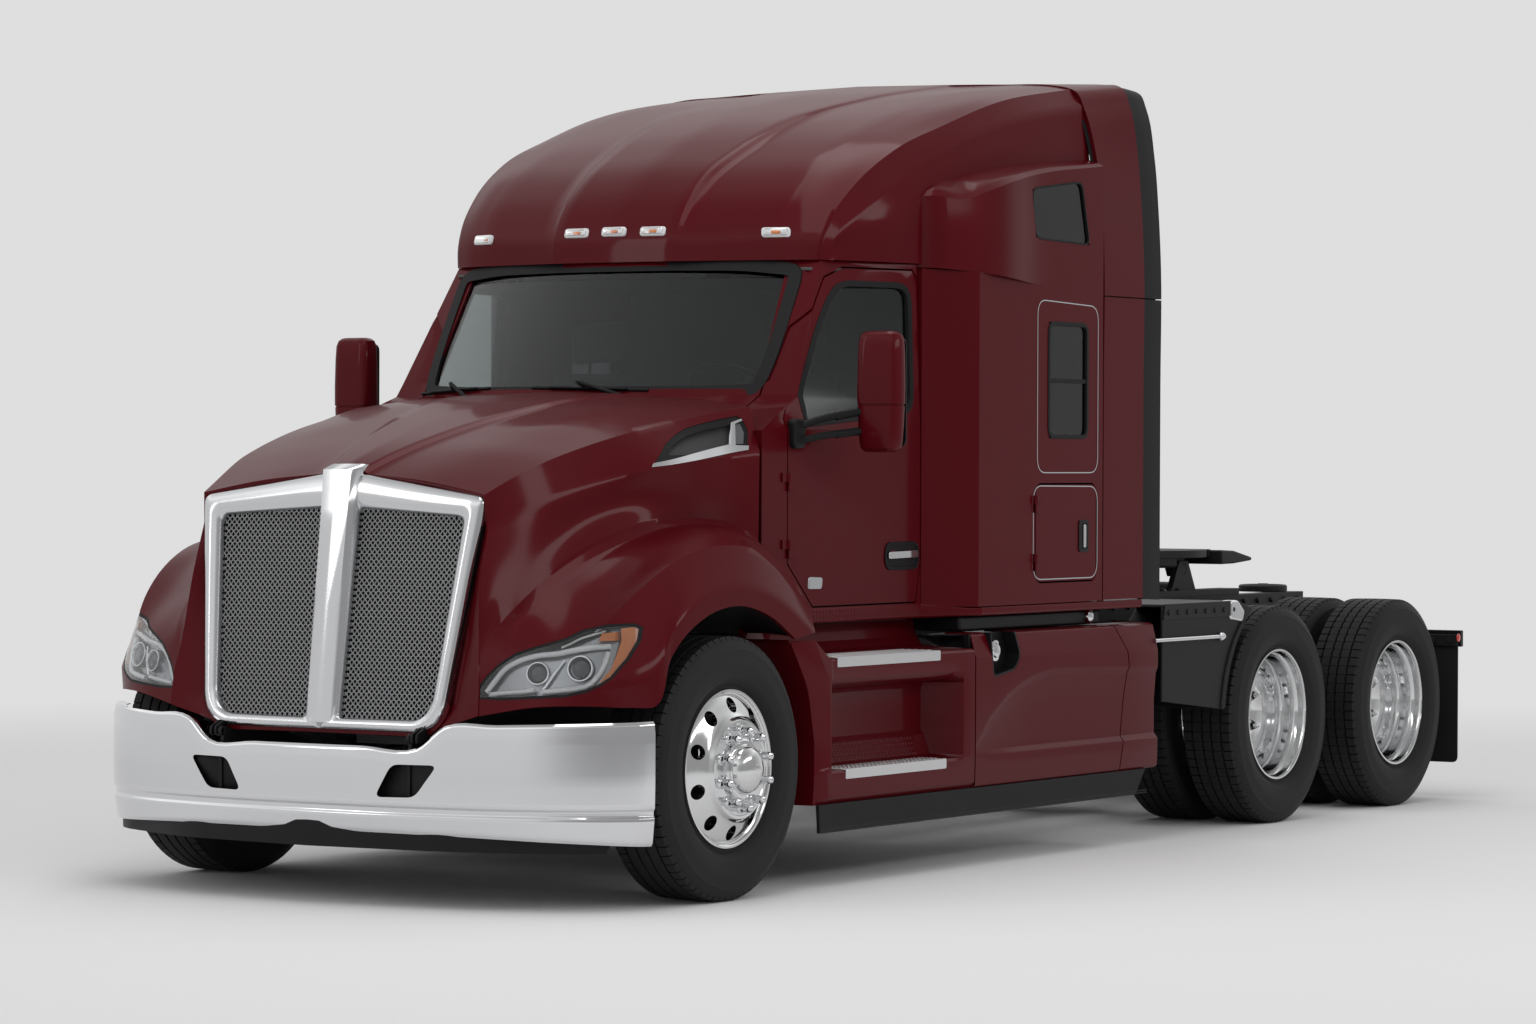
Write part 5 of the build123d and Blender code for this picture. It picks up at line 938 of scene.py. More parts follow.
weave, given, result = new_group(
    "woven_wire", "Geometry",
    (("Spacing", "Float", 0.0165), ("Wire radius", "Float", 0.0024), ("Wires", "Int", 80),
     ("Points", "Int", 160), ("Finish", "Material")), (("Geometry", "Geometry"),))
joined = weave.nodes.new("GeometryNodeJoinGeometry")
MESH_CORNERS = [inner[i * CORNER_STEPS + 3] for i in range(5)]
MESH_EDGES = tuple(zip(MESH_CORNERS, MESH_CORNERS[1:] + MESH_CORNERS[:1]))
MESH_CENTRE = Vector((0.32, 1.08))
MESH_OVERLAP = 0.006             # how far the wires run on under the surround
spacing = given["Spacing"]
for sign in (1, -1):
    span = math_node(weave, "MULTIPLY", spacing, given["Wires"])
    start = math_node(weave, "MULTIPLY", span, -0.5)
    half = math_node(weave, "MULTIPLY", spacing, 0.5)
    rows = add_node(weave, "GeometryNodeMeshLine", {
        "Start Location": combined(weave, Y=start), "Offset": combined(weave, Y=spacing),
        "Count": given["Wires"]})
    line = add_node(weave, "GeometryNodeMeshLine", {
        "Start Location": combined(weave, X=start), "Offset": combined(weave, X=half),
        "Count": given["Points"]})
    repeat = add_node(weave, "GeometryNodeInstanceOnPoints", {
        "Points": rows.outputs[0], "Instance": line.outputs[0]})
    real = add_node(weave, "GeometryNodeRealizeInstances", {0: repeat.outputs[0]})
    place = add_node(weave, "GeometryNodeInputPosition")
    parts = add_node(weave, "ShaderNodeSeparateXYZ", {0: place.outputs[0]}).outputs
    waves = []
    for axis in ("X", "Y"):
        turns = math_node(weave, "DIVIDE", parts[axis], spacing)
        waves.append(math_node(weave, "COSINE", math_node(weave, "MULTIPLY", turns, math.pi)))
    reach = math_node(weave, "MULTIPLY", given["Wire radius"], float(sign))
    lift = math_node(weave, "MULTIPLY", math_node(weave, "MULTIPLY", *waves), reach)
    wave = add_node(weave, "GeometryNodeSetPosition", {
        "Geometry": real.outputs[0], "Offset": combined(weave, Z=lift)})
    slant = add_node(weave, "GeometryNodeTransform", {
        "Rotation": (0, 0, math.radians(45 * sign)), "Translation": (*MESH_CENTRE, 0),
        "Geometry": wave.outputs[0]})
    spot = add_node(weave, "GeometryNodeInputPosition")
    here = add_node(weave, "ShaderNodeSeparateXYZ", {0: spot.outputs[0]}).outputs
    outside = None
    for a, b in MESH_EDGES:
        normal = Vector((b.y - a.y, a.x - b.x))
        if normal.dot(MESH_CENTRE - a) > 0:
            normal.negate()
        far = math_node(weave, "ADD", math_node(weave, "MULTIPLY", here["X"], normal.x),
                        math_node(weave, "MULTIPLY", here["Y"], normal.y))
        over = math_node(weave, "GREATER_THAN", far, normal.dot(a) + MESH_OVERLAP)
        outside = over if outside is None else math_node(weave, "MAXIMUM", outside, over)
    trim = add_node(weave, "GeometryNodeDeleteGeometry", {
        "Geometry": slant.outputs[0], "Selection": outside})
    curve = add_node(weave, "GeometryNodeMeshToCurve", {0: trim.outputs[0]})
    section = add_node(weave, "GeometryNodeCurvePrimitiveCircle", {
        "Resolution": 4, "Radius": given["Wire radius"]})
    tube = add_node(weave, "GeometryNodeCurveToMesh", {
        "Curve": curve.outputs[0], "Profile Curve": section.outputs[0]})
    feed(weave, joined, {0: tube.outputs[0]})
painted(weave, joined.outputs[0], given, result)

MESH_SET = -0.026                # how far the mesh lies behind the surround's face
wire = new_object("grille_wire", bpy.data.meshes.new("grille_wire"))
run_group(wire, weave, {"Finish": FINISHES["wire_steel"]})
work = bmesh.new()
work.from_mesh(wire.data)
for vertex in work.verts:
    x, z, lift = vertex.co
    vertex.co = on_nose(x, z, MESH_SET + lift)
add_other_side(work)
work.to_mesh(wire.data)
work.free()
wire.data.shade_smooth()
finish_piece(wire, "wire_steel", "hood", ("grille_mesh",), None)
backing_rows = [[on_nose(x, z, MESH_SET - .03) for x in (-.60, 0, .60)] for z in (1.55, 1.1, .66)]
backing = panel("grille_backing", [backing_rows], (0, AXLE_Y + 1, 1.1), mirror=False)
finish_piece(backing, "black_plastic", "hood")

# %% [markdown]
# ## Bumper
# A chromed steel bumper wraps the nose: a bevelled top edge with a dip below the grille, a swage
# line near the foot and turned-in edges. Heights and insets are one table, the plan curve is
# another.

# %% Bumper
# X, station, top Z, bottom Z
BUMPER_PLAN = ((0, -.956, .592, .277), (.25, -.952, .592, .276), (.485, -.931, .592, .274),
               (.60, -.912, .674, .272), (.80, -.868, .681, .266), (1.0, -.785, .687, .257),
               (1.12, -.70, .690, .250), (1.20, -.622, .692, .244), (1.245, -.562, .694, .241),
               (1.262, -.52, .695, .240))
BUMPER_PROFILE = (
    ("top", -.010, .050),
    ("top", .0, .014),
    ("top", -.008, .006),
    ("top", -.045, .0),
    ("at", .47, .0),
    ("at", .378, .002),
    ("at", .368, .010),
    ("at", .352, .010),
    ("at", .342, .004),
    ("foot", .012, .016),
    ("foot", .0, .024),
    ("foot", .004, .06))
TOW_HOLE = rounded(((.384, .529), (.573, .530), (.480, .410), (.312, .407)), .03)

plan = [Vector((x, y)) for x, y, top, foot in BUMPER_PLAN]
bumper_rows = []
for kind, height, inset in BUMPER_PROFILE:
    row = []
    for i, (x, y, top, foot) in enumerate(BUMPER_PLAN):
        ahead = plan[min(i + 1, len(plan) - 1)] - plan[max(i - 1, 0)]
        inward = Vector((-ahead.y, ahead.x)).normalized()
        if i == 0:
            inward = Vector((0, 1))
        z = {"top": top + height, "foot": foot + height, "at": height}[kind]
        row.append((x + inward.x * inset, y + inward.y * inset, z))
    bumper_rows.append(row)
bumper_grid = sheet_grid(bumper_rows, range(1, len(bumper_rows) - 1), steps=5)
bumper = panel("bumper_skin", [bumper_grid], (0, AXLE_Y, .45))
cutters = []
for side in (1, -1):
    cutters.append(prism("tow_cut", [(x * side, z) for x, z in TOW_HOLE], "Y", AXLE_Y - 1.1,
                         AXLE_Y - .8))
thicken(bumper, 0.004, cutters)
finish_piece(bumper, "chrome", "chassis", replaces=("bumper",), angle=60.0)
pocket = slab(rect(.28, .38, .60, .56), .03, "Y", AXLE_Y - .902, AXLE_Y - .890, .004)
both_sides("tow_pockets", [pocket], "black_plastic", angle=None)

# %% [markdown]
# ## Headlamps
# A headlamp is a clear cover flush with the fender, and behind it a bowl with two projectors and
# a light guide. Cover, gasket and bowl are layers of the hood's own skin, cut to one outline, so
# they follow the fender exactly. The small parts are placed by a ray cast onto that skin.

# %% Headlamp layers
LAMP_COLOURS = {
    "lamp_bowl": ((.33, .34, .355), .22, .85, 90.0, .25),
    "lamp_chrome": ((.72, .73, .75), .10, 1.0, 60.0, .05),
    "lamp_dark": ((.035, .037, .042), .12, .3, 500.0, .6),
    "lamp_guide": ((.86, .87, .88), .28, .0, 120.0, .05),
    "lamp_amber": ((.72, .20, .03), .20, .0, 260.0, .4),
    "lamp_white": ((.74, .74, .75), .22, .0, 260.0, .3),
}
for name, (colour, gloss, metal, grain, bump) in LAMP_COLOURS.items():
    finish_of(name, colour, gloss, metal=metal, film=0.02, grain=grain, bump=bump, coat=.3)
glass_of("clear_cover", (.93, .94, .95), rough=0.0)

hood_grid = sheet_grid(rows_of_hood, sharp_of_hood)
HOOD_INSIDE = (0, AXLE_Y, 1.0)

def inset(loop, distance):
    """Moves a closed outline inwards by a distance, point by point."""
    area = sum(a[0] * b[1] - b[0] * a[1] for a, b in zip(loop, loop[1:] + loop[:1]))
    turn = 1 if area > 0 else -1
    moved = []
    for i, point in enumerate(loop):
        before = Vector(loop[i - 1]) - Vector(point)
        after = Vector(loop[(i + 1) % len(loop)]) - Vector(point)
        along = (after.normalized() - before.normalized()).normalized()
        moved.append(tuple(Vector(point) + Vector((-along.y, along.x)) * distance * turn))
    return moved

def layer_of_hood(name, outline, axis, near, far, depth, thickness, hole=None):
    """A layer of the left hood side inside an outline, with an optional hole, cut along an axis."""
    way = {"Y": (0, 1, 0), "X": (-1, 0, 0)}[axis]
    layer = skin_layer(name, hood_grid, HOOD_INSIDE, depth, thickness, way)
    cut = [prism("hole", hole, axis, near, far)] if hole else []
    return carve(layer, [prism("keep", outline, axis, near, far)], cut)

lamp_edge = list(LAMP_HOLE)
LAMP_NEAR, LAMP_FAR = AXLE_Y - 1.1, AXLE_Y - .38
bowl = layer_of_hood("lamp_bowl", inset(lamp_edge, .002), "Y", LAMP_NEAR, LAMP_FAR, .055, .05)
both_sides("headlamp_bowls", [bowl], "lamp_bowl", "hood", ("headlamps",))
gasket = layer_of_hood("gasket", lamp_edge, "Y", LAMP_NEAR, LAMP_FAR, .0015, .06,
                       inset(lamp_edge, .010))
both_sides("headlamp_gaskets", [gasket], "black_rubber", "hood")
cover = layer_of_hood("cover", inset(lamp_edge, .010), "Y", LAMP_NEAR, LAMP_FAR, .001, .003)
both_sides("headlamp_covers", [cover], "clear_cover", "hood", ())

# %% [markdown]
# ## Inside the headlamps
# Light guides follow the lamp's edge below its cover. Two projectors stand between them, and
# amber turn lamps close the outer corner.

# %% Lamps inside
def ray_tree(piece):
    """A tree over a piece's faces, into which rays are cast."""
    return BVHTree.FromPolygons([v.co[:] for v in piece.data.vertices],
                                [f.vertices[:] for f in piece.data.polygons])

probe = panel("probe", [hood_grid], HOOD_INSIDE, mirror=False)
hood_tree = ray_tree(probe)
bpy.data.objects.remove(probe)

def under_hood(x, z, depth):
    """The place a depth below the fender's skin, straight behind (x, z)."""
    place, normal, _, _ = hood_tree.ray_cast(Vector((x, AXLE_Y - 2, z)), Vector((0, 1, 0)))
    return place - (normal if normal.y < 0 else -normal) * depth

GUIDE_TOP = ((.733, .800), (.757, .838), (.792, .888), (.835, .918), (.89, .938), (.956, .948),
             (1.023, .958), (1.08, .968), (1.122, .972))
GUIDE_OUTER = ((1.120, .950), (1.117, .91), (1.103, .864), (1.08, .830), (1.049, .816),
               (.995, .810), (.934, .804))
GUIDE_LOW = ((.905, .812), (.863, .806), (.796, .799), (.748, .793))
BROW = ((.965, .972), (.99, .987), (1.013, 1.004), (1.043, 1.018), (1.10, 1.026))
guides = [rod("guide", [under_hood(x, z, .022) for x, z in path], radius)
          for path, radius in ((GUIDE_TOP, .0105), (GUIDE_OUTER, .0105), (GUIDE_LOW, .0085),
                               (BROW, .004))]
both_sides("headlamp_guides", guides, "lamp_guide", "hood", ())
PROJECTOR = ((.050, -.030), (.050, .004), (.0475, .010), (.043, .010), (.041, .004), (.038, -.004),
             (.036, -.012))
LENS = ((.036, -.012), (.033, -.004), (.026, .003), (.016, .007), (.006, .0085), (0, .009))
rims, lenses = [], []
for x, z, size in ((.907, .874, .88), (1.046, .893, 1.0)):
    centre = under_hood(x, z, .030)
    aim = (.32, -.92, .18)
    rims.append(spin("rim", [(r * size, h) for r, h in PROJECTOR], centre, aim, 40))
    lenses.append(spin("lens", [(r * size, h) for r, h in LENS], centre, aim, 40))
FIN = ((.935, .818, .034), (.958, .862, .030), (.985, .930, .034))
fin = [under_hood(x, z, depth) for x, z, depth in FIN]
rims.append(rod("fin", fin, .006))
both_sides("headlamp_rims", rims, "lamp_chrome", "hood", (), 50)
both_sides("headlamp_projectors", lenses, "lamp_dark", "hood", (), 50)
AMBER = ((1.128, 1.030), (1.160, 1.036), (1.172, 1.024), (1.174, .985), (1.163, .923),
         (1.136, .860), (1.112, .834), (1.108, .842), (1.130, .886), (1.137, .943), (1.138, .987))
TURN = ((1.080, .985), (1.084, 1.012), (1.118, 1.018), (1.122, .987))
amber = [layer_of_hood("amber", list(shape), "Y", LAMP_NEAR, LAMP_FAR, .012, .03)
         for shape in (AMBER, TURN)]
both_sides("headlamp_turn_lamps", amber, "lamp_amber", "hood", ())

# %% [markdown]
# ## Hood vents
# The vents beside the cowl are black inserts let into the hood's side: a frame, a mesh behind it,
# and a bright strip that runs along the foot and turns up before a small end panel.

# %% Hood vents
VENT_INNER = ((.062, 1.662), (.10, 1.690), (.160, 1.714), (.235, 1.738), (.330, 1.758),
              (.420, 1.770), (.500, 1.790), (.515, 1.785), (.508, 1.75), (.470, 1.700),
              (.30, 1.676), (.16, 1.664))
STRIP = ((-.035, 1.617), (-.020, 1.632), (.16, 1.664), (.30, 1.688), (.412, 1.706), (.474, 1.790),
         (.525, 1.804), (.525, 1.797), (.484, 1.784), (.430, 1.702), (.486, 1.700), (.474, 1.684),
         (.20, 1.646))
END_PANEL = ((.436, 1.706), (.486, 1.780), (.518, 1.790), (.512, 1.755), (.478, 1.706))
SIDE_NEAR, SIDE_FAR = .80, 1.15
vent_edge, vent_inner = stations(VENT_HOLE), stations(VENT_INNER)
frames = layer_of_hood("vent_frame", vent_edge, "X", SIDE_NEAR, SIDE_FAR, .003, .05, vent_inner)
both_sides("vent_frames", [frames], "black_plastic", "hood", ("hood_vents",))
meshes = layer_of_hood("vent_mesh", inset(vent_edge, .004), "X", SIDE_NEAR, SIDE_FAR, .026, .006)
both_sides("vent_meshes", [meshes], "vent_mesh", "hood", ())
strip = layer_of_hood("vent_strip", stations(STRIP), "X", SIDE_NEAR, SIDE_FAR, -.003, .010)
both_sides("vent_strips", [strip], "chrome", "hood")
ends = layer_of_hood("vent_end", stations(END_PANEL), "X", SIDE_NEAR, SIDE_FAR, .006, .01)
both_sides("vent_ends", [ends], "end_mesh", "hood", ())

# %% [markdown]
# ## Windshield surround
# Laminated glass is bonded onto the cab, and a black border hides the glue. The border and the
# darker sun band at the top lie a few millimetres off the glass, on the same curved face.

# %% Windshield surround
SCREEN_EDGE = ((.30, 1.886), (.60, 1.886), (.815, 1.896), (.838, 2.02), (.842, 2.20),
               (.838, 2.425), (.60, 2.450), (.30, 2.454))
SCREEN_OFF = 0.007

def screen_y(x, z):
    """How far back the windshield's face is at a place across and up."""
    return AXLE_Y + .873 + .562 * (z - 2.1) + .185 * x * x - SCREEN_OFF

def dense(loop, gap=.05):
    """Adds points along a closed outline, so that no side is longer than the gap."""
    full = []
    for a, b in zip(loop, list(loop[1:]) + [loop[0]]):
        count = max(int((Vector(b) - Vector(a)).length / gap), 1)
        full += [tuple(Vector(a).lerp(Vector(b), i / count)) for i in range(count)]
    return full

whole = list(SCREEN_EDGE) + [(-x, z) for x, z in reversed(SCREEN_EDGE)]
outer_edge = dense(rounded(whole, .07))
inner_edge = inset(inset(outer_edge, .024), .026)
border = band("windshield_border", outer_edge, inner_edge, "Y", 0, .020)
for vertex in border.data.vertices:
    vertex.co.y += screen_y(vertex.co.x, vertex.co.z)
finish_piece(border, "black_rubber", "chassis", angle=40)
rows = [[(x, screen_y(x, z) - AXLE_Y + .012, z) for x in (-.80, -.4, 0, .4, .80)]
        for z in (2.372, 2.40, 2.436)]
sun_band = panel("sun_band", [sheet_grid(rows)], (0, AXLE_Y + 3, 1.5), mirror=False)
thicken(sun_band, .002)
finish_piece(sun_band, "dark_glass", "chassis", (), 40)

# %% [markdown]
# ## Roof marker lamps
# Five clearance lamps sit along the brow of the roof: a pale housing with an amber core under a
# clear cover. Each is built flat, then turned to the roof's slope at its place.

# %% Roof marker lamps
MARKERS = ((0, 2.566), (.186, 2.564), (-.186, 2.564), (.716, 2.552), (-.716, 2.552))
roof_tree = ray_tree(roof)
housings, cores, covers = [], [], []
for x, z in MARKERS:
    place, normal, _, _ = roof_tree.ray_cast(Vector((x, AXLE_Y - 2, z)), Vector((0, 1, 0)))
    across = Vector((0, 0, 1)).cross(-normal).normalized()
    upward = (-normal).cross(across).normalized()
    turn = Matrix((across, upward, normal)).transposed()
    for group, length, height, low, high, corner in (
            (housings, .062, .0205, -.012, .006, .014), (cores, .020, .008, .004, .0095, .006),
            (covers, .052, .0145, .005, .0125, .010)):
        corners = [(-length, -height), (length * .93, -height), (length, height),
                   (-length * .93, height)]
        plate = slab(corners, corner, "Z", low, high, .0025)
        for vertex in plate.data.vertices:
            vertex.co = turn @ vertex.co + place
        group.append(plate)
finish_piece(join("marker_housings", housings), "lamp_white", "chassis", (), None)
finish_piece(join("marker_cores", cores), "lamp_amber", "chassis", (), None)
finish_piece(join("marker_covers", covers), "clear_cover", "chassis", (), None)

# %% [markdown]
# ## Softer edges on the straight panels
# Sheet panels never end in a knife edge: each fold has a radius that catches the light. The
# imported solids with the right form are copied, their loose triangles merged, and every real edge
# bevelled.

# %% Softer edges
ROUNDED = (    # CAD node, body, finish, edge radius
    ("sleeper_sides", "chassis", "maroon_paint", 0.012),
    ("sleeper_back", "chassis", "maroon_paint", 0.006),
    ("cab_front", "chassis", "maroon_paint", 0.006),
    ("door_left", "door_left", "maroon_paint", 0.004),
    ("door_right", "door_right", "maroon_paint", 0.004),
    ("locker_door_left", "locker_left", "maroon_paint", 0.004),
    ("locker_door_right", "locker_right", "maroon_paint", 0.004),
    ("side_skirts", "chassis", "black_rubber", 0.004),
    ("bumper_lip", "chassis", "black_plastic", 0.010),
    ("cab_floor", "chassis", "black_plastic", 0.004),
    ("crossmembers", "chassis", "frame_black", 0.003),
    ("frame_rails", "chassis", "frame_black", 0.003),
    ("front_axle", "chassis", "cast_black", 0.008),
    ("drive_axles", "chassis", "cast_black", 0.010),
    ("engine", "chassis", "engine_grey", 0.008),
    ("radiator", "chassis", "cooler_aluminium", 0.004),
    ("dashboard", "chassis", "interior_plastic", 0.018),
    ("fuel_tanks", "chassis", "aluminium", 0.010),
    ("tail_bar", "chassis", "frame_black", 0.004),
    ("tie_rod", "tie_rod", "cast_black", 0.003),
    ("fifth_wheel_base", "chassis", "cast_black", 0.008),
    ("fifth_wheel_plate", "coupling_plate", "cast_black", 0.010),
    ("knuckle_left", "steering_left", "cast_black", 0.006),
    ("knuckle_right", "steering_right", "cast_black", 0.006))
for node, body, finish, radius in ROUNDED:
    work = bmesh.new()
    work.from_mesh(frame["nodes"][node].data)
    bmesh.ops.remove_doubles(work, verts=work.verts, dist=2e-5)
    bmesh.ops.dissolve_limit(work, angle_limit=math.radians(1.0), verts=work.verts,
                             edges=work.edges)
    piece = soften(mesh_piece(node + "_formed", work), radius, 3, 28)
    finish_piece(piece, finish, body, replaces=(node,), angle=None)

# %% [markdown]
# ## Doors
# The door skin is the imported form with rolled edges, opened out to the full window. A black
# channel runs round the pane and both lie on the door's curved face, which leans in above the
# belt.

# %% Door windows
# height, X at 1.0, X at 1.7
DOOR_FACE = ((1.70, 1.049, 1.050), (1.76, 1.049, 1.050), (1.78, 1.042, 1.049),
             (1.82, 1.027, 1.047), (1.865, 1.006, 1.045), (1.90, .983, 1.043), (2.0, .962, 1.039),
             (2.1, .939, 1.035), (2.2, .912, 1.031), (2.3, .880, 1.027), (2.4, .8416, 1.022))
WINDOW_EDGE = ((.845, 1.772), (.905, 1.905), (1.0, 2.035), (1.080, 2.150), (1.190, 2.280),
               (1.262, 2.345), (1.33, 2.364), (1.692, 2.364), (1.688, 2.10), (1.682, 1.835))

def door_x(y, z):
    """How far out the door's face is at a station and height."""
    z = min(max(z, DOOR_FACE[0][0]), DOOR_FACE[-1][0])
    for low, high in zip(DOOR_FACE, DOOR_FACE[1:]):
        if z <= high[0]:
            t = (z - low[0]) / (high[0] - low[0])
            front, rear = low[1] + (high[1] - low[1]) * t, low[2] + (high[2] - low[2]) * t
            return front + (rear - front) * (y - 1.0) / .7
    return DOOR_FACE[-1][2]

def on_door(piece):
    """Lays a piece built about X = 0 onto the left door's face."""
    for vertex in piece.data.vertices:
        vertex.co.x += door_x(vertex.co.y - AXLE_Y, vertex.co.z)
    return piece

window_outer = dense(rounded(stations(WINDOW_EDGE), .085), .04)
window_inner = inset(window_outer, .024)
for side, name in ((1, "left"), (-1, "right")):
    skin = bpy.data.objects["door_" + name + "_formed"]
    opening = prism("opening", window_outer, "X", side * .80, side * 1.2)
    carve(skin, (), (opening,))
    skin.data.materials.clear()
    skin.data.materials.append(FINISHES["maroon_paint"])
channel = on_door(band("channel", window_outer, window_inner, "X", -.030, .003))
PANE_STATIONS = (.80, .95, 1.1, 1.25, 1.4, 1.55, 1.72)
PANE_HEIGHTS = (1.74, 1.78, 1.82, 1.865, 1.90, 2.0, 2.1, 2.2, 2.3, 2.39)
rows = [[(door_x(y, z), y, z) for y in PANE_STATIONS] for z in PANE_HEIGHTS]
pane = skin_layer("pane", sheet_grid(rows, range(10), 2), (-1, AXLE_Y + 1.2, 2.0), .012, .005,
                  (-1, 0, 0))
carve(pane, (prism("keep", inset(window_outer, .016), "X", .7, 1.2),))

# %% [markdown]
# ## Handles and badges
# The handle is a lever over a black pocket. The badge in front of it is a bare plate, since the
# truck carries no maker's sign.

# %% Door handles and badges
POCKET = rect(1.447, 1.205, 1.715, 1.318)
BADGE = ((.862, 1.142), (.966, 1.140), (.974, 1.186), (.870, 1.190))
pocket_edge = rounded(stations(POCKET), .05, 7)
pocket = soften(band("pocket", pocket_edge, inset(pocket_edge, .014), "X", 1.040, 1.056), .003)
floor_plate = prism("pocket_floor", inset(pocket_edge, .006), "X", 1.030, 1.0515)
corners = rounded(stations(((1.470, 1.250), (1.700, 1.253), (1.700, 1.283), (1.470, 1.279))), .012)
lever = soften(prism("lever", corners, "X", 1.056, 1.0605), .0022)
corners = rounded(stations(BADGE), .014)
badge = soften(prism("badge", corners, "X", 1.044, 1.054), .003)
inner_badge = soften(prism("badge_face", inset(corners, .008), "X", 1.052, 1.0562), .002)
door_parts = (
    ("door_window_channel", [channel], "black_rubber", (), None, 40),
    ("door_pane", [pane], "tinted_glass", ("door_glass",), None, 40),
    ("door_handle_pocket", [pocket, floor_plate], "black_plastic", (), None, 40),
    ("door_handle_lever", [lever], "chrome", (), None, None),
    ("door_badge", [badge, inner_badge], "aluminium", (), None, None))
for name, pieces, finish, nodes_of, slot, angle in door_parts:
    pair(name, pieces, finish, "door", nodes_of, angle)

# %% [markdown]
# ## Mirrors
# Each mirror is a tall moulded shell on two round arms from a bracket at the door's front. The
# shell is lofted from rounded sections, with a joint between its upper and lower caps.

# %% Mirrors
MIRROR_RINGS = (    # height, half width, half depth, corner, shift back
    (1.677, .052, .022, .020, .0), (1.680, .066, .036, .034, .0), (1.692, .078, .048, .040, .0),
    (1.720, .084, .053, .044, .0), (1.78, .088, .055, .045, .0), (1.858, .091, .056, .045, .0),
    (1.860, .088, .053, .043, .0), (1.864, .088, .053, .043, .0), (1.866, .0925, .057, .045, .0),
    (1.95, .093, .057, .045, .0), (2.06, .091, .055, .044, .001), (2.115, .088, .052, .042, .002),
    (2.137, .080, .045, .038, .003), (2.147, .066, .032, .028, .004),
    (2.150, .048, .016, .014, .004))
MIRROR_CENTRE = Vector((1.2835, AXLE_Y + 1.028))
work = bmesh.new()
rings = []
for height, wide, deep, corner, back in MIRROR_RINGS:
    loop = rounded(((-wide, -deep), (wide, -deep * .80), (wide, deep), (-wide, deep)), corner, 8)
    rings.append([work.verts.new((x + MIRROR_CENTRE.x, y + MIRROR_CENTRE.y + back, height))
                  for x, y in loop])
for low, high in zip(rings, rings[1:]):
    for i in range(len(low)):
        j = (i + 1) % len(low)
        work.faces.new((low[i], low[j], high[j], high[i]))
work.faces.new(list(reversed(rings[0])))
work.faces.new(rings[-1])
bmesh.ops.recalc_face_normals(work, faces=work.faces)
shell = mesh_piece("mirror_shell", work)
glass_y = MIRROR_CENTRE.y + .054
glasses = []
for low, high in ((1.712, 1.845), (1.880, 2.112)):
    corners = rounded(rect(1.212, low, 1.355, high), .022)
    glasses.append(soften(prism("glass", corners, "Y", glass_y, glass_y + .0045), .0015))
surround = slab(rect(1.200, 1.698, 1.367, 2.126), .032, "Y", glass_y - .006, glass_y + .003, .002)
arms = []
for low, high in ((1.716, 1.764), (1.772, 1.842)):
    start = Vector((1.052, AXLE_Y + .778, low))
    middle = Vector((1.108, AXLE_Y + .842, low + (high - low) * .42))
    end = Vector((1.235, AXLE_Y + 1.020, high))
    arms.append(rod("arm", (start, middle, end), .0145))
    arms.append(rod("sleeve", (middle.lerp(end, .35), end), .0165, False))
foot = slab(stations(rect(.728, 1.690, .812, 1.805)), .022, "X", 1.038, 1.076, .010, 3)
parts = (
    ("mirror_shell", [shell], "maroon_paint", ("mirror",), None, 32),
    ("mirror_arms", arms + [foot], "black_plastic", (), None, 40),
    ("mirror_surround", [surround], "black_plastic", (), None, None),
    ("mirror_glass", glasses, "mirror_glass", (), "chrome", None))
for name, pieces, finish, nodes_of, slot, angle in parts:
    pair(name, pieces, finish, "door", nodes_of, angle)

# %% [markdown]
# ## Sleeper windows and luggage doors
# The sleeper's side carries a fixed pane above, a sliding one below with its bar, and the luggage
# door. A thin bright bead follows each panel's edge.

# %% Sleeper windows and luggage doors
LOWER_EDGE = rect(2.486, 1.738, 2.838, 2.228)
UPPER_EDGE = ((2.376, 2.566), (2.850, 2.556), (2.778, 2.826), (2.340, 2.776))
BEAD_WINDOW = ((2.392, 1.594), (2.924, 1.594), (2.924, 2.302), (2.392, 2.318))
BEAD_DOOR = ((2.360, 1.150), (2.922, 1.150), (2.922, 1.540), (2.360, 1.544))
LATCH = rect(2.757, 1.262, 2.840, 1.396)
WALL_X = 1.220
lower_loop = rounded(stations(LOWER_EDGE), .05, 6)
upper_loop = rounded(stations(UPPER_EDGE), .045, 6)
lower_frame = band("frame", lower_loop, inset(lower_loop, .018), "X", 1.205, WALL_X + .0035)
frames = [soften(lower_frame, .002)]
upper_frame = band("frame", upper_loop, inset(upper_loop, .008), "X", 1.190, WALL_X + .0025)
frames.append(soften(upper_frame, .001))
frames.append(slab(stations(rect(2.50, 1.972, 2.83, 1.990)), .004, "X", 1.205, WALL_X, .002))
filler = stations(rect(2.425, 1.735, 2.497, 2.231))
skin_filler = prism("filler", filler, "X", 1.196, WALL_X - .0004)
panes = [prism("pane", inset(lower_loop, .010), "X", 1.200, 1.212),
         prism("pane", inset(upper_loop, .004), "X", 1.190, 1.2125)]
both_sides("sleeper_window_frames", frames, "black_rubber", angle=None)
both_sides("sleeper_panes", panes, "dark_glass", "chassis", ("sleeper_glass",), 30)
both_sides("sleeper_window_fillers", [skin_filler], "maroon_paint", angle=30)

def bead(name, corners, radius, thickness, axis="X", place=WALL_X):
    """A thin round bead along a rounded outline on a flat wall."""
    loop = rounded(corners, radius, 8)
    return band(name, loop, inset(loop, thickness), axis, place - .002, place + .0022)

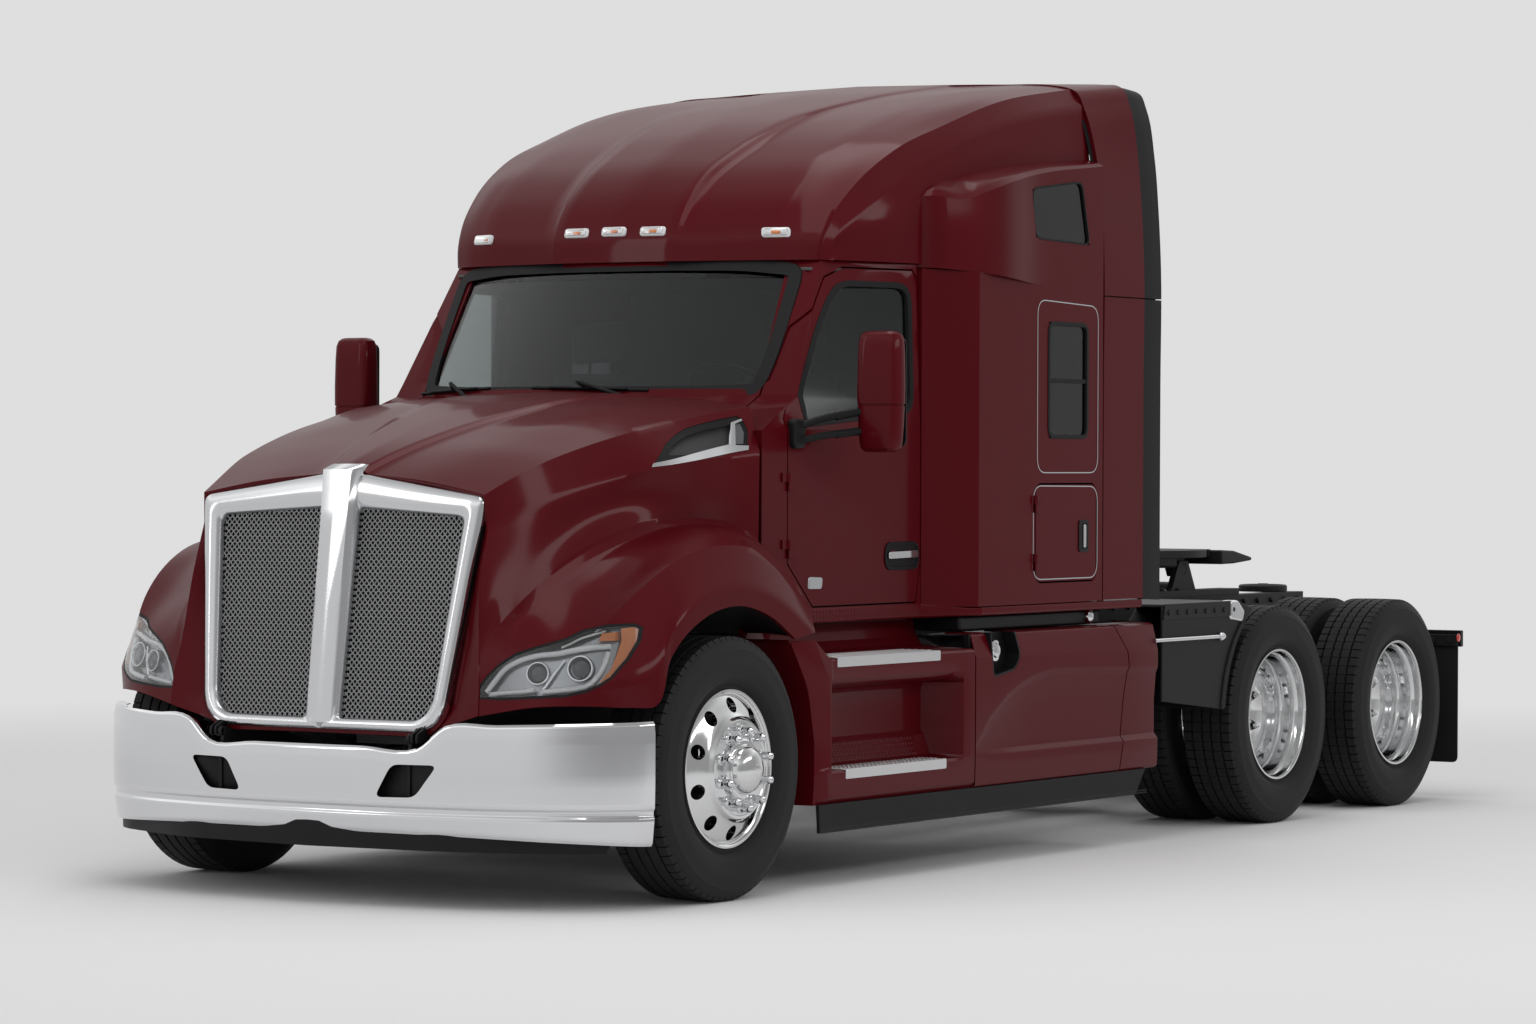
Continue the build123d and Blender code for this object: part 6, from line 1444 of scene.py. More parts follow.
beads = [bead("bead", stations(corners), .07, .0045) for corners in (BEAD_WINDOW, BEAD_DOOR)]
both_sides("sleeper_beads", beads, "chrome")
latch_edge = rounded(stations(LATCH), .016)
latch_frame = soften(band("latch", latch_edge, inset(latch_edge, .014), "X", WALL_X - .004,
                          WALL_X + .0045), .002)
latch_floor = prism("latch_floor", inset(latch_edge, .008), "X", WALL_X - .006, WALL_X + .0012)
latch_grip = slab(stations(rect(2.797, 1.280, 2.818, 1.378)), .008, "X", WALL_X + .001,
                  WALL_X + .006, .002)
pair("luggage_latch", [latch_frame, latch_floor], "black_plastic", "locker", angle=40)
pair("luggage_grip", [latch_grip], "chrome", "locker", angle=None)

# %% [markdown]
# ## Tyres
# A truck tyre is a smooth bulged sidewall under a belt of ribs. The body is spun from its
# section. One pitch of the tread is drawn once, and Geometry Nodes repeats it round the axle and
# welds the ribs. Steered tyres have plain ribs with cut shoulders, driven ones have zigzag ribs
# cut into blocks.

# %% Repeating round an axle
ring_tree, given, result = new_group(
    "round_the_axle", "Geometry",
    (("Piece", "Geometry"), ("Count", "Int", 10), ("Weld", "Float", 0.0002),
     ("Finish", "Material")),
    (("Geometry", "Geometry"),))
line = add_node(ring_tree, "GeometryNodeMeshLine", {"Offset": (0, 0, 0), "Count": given["Count"]})
number = add_node(ring_tree, "GeometryNodeInputIndex")
share = math_node(ring_tree, "DIVIDE", number.outputs[0], given["Count"])
roll = combined(ring_tree, X=math_node(ring_tree, "MULTIPLY", share, 2 * math.pi))
repeat = add_node(ring_tree, "GeometryNodeInstanceOnPoints", {
    "Points": line.outputs[0], "Instance": given["Piece"], "Rotation": roll})
real = add_node(ring_tree, "GeometryNodeRealizeInstances", {0: repeat.outputs[0]})
weld = add_node(ring_tree, "GeometryNodeMergeByDistance", {
    "Geometry": real.outputs[0], "Distance": given["Weld"]})
painted(ring_tree, weld.outputs[0], given, result)

def around(piece, count, finish, centre):
    """Repeats a piece round the X axis, then moves the ring to its centre."""
    run_group(piece, ring_tree, {"Count": count, "Finish": FINISHES[finish]})
    piece.data.transform(Matrix.Translation(centre))
    return piece

# %% [markdown]
# ## One tread pitch, drawn once
# The tyre's body is a turned section. A pitch of tread has one block a rib, and driven tyres have
# their blocks cut apart and staggered.

# %% Tyres
# middles of the steered, outer and inner tyres
FRONT_X, OUTER_X, INNER_X = 1.127, 1.109, 0.767
FIRST_STATION, HUB_Z = 4.66, .495                      # the first drive axle
FIRST_Y, SECOND_Y = AXLE_Y + FIRST_STATION, AXLE_Y + 5.945
PITCHES = 72
# half of the tyre's body: across, radius
SIDEWALL = ((.104, .2868), (.106, .311), (.119, .321), (.130, .335), (.1335, .340), (.1345, .345),
            (.1392, .362), (.1415, .385), (.1422, .395), (.1412, .402), (.1405, .425),
            (.1378, .443), (.1382, .447), (.1358, .452), (.130, .466), (.1225, .478),
            (.1165, .4825))
RIBS = ((-.1165, -.0755), (-.0665, -.0265), (-.0175, .0175), (.0265, .0665), (.0755, .1165))

SHOULDER_X, SHOULDER_R = .1228, .477          # where the outer ribs meet the sidewall
GROOVE_R, CROWN_R = .4805, .4948             # the grooves' floor, and the tread's middle

def tread_pitch(slit, zigzag):
    """One pitch of tread about the X axis: a block a rib, its end walls and its zigzag sides."""
    work = bmesh.new()
    for left, right in RIBS:
        shoulder = abs(left + right) > .15
        gap = max(slit, .13 if shoulder else 0)
        sections = []
        for share in (-1, 0, 1):
            angle = math.pi / PITCHES * share * (1 - gap)
            shift = 0 if shoulder else zigzag * (1 if share else -1)
            first, last = left < -.1, right > .1
            foot_l = -SHOULDER_X if first else left - .002
            foot_r = SHOULDER_X if last else right + .002
            section = []
            for x, radius in ((foot_l, SHOULDER_R if first else GROOVE_R),
                              (left + (.004 if first else 0), 0),
                              (right - (.004 if last else 0), 0),
                              (foot_r, SHOULDER_R if last else GROOVE_R)):
                radius = radius or CROWN_R - .13 * x * x
                x += shift
                section.append(work.verts.new((x, radius * math.sin(angle),
                                               radius * math.cos(angle))))
            sections.append(section)
        for first, second in zip(sections, sections[1:]):
            for i in range(3):
                work.faces.new((first[i], first[i + 1], second[i + 1], second[i]))
        if gap:
            work.faces.new(list(reversed(sections[0])))
            work.faces.new(sections[-1])
    return mesh_piece("tread", work)

def tyre_at(centre, slit, zigzag):
    """A whole tyre: the spun body and its ring of tread."""
    section = [(radius, x) for x, radius in SIDEWALL]
    section += [(radius, -x) for radius, x in reversed(section)]
    body = spin("tyre_body", section + section[:1], centre, (1, 0, 0), PITCHES)
    return join("tyre", [body, around(tread_pitch(slit, zigzag), PITCHES, "tyre", centre)])

TYRE_SETS = (    # CAD node, body, centres, slit between blocks, zigzag
    ("front_tyre", "front_wheel", ((FRONT_X, AXLE_Y),), 0.0, 0.0),
    ("first_drive_tyres", "first_drive", ((OUTER_X, FIRST_Y), (INNER_X, FIRST_Y)), .05, .0022),
    ("second_drive_tyres", "second_drive", ((OUTER_X, SECOND_Y), (INNER_X, SECOND_Y)), .05, .0022))
for node, body, centres, slit, zigzag in TYRE_SETS:
    tyres = [tyre_at((x, y, TYRE_R), slit, zigzag) for x, y in centres]
    left = join(node + "_dressed_left", tyres)
    right = other_side(left, node + "_dressed_right")
    for piece, side in ((left, "_left"), (right, "_right")):
        finish_piece(piece, "tyre", body + side, (node + side,), 28)

# %% [markdown]
# ## Wheels
# Polished wheels are turned from one forging, so each is spun from its section and then drilled
# with ten hand holes. The steered disc stands out and the driven one lies deep in the dish. Ten
# tall covers stand on the studs round a stepped hub.

# %% Wheels
STEERED_SECTION = (    # radius, distance out from the tyre's middle
    (.2985, .095), (.2985, .114), (.2965, .118), (.289, .1185), (.2855, .116), (.2845, .108),
    (.279, .1055), (.276, .109), (.262, .117), (.240, .1275), (.215, .139), (.200, .1475),
    (.193, .155), (.189, .166), (.184, .1712), (.174, .1712), (.170, .1685), (.116, .1685),
    (.1145, .182), (.108, .187), (.095, .1875), (.0905, .191), (.088, .203), (.081, .2175),
    (.066, .230), (.045, .238), (.026, .241), (.021, .2415), (.0185, .2445), (.010, .245),
    (0, .245))
STEERED_BACK = ((0, .03), (.080, .03), (.086, .147), (.178, .147), (.200, .122), (.240, .104),
                (.262, .092), (.262, .06), (.238, .02), (.240, -.05), (.276, -.09), (.289, -.116),
                (.2985, -.116), (.2985, -.104), (.286, -.095), (.262, -.06), (.250, -.03),
                (.262, .03), (.283, .06), (.286, .093))
DRIVEN_SECTION = (    # radius, distance in from the outer tyre's middle, which is negative here
    (.2985, .098), (.2985, .112), (.2965, .1155), (.289, .116), (.286, .112), (.284, .097),
    (.281, .080), (.273, .072), (.2685, .063), (.267, .041), (.2655, .012), (.258, .004),
    (.255, -.005), (.252, -.04), (.250, -.072), (.242, -.088), (.233, -.108), (.222, -.124),
    (.205, -.133), (.190, -.139), (.178, -.1465), (.118, -.1465), (.1165, -.134), (.110, -.129),
    (.098, -.128), (.094, -.124), (.091, -.110), (.082, -.092), (.064, -.077), (.040, -.069),
    (.018, -.0655), (0, -.065))
DRIVEN_BACK = ((0, -.20), (.10, -.20), (.11, -.1705), (.182, -.1705), (.21, -.150), (.236, -.13),
               (.256, -.10), (.286, -.112), (.2985, -.112), (.2985, -.100), (.287, -.095),
               (.262, -.06), (.258, 0), (.275, .04), (.288, .090))
NUT = ((.0225, 0), (.0225, .004), (.018, .007), (.0165, .010), (.016, .030), (.0165, .032),
       (.0155, .047), (.012, .054), (.006, .0575), (0, .058))
NUT_RING_R, HOLES = 0.1429, 10
STEERED_FACE, DRIVEN_FACE = .1685, -.1465     # the bolt faces, from the tyre's middle
# ring, radius, ends
STEERED_HOLES, DRIVEN_HOLES = (.2385, .0285, .05, .2), (.209, .027, -.25, -.02)
DRUM = ((.204, 0), (.216, 0), (.216, .09), (.10, .09), (.10, .078), (.204, .078))

INNER_SECTION = STEERED_SECTION[:18] + ((.10, STEERED_FACE),) + STEERED_BACK[2:]

def drilled(name, section, centre, ring, radius, near, far):
    """A turned wheel with hand holes drilled along the axle."""
    wheel = spin(name, section + section[:1], centre, (1, 0, 0), 80)
    hole = spin("drill", rect(0, near, radius, far), (0, 0, ring), (1, 0, 0), 24)
    return carve(wheel, (), (around(hole, HOLES, "cast_black", centre),))

def nut_ring(centre, base):
    """Ten stud covers standing on a wheel's bolt face."""
    nut = spin("nut", NUT, (base, 0, NUT_RING_R), (1, 0, 0), 12)
    return around(nut, HOLES, "chrome", centre)

def drum_at(x, y):
    """The brake drum, from a place on the axle outwards."""
    return spin("drum", DRUM + DRUM[:1], (x, y, TYRE_R), (1, 0, 0), 48)

for label, y in (("front", AXLE_Y), ("first_drive", FIRST_Y), ("second_drive", SECOND_Y)):
    steered = label == "front"
    centre = (FRONT_X if steered else OUTER_X, y, TYRE_R)
    if steered:
        wheels = [drilled("wheel", STEERED_SECTION + STEERED_BACK, centre, *STEERED_HOLES)]
        nuts, drum = nut_ring(centre, STEERED_FACE), drum_at(FRONT_X - .062, y)
    else:
        inner_wheel = spin("inner_wheel", INNER_SECTION + INNER_SECTION[:1], (INNER_X, y, TYRE_R),
                           (1, 0, 0), 64)
        wheels = [drilled("wheel", DRIVEN_SECTION + DRIVEN_BACK, centre, *DRIVEN_HOLES),
                  inner_wheel]
        nuts, drum = nut_ring(centre, DRIVEN_FACE), drum_at(INNER_X - .01, y)
    node = "front_wheel" if steered else label + "_wheels"
    body = "front_wheel" if steered else label
    pair(node + "_turned", wheels, "polished_aluminium", body, (node,), angle=30)
    pair(label + "_stud_covers", [nuts], "chrome", body, (), angle=30)
    pair(label + "_drums", [drum], "cast_black", body, (), angle=30)

# %% [markdown]
# ## Step fairings
# Under each door the fairing is one moulding: a facet that follows the wheel, a deck, an upper
# step, a deep pocket with a lower step, and a foot. One section runs down the moulding. Each
# column carries it to a station, either out at the face or back in the pocket, and the folds are
# then rounded.

# %% Step fairings
FACE_X = 1.2495
STEP_SECTION = (    # height, X out on the face, X in the pocket
    (.996, .955, .955), (.930, .972, .972), (.897, .998, .998), (.889, 1.060, 1.060),
    (.884, 1.236, 1.236), (.872, FACE_X, FACE_X), (.800, FACE_X, 1.243), (.780, FACE_X, 1.228),
    (.768, FACE_X, 1.200), (.750, FACE_X, 1.090), (.730, FACE_X, 1.080), (.560, FACE_X, 1.078),
    (.540, FACE_X, 1.094), (.462, FACE_X, 1.124), (.452, FACE_X, 1.150), (.449, FACE_X, 1.240),
    (.436, FACE_X, FACE_X), (.345, 1.246, 1.246), (.319, 1.228, 1.228), (.318, 1.140, 1.140))
WHEEL_EDGE = ((.955, .455), (.85, .540), (.76, .585), (.66, .618), (.56, .632), (.45, .632),
              (.318, .622))
# height, station
FACET_EDGE = ((.955, .600), (.88, .655), (.80, .700), (.70, .715), (.56, .720), (.462, .720),
              (.449, .690), (.318, .712))

def station_at(edge, z):
    """Where an edge given by (height, station) runs at a height."""
    z = min(max(z, edge[-1][0]), edge[0][0])
    for (z1, y1), (z0, y0) in zip(edge, edge[1:]):
        if z >= z0:
            return y0 + (y1 - y0) * (z - z0) / (z1 - z0)
    return edge[-1][1]

def folded(name, columns, inside, radius, wall, cutters=()):
    """A folded panel from columns of (X, station, Z): rounded folds, a wall, then its openings."""
    grid = [[Vector((x, y + AXLE_Y, z)) for x, y, z in column] for column in columns]
    piece = panel(name, [grid], inside, mirror=False)
    edge = piece.modifiers.new("folds", "BEVEL")
    edge.width, edge.segments, edge.limit_method = radius, 3, "ANGLE"
    edge.angle_limit = math.radians(7)
    bpy.context.view_layer.update()
    return thicken(bake(piece), wall, cutters)

step_columns = []
for kind, x_shift in (("wheel", -.21), ("wheel", 0), ("facet", 0)):
    column = []
    for row, (z, x, deep) in enumerate(STEP_SECTION):
        z = max(z, .955) if row < 6 else z
        x = x if row > 5 else (1.0, 1.02, 1.05, 1.10, 1.215, FACE_X)[row]
        y = station_at(WHEEL_EDGE if kind == "wheel" else FACET_EDGE, z)
        x = min(x, 1.228) + x_shift if kind == "wheel" else x
        column.append((max(x, .99), y, z - (.001 * row if row < 5 else 0)))
    step_columns.append(column)
for y, deep in ((.724, False), (.742, True), (1.690, True), (1.742, False), (1.834, False)):
    step_columns.append([((pocket if deep else x), y, z) for z, x, pocket in STEP_SECTION])
INSIDE = (0, AXLE_Y + 1.2, .62)
steps = folded("step_moulding", step_columns, INSIDE, .006, .006)
both_sides("step_fairing_skins", [steps], "maroon_paint", "chassis", ("step_fairings",), 30)

# %% [markdown]
# ## Treads
# Each tread is a pressed plank with a folded front and rows of raised, pierced teeth that shed
# mud. One tooth has a few faces, and Geometry Nodes stamps it over the plank in rows.

# %% Stamped rows
stamp_tree, given, result = new_group(
    "stamped_rows", "Geometry",
    (("Piece", "Geometry"), ("Length", "Float", 0.7), ("Width", "Float", 0.1), ("Along", "Int", 24),
     ("Across", "Int", 3), ("Finish", "Material")),
    (("Geometry", "Geometry"),))
field = add_node(stamp_tree, "GeometryNodeMeshGrid", {
    "Size X": given["Length"], "Size Y": given["Width"], "Vertices X": given["Along"],
    "Vertices Y": given["Across"]})
repeat = add_node(stamp_tree, "GeometryNodeInstanceOnPoints", {
    "Points": field.outputs[0], "Instance": given["Piece"]})
real = add_node(stamp_tree, "GeometryNodeRealizeInstances", {0: repeat.outputs[0]})
painted(stamp_tree, real.outputs[0], given, result)
# length, width and height of a field that faces an axis
AXES = {"Z": ((0, 1, 0), (1, 0, 0), (0, 0, 1)), "X": ((0, 1, 0), (0, 0, 1), (1, 0, 0)),
        "Y": ((1, 0, 0), (0, 0, 1), (0, -1, 0))}

def stamped(profile, centre, facing, length, width, along, across, finish, steps=8):
    """Rows of one small turned shape over a field that faces an axis."""
    piece = spin("stamp", profile, (0, 0, 0), (0, 0, 1), steps)
    run_group(piece, stamp_tree, {
        "Length": length, "Width": width, "Along": along, "Across": across,
        "Finish": FINISHES[finish]})
    a, b, c = (Vector(v) for v in AXES[facing])
    if a.cross(b).dot(c) < 0:
        b = -b
    for vertex in piece.data.vertices:
        x, y, z = vertex.co
        vertex.co = Vector(centre) + a * x + b * y + c * z
    return piece

# %% [markdown]
# ## Step treads
# Two planks stand on the fairing's steps, each with its folded front, and carry five rows of
# teeth.

# %% Treads
# station from, to, inner X, top Z
TREADS = ((.766, 1.556, 1.070, .886), (.830, 1.606, 1.115, .451))
TREAD_FOLD = .040             # height of the folded front
TOOTH = ((.0105, 0), (.0085, .0028), (.0060, .0032), (.0045, .0010), (.0042, -.001))
planks, teeth = [], []
for start, end, inner_x, top in TREADS:
    corners = rounded(stations(rect(start, top - TREAD_FOLD, end, top)), .008)
    planks.append(soften(prism("fold", corners, "X", FACE_X - .004, FACE_X + .0004), .0012))
    corners = ((inner_x, start - .09 + AXLE_Y), (FACE_X - .002, start + AXLE_Y),
               (FACE_X - .002, end + AXLE_Y), (inner_x, end - .04 + AXLE_Y))
    planks.append(soften(prism("plank", corners, "Z", top - .004, top + .0008), .001))
    width = FACE_X - inner_x
    middle = (inner_x + width * .5, (start + end) / 2 + AXLE_Y - .02, top + .0008)
    teeth.append(stamped(TOOTH, middle, "Z", end - start - .05, width - .055, 25, 5,
                         "tread_metal"))
both_sides("step_tread_planks", planks, "tread_metal", "chassis", ("step_treads",), 30)
both_sides("step_tread_teeth", teeth, "tread_metal", "chassis", (), 50)
DIMPLE = ((.011, 0), (.009, .002), (.005, .0032), (0, .0035))
dimples = [stamped(DIMPLE, (1.086, AXLE_Y + 1.18, .500), "X", .80, .062, 36, 4, "maroon_paint")]
for vertex in dimples[0].data.vertices:
    vertex.co.x += (.540 - vertex.co.z) * .385 + .008

# %% [markdown]
# ## Tank fairings
# The panel over the fuel tank has a chamfer along its top, a swept crease with a scoop below it
# and a ledge near its foot. A separate cap with a kinked joint closes it before the drive wheels.
# A black pocket holds the filler cap.

# %% Tank fairings
# distance rearwards, distance out
SWEEP = ((1.843, .500), (1.958, .602), (2.107, .689), (2.236, .736), (2.344, .761), (2.498, .779),
         (2.765, .774), (3.16, .760), (3.46, .756))
# distance rearwards, depth of the scoop
SCOOP = ((1.843, 0), (1.958, .009), (2.107, .015), (2.236, .019), (3.16, .019), (3.46, .019))
# height, shift of the joint
SEAM_KINK = ((.945, .0), (.800, .098), (.470, .045), (.318, .010))
TANK_SEAM_Y, TANK_REAR_Y = 3.074, 3.4595

def between(table, value):
    """A value read from a table of rising (place, value) pairs."""
    value = min(max(value, table[0][0]), table[-1][0])
    for (a, left), (b, right) in zip(table, table[1:]):
        if value <= b:
            return left + (right - left) * (value - a) / (b - a)
    return table[-1][1]

def tank_column(y, kink=0.0, tuck=0.0):
    """One column of the tank fairing, from its top edge to its foot."""
    sweep, deep = between(SWEEP, y), between(SCOOP, y)
    crease = .846 - (y - 1.843) * .0135
    column = [(1.10, .9465), (1.206, .9455), (FACE_X - .026, .938), (FACE_X, crease),
              (FACE_X, sweep), (FACE_X - deep * .55, sweep - .028),
              (FACE_X - deep, (sweep + .475) / 2), (FACE_X - deep, .478), (FACE_X - deep, .470),
              (FACE_X, .447), (FACE_X - .003, .330), (FACE_X - .014, .319), (1.13, .318)]
    return [(x - tuck, y + kink * station_at(SEAM_KINK, z), z) for x, z in column]

tank_stations = [y for y, z in SWEEP[:7]]
columns = [tank_column(y, 1.0 if y > 3 else 0) for y in tank_stations + [TANK_SEAM_Y - .004]]
FILLER_HOLE = ((1.957, .960), (2.158, .960), (2.218, .846), (2.170, .786), (1.987, .759))
hole = rounded(stations(FILLER_HOLE), .030)
skins = [folded("tank_panel", columns, (0, AXLE_Y + 2.6, .62), .005, .006,
                [prism("hole", hole, "X", 1.0, 1.3)])]
columns = [tank_column(TANK_SEAM_Y + .004, 1.0)] + [tank_column(TANK_REAR_Y - .03)]
columns += [[(x, TANK_REAR_Y, z) for x, y, z in tank_column(TANK_REAR_Y, 0, .020)],
            [(x, TANK_REAR_Y, z) for x, y, z in tank_column(TANK_REAR_Y, 0, .200)]]
skins.append(folded("tank_cap", columns, (0, AXLE_Y + 3.2, .62), .006, .006))
both_sides("tank_fairing_skins", skins, "maroon_paint", "chassis", ("tank_fairings",), 30)
recess = carve(band("recess", hole, inset(hole, .009), "X", 1.165, FACE_X - .001), (),
               (prism("trim", stations(rect(1.9, .9445, 2.3, 1.0)), "X", 1.1, 1.3),))
recess_floor = carve(prism("recess_floor", inset(hole, .004), "X", 1.176, 1.188), (),
                     (prism("trim", stations(rect(1.9, .943, 2.3, 1.0)), "X", 1.1, 1.3),))
FILLER_CAP = ((.046, 0), (.046, .022), (.043, .028), (.030, .030), (.026, .036), (.012, .038),
              (0, .038))
seam_strip = prism("seam_strip", stations(rect(1.828, .34, 1.856, .94)), "X", 1.20, 1.222)
SEAM_BACK = ((TANK_SEAM_Y - .02, .33), (TANK_SEAM_Y + .04, .33), (TANK_SEAM_Y + .13, .80),
             (TANK_SEAM_Y + .02, .94), (TANK_SEAM_Y - .03, .94), (TANK_SEAM_Y + .06, .80))
kinked_strip = prism("seam_strip", stations(SEAM_BACK), "X", 1.190, 1.205)
blacks = [recess, recess_floor, seam_strip, kinked_strip]
both_sides("tank_fairing_pockets", blacks, "black_plastic", angle=30)
filler = spin("filler", FILLER_CAP, (1.188, AXLE_Y + 2.060, .868), (1, 0, 0), 32)
both_sides("fuel_filler_caps", [filler], "chrome", angle=30)

# %% [markdown]
# ## Sills
# A painted sill closes the body below the doors and the sleeper. It is one small section swept
# along the body's plan, out round the sleeper's front corner and back to the extender.

# %% Sills
SILL_PATH = ((1.052, .745), (1.052, 1.30), (1.052, 1.733), (1.066, 1.749), (1.190, 1.885),
             (1.2195, 1.94), (1.2195, 2.6), (1.2195, 3.335))
# from which edge, how far in, how far up
SILL_SECTION = (
    ("top", -.10, 0),
    ("top", -.004, 0),
    ("top", 0, -.004),
    ("foot", 0, .010),
    ("foot", -.006, .002),
    ("foot", -.10, 0))
SILL_HEIGHTS = ((.745, 1.067, 1.004), (1.733, 1.066, 1.004), (1.885, 1.049, 1.012),
                (3.335, 1.049, 1.012))
columns = []
for x, y in SILL_PATH:
    top = between([(s, t) for s, t, f in SILL_HEIGHTS], y)
    foot = between([(s, f) for s, t, f in SILL_HEIGHTS], y)
    columns.append([(x + back, y, (top if edge == "top" else foot) + up)
                    for edge, back, up in SILL_SECTION])
sill = folded("sill", columns, (0, AXLE_Y + 2, 1.03), .004, .004)
dimples.append(stamped(DIMPLE, (1.050, AXLE_Y + 1.02, 1.035), "X", .40, .036, 18, 3,
                       "maroon_paint"))
both_sides("cab_sills", [sill], "maroon_paint", angle=30)
both_sides("dimple_grips", dimples, "maroon_paint", angle=60)
DECK_BOX = rect(.90, 1.862, 1.16, 3.06)
under = prism("under_sleeper", [(x, y + AXLE_Y) for x, y in DECK_BOX], "Z", .950, 1.0108)
both_sides("under_sleeper_trays", [soften(under, .012)], "black_plastic", angle=None)
LAMP_DOME = ((.030, 0), (.030, .008), (.026, .016), (.016, .021), (0, .023))
side_lamp = spin("side_lamp", LAMP_DOME, (1.160, AXLE_Y + 2.955, .984), (1, 0, 0), 24)
both_sides("under_sleeper_lamps", [side_lamp], "chrome", angle=30)

# %% [markdown]
# ## Skirt lips
# Two fine beads run along the foot of the black skirt.

# %% Skirt lips
lips = [rod("lip", [(1.2425, AXLE_Y + y, z) for y in (.66, 3.34)], .0022, False)
        for z in (.216, .226)]
both_sides("skirt_lips", lips, "frame_black")

# %% [markdown]
# ## Wheel arches and hood hinge
# A black liner closes each arch over the wheel. It starts from the fender's own edge line, so it
# follows the painted lip, and it tilts away with the hood. Two ears carry the hood on its front
# hinge.

# %% Wheel arches and hood hinge
ARCH_LINE = dict(HOOD_LINES)["arch_edge"][3:]
liner_rows = []
for x, y, z in ARCH_LINE:
    liner_rows.append(((x - .006, y, z + .006), (x - .05, y * 1.02, z + .012),
                       (.95, y * 1.10, z + .016), (.70, y * 1.12, z + .010)))
liner = panel("liner", [sheet_grid(liner_rows, (), 4)], (.9, AXLE_Y, .5), mirror=False)
for polygon in liner.data.polygons:
    polygon.flip()
thicken(liner, .005)
ears = []
for x in (.452, .474):
    outline = rounded(stations(((-.918, .606), (-.882, .606), (-.790, .655), (-.755, .760),
                                (-.795, .760), (-.835, .672), (-.918, .640))), .014)
    ears.append(soften(prism("ear", outline, "X", x, x + .010), .002))
splash = slab(stations(((-.80, .40), (.50, .40), (.50, .985), (-.70, .985))), .04, "X", .486, .492,
              .002)
both_sides("splash_guards", [splash], "black_rubber", angle=None)
both_sides("hood_arch_liners", [liner], "black_plastic", "hood")
both_sides("hood_hinge_ears", ears, "frame_black", "hood", angle=None)

# %% [markdown]
# ## Frame fittings and quarter fenders
# Behind the cab the frame is open to view. Bolt heads run along the rails, stamped by the same
# tree as the treads. The quarter fenders' own band is bolted as well.

# %% Frame fittings
FENDER_X = 1.2352                     # the quarter fender's outer face
BOLT = ((.0135, 0), (.0135, .008), (.011, .011), (0, .011))
bolts = [stamped(BOLT, (.4302, AXLE_Y + 5.0, z), "X", 3.0, .0, 21, 1, "frame_black", 6)
         for z in (.965, .765)]
bolts += [stamped(BOLT, (.375, AXLE_Y + 5.06, 1.0305), "Z", .40, .05, 6, 2, "frame_black", 6),
          stamped(BOLT, (FENDER_X, AXLE_Y + 3.86, .985), "X", .62, 0, 8, 1, "cast_black", 6)]
both_sides("frame_bolts", bolts, "frame_black")
AIR_LID = ((.118, 0), (.120, .006), (.120, .028), (.114, .034), (.096, .036), (.090, .030),
           (.030, .030), (.026, .040), (0, .040))
lid = spin("lid", AIR_LID, (.305, AXLE_Y + 6.36, 1.0006), (0, 0, 1), 36)
both_sides("frame_top_fittings", [lid], "cast_black", angle=30)

# %% [markdown]
# ## Quarter fenders
# Each is a bent shell over the front of the first drive tyre, cut out of a block by two outlines.

# %% Quarter fenders
def tyre_arc(radius, low, high, steps=10):
    """Outline points along an arc about the first drive axle, from a high to a low height."""
    heights = [high + (low - high) * i / steps for i in range(steps + 1)]
    return [(FIRST_STATION - math.sqrt(radius**2 - (z - HUB_Z)**2), z) for z in heights]

shell = [(3.495, .600), (3.495, 1.000), (3.517, 1.022), (4.240, 1.022)] + tyre_arc(.565, .540, .985)
hollow = [(3.40, .40), (3.40, 1.008), (4.235, 1.008)] + tyre_arc(.578, .40, .975)
guard = prism("guard", stations(shell), "X", .66, FENDER_X)
carve(guard, (), [prism("hollow", stations(hollow), "X", .60, FENDER_X - .012)])
guard = soften(guard, .005)
fender_band = slab(stations(((3.497, .955), (4.150, .955), (4.150, 1.024), (3.512, 1.024))), .012,
                   "X", FENDER_X - .004, FENDER_X + .006, .003)
corner = rounded(stations(((4.140, .940), (4.262, .925), (4.285, .975), (4.215, 1.0255),
                           (4.140, 1.0255))), .018)
corner_cap = soften(prism("corner", corner, "X", 1.190, FENDER_X + .010), .012, 3)
strip = tyre_arc(.567, .545, .930)
strip += [(y - .040, z) for y, z in reversed(strip)]
edge_strip = soften(prism("edge_strip", stations(strip), "X", FENDER_X - .006, FENDER_X + .008),
                    .005)
grab = rod("grab", [(1.247, AXLE_Y + y, .868) for y in (3.40, 4.03)], .0100, False)
KNOB = ((0, 0), (.018, 0), (.020, .004), (.020, .028), (.016, .034), (0, .034))
knob = spin("knob", KNOB, (1.247, AXLE_Y + 4.02, .868), (0, 1, 0), 20)
foot = slab(rect(1.150, .858, 1.246, .878), .004, "Y", AXLE_Y + 4.025, AXLE_Y + 4.045, .003)
both_sides("quarter_fender_shells", [guard], "black_plastic", "chassis", ("quarter_fenders",),
           None)
both_sides("fender_bands", [fender_band], "frame_black", angle=None)
both_sides("fender_edges", [edge_strip], "black_rubber", angle=None)
both_sides("fender_corners", [corner_cap, grab, knob, foot], "chrome")

# %% [markdown]
# ## Coupling, tail lamps and mud flaps
# The coupling plate is a heavy casting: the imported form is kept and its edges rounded, with a
# skirt below its rim and two ramps behind it. Round red lamps sit on the tail bar and each flap
# hangs from a bolted clamp.

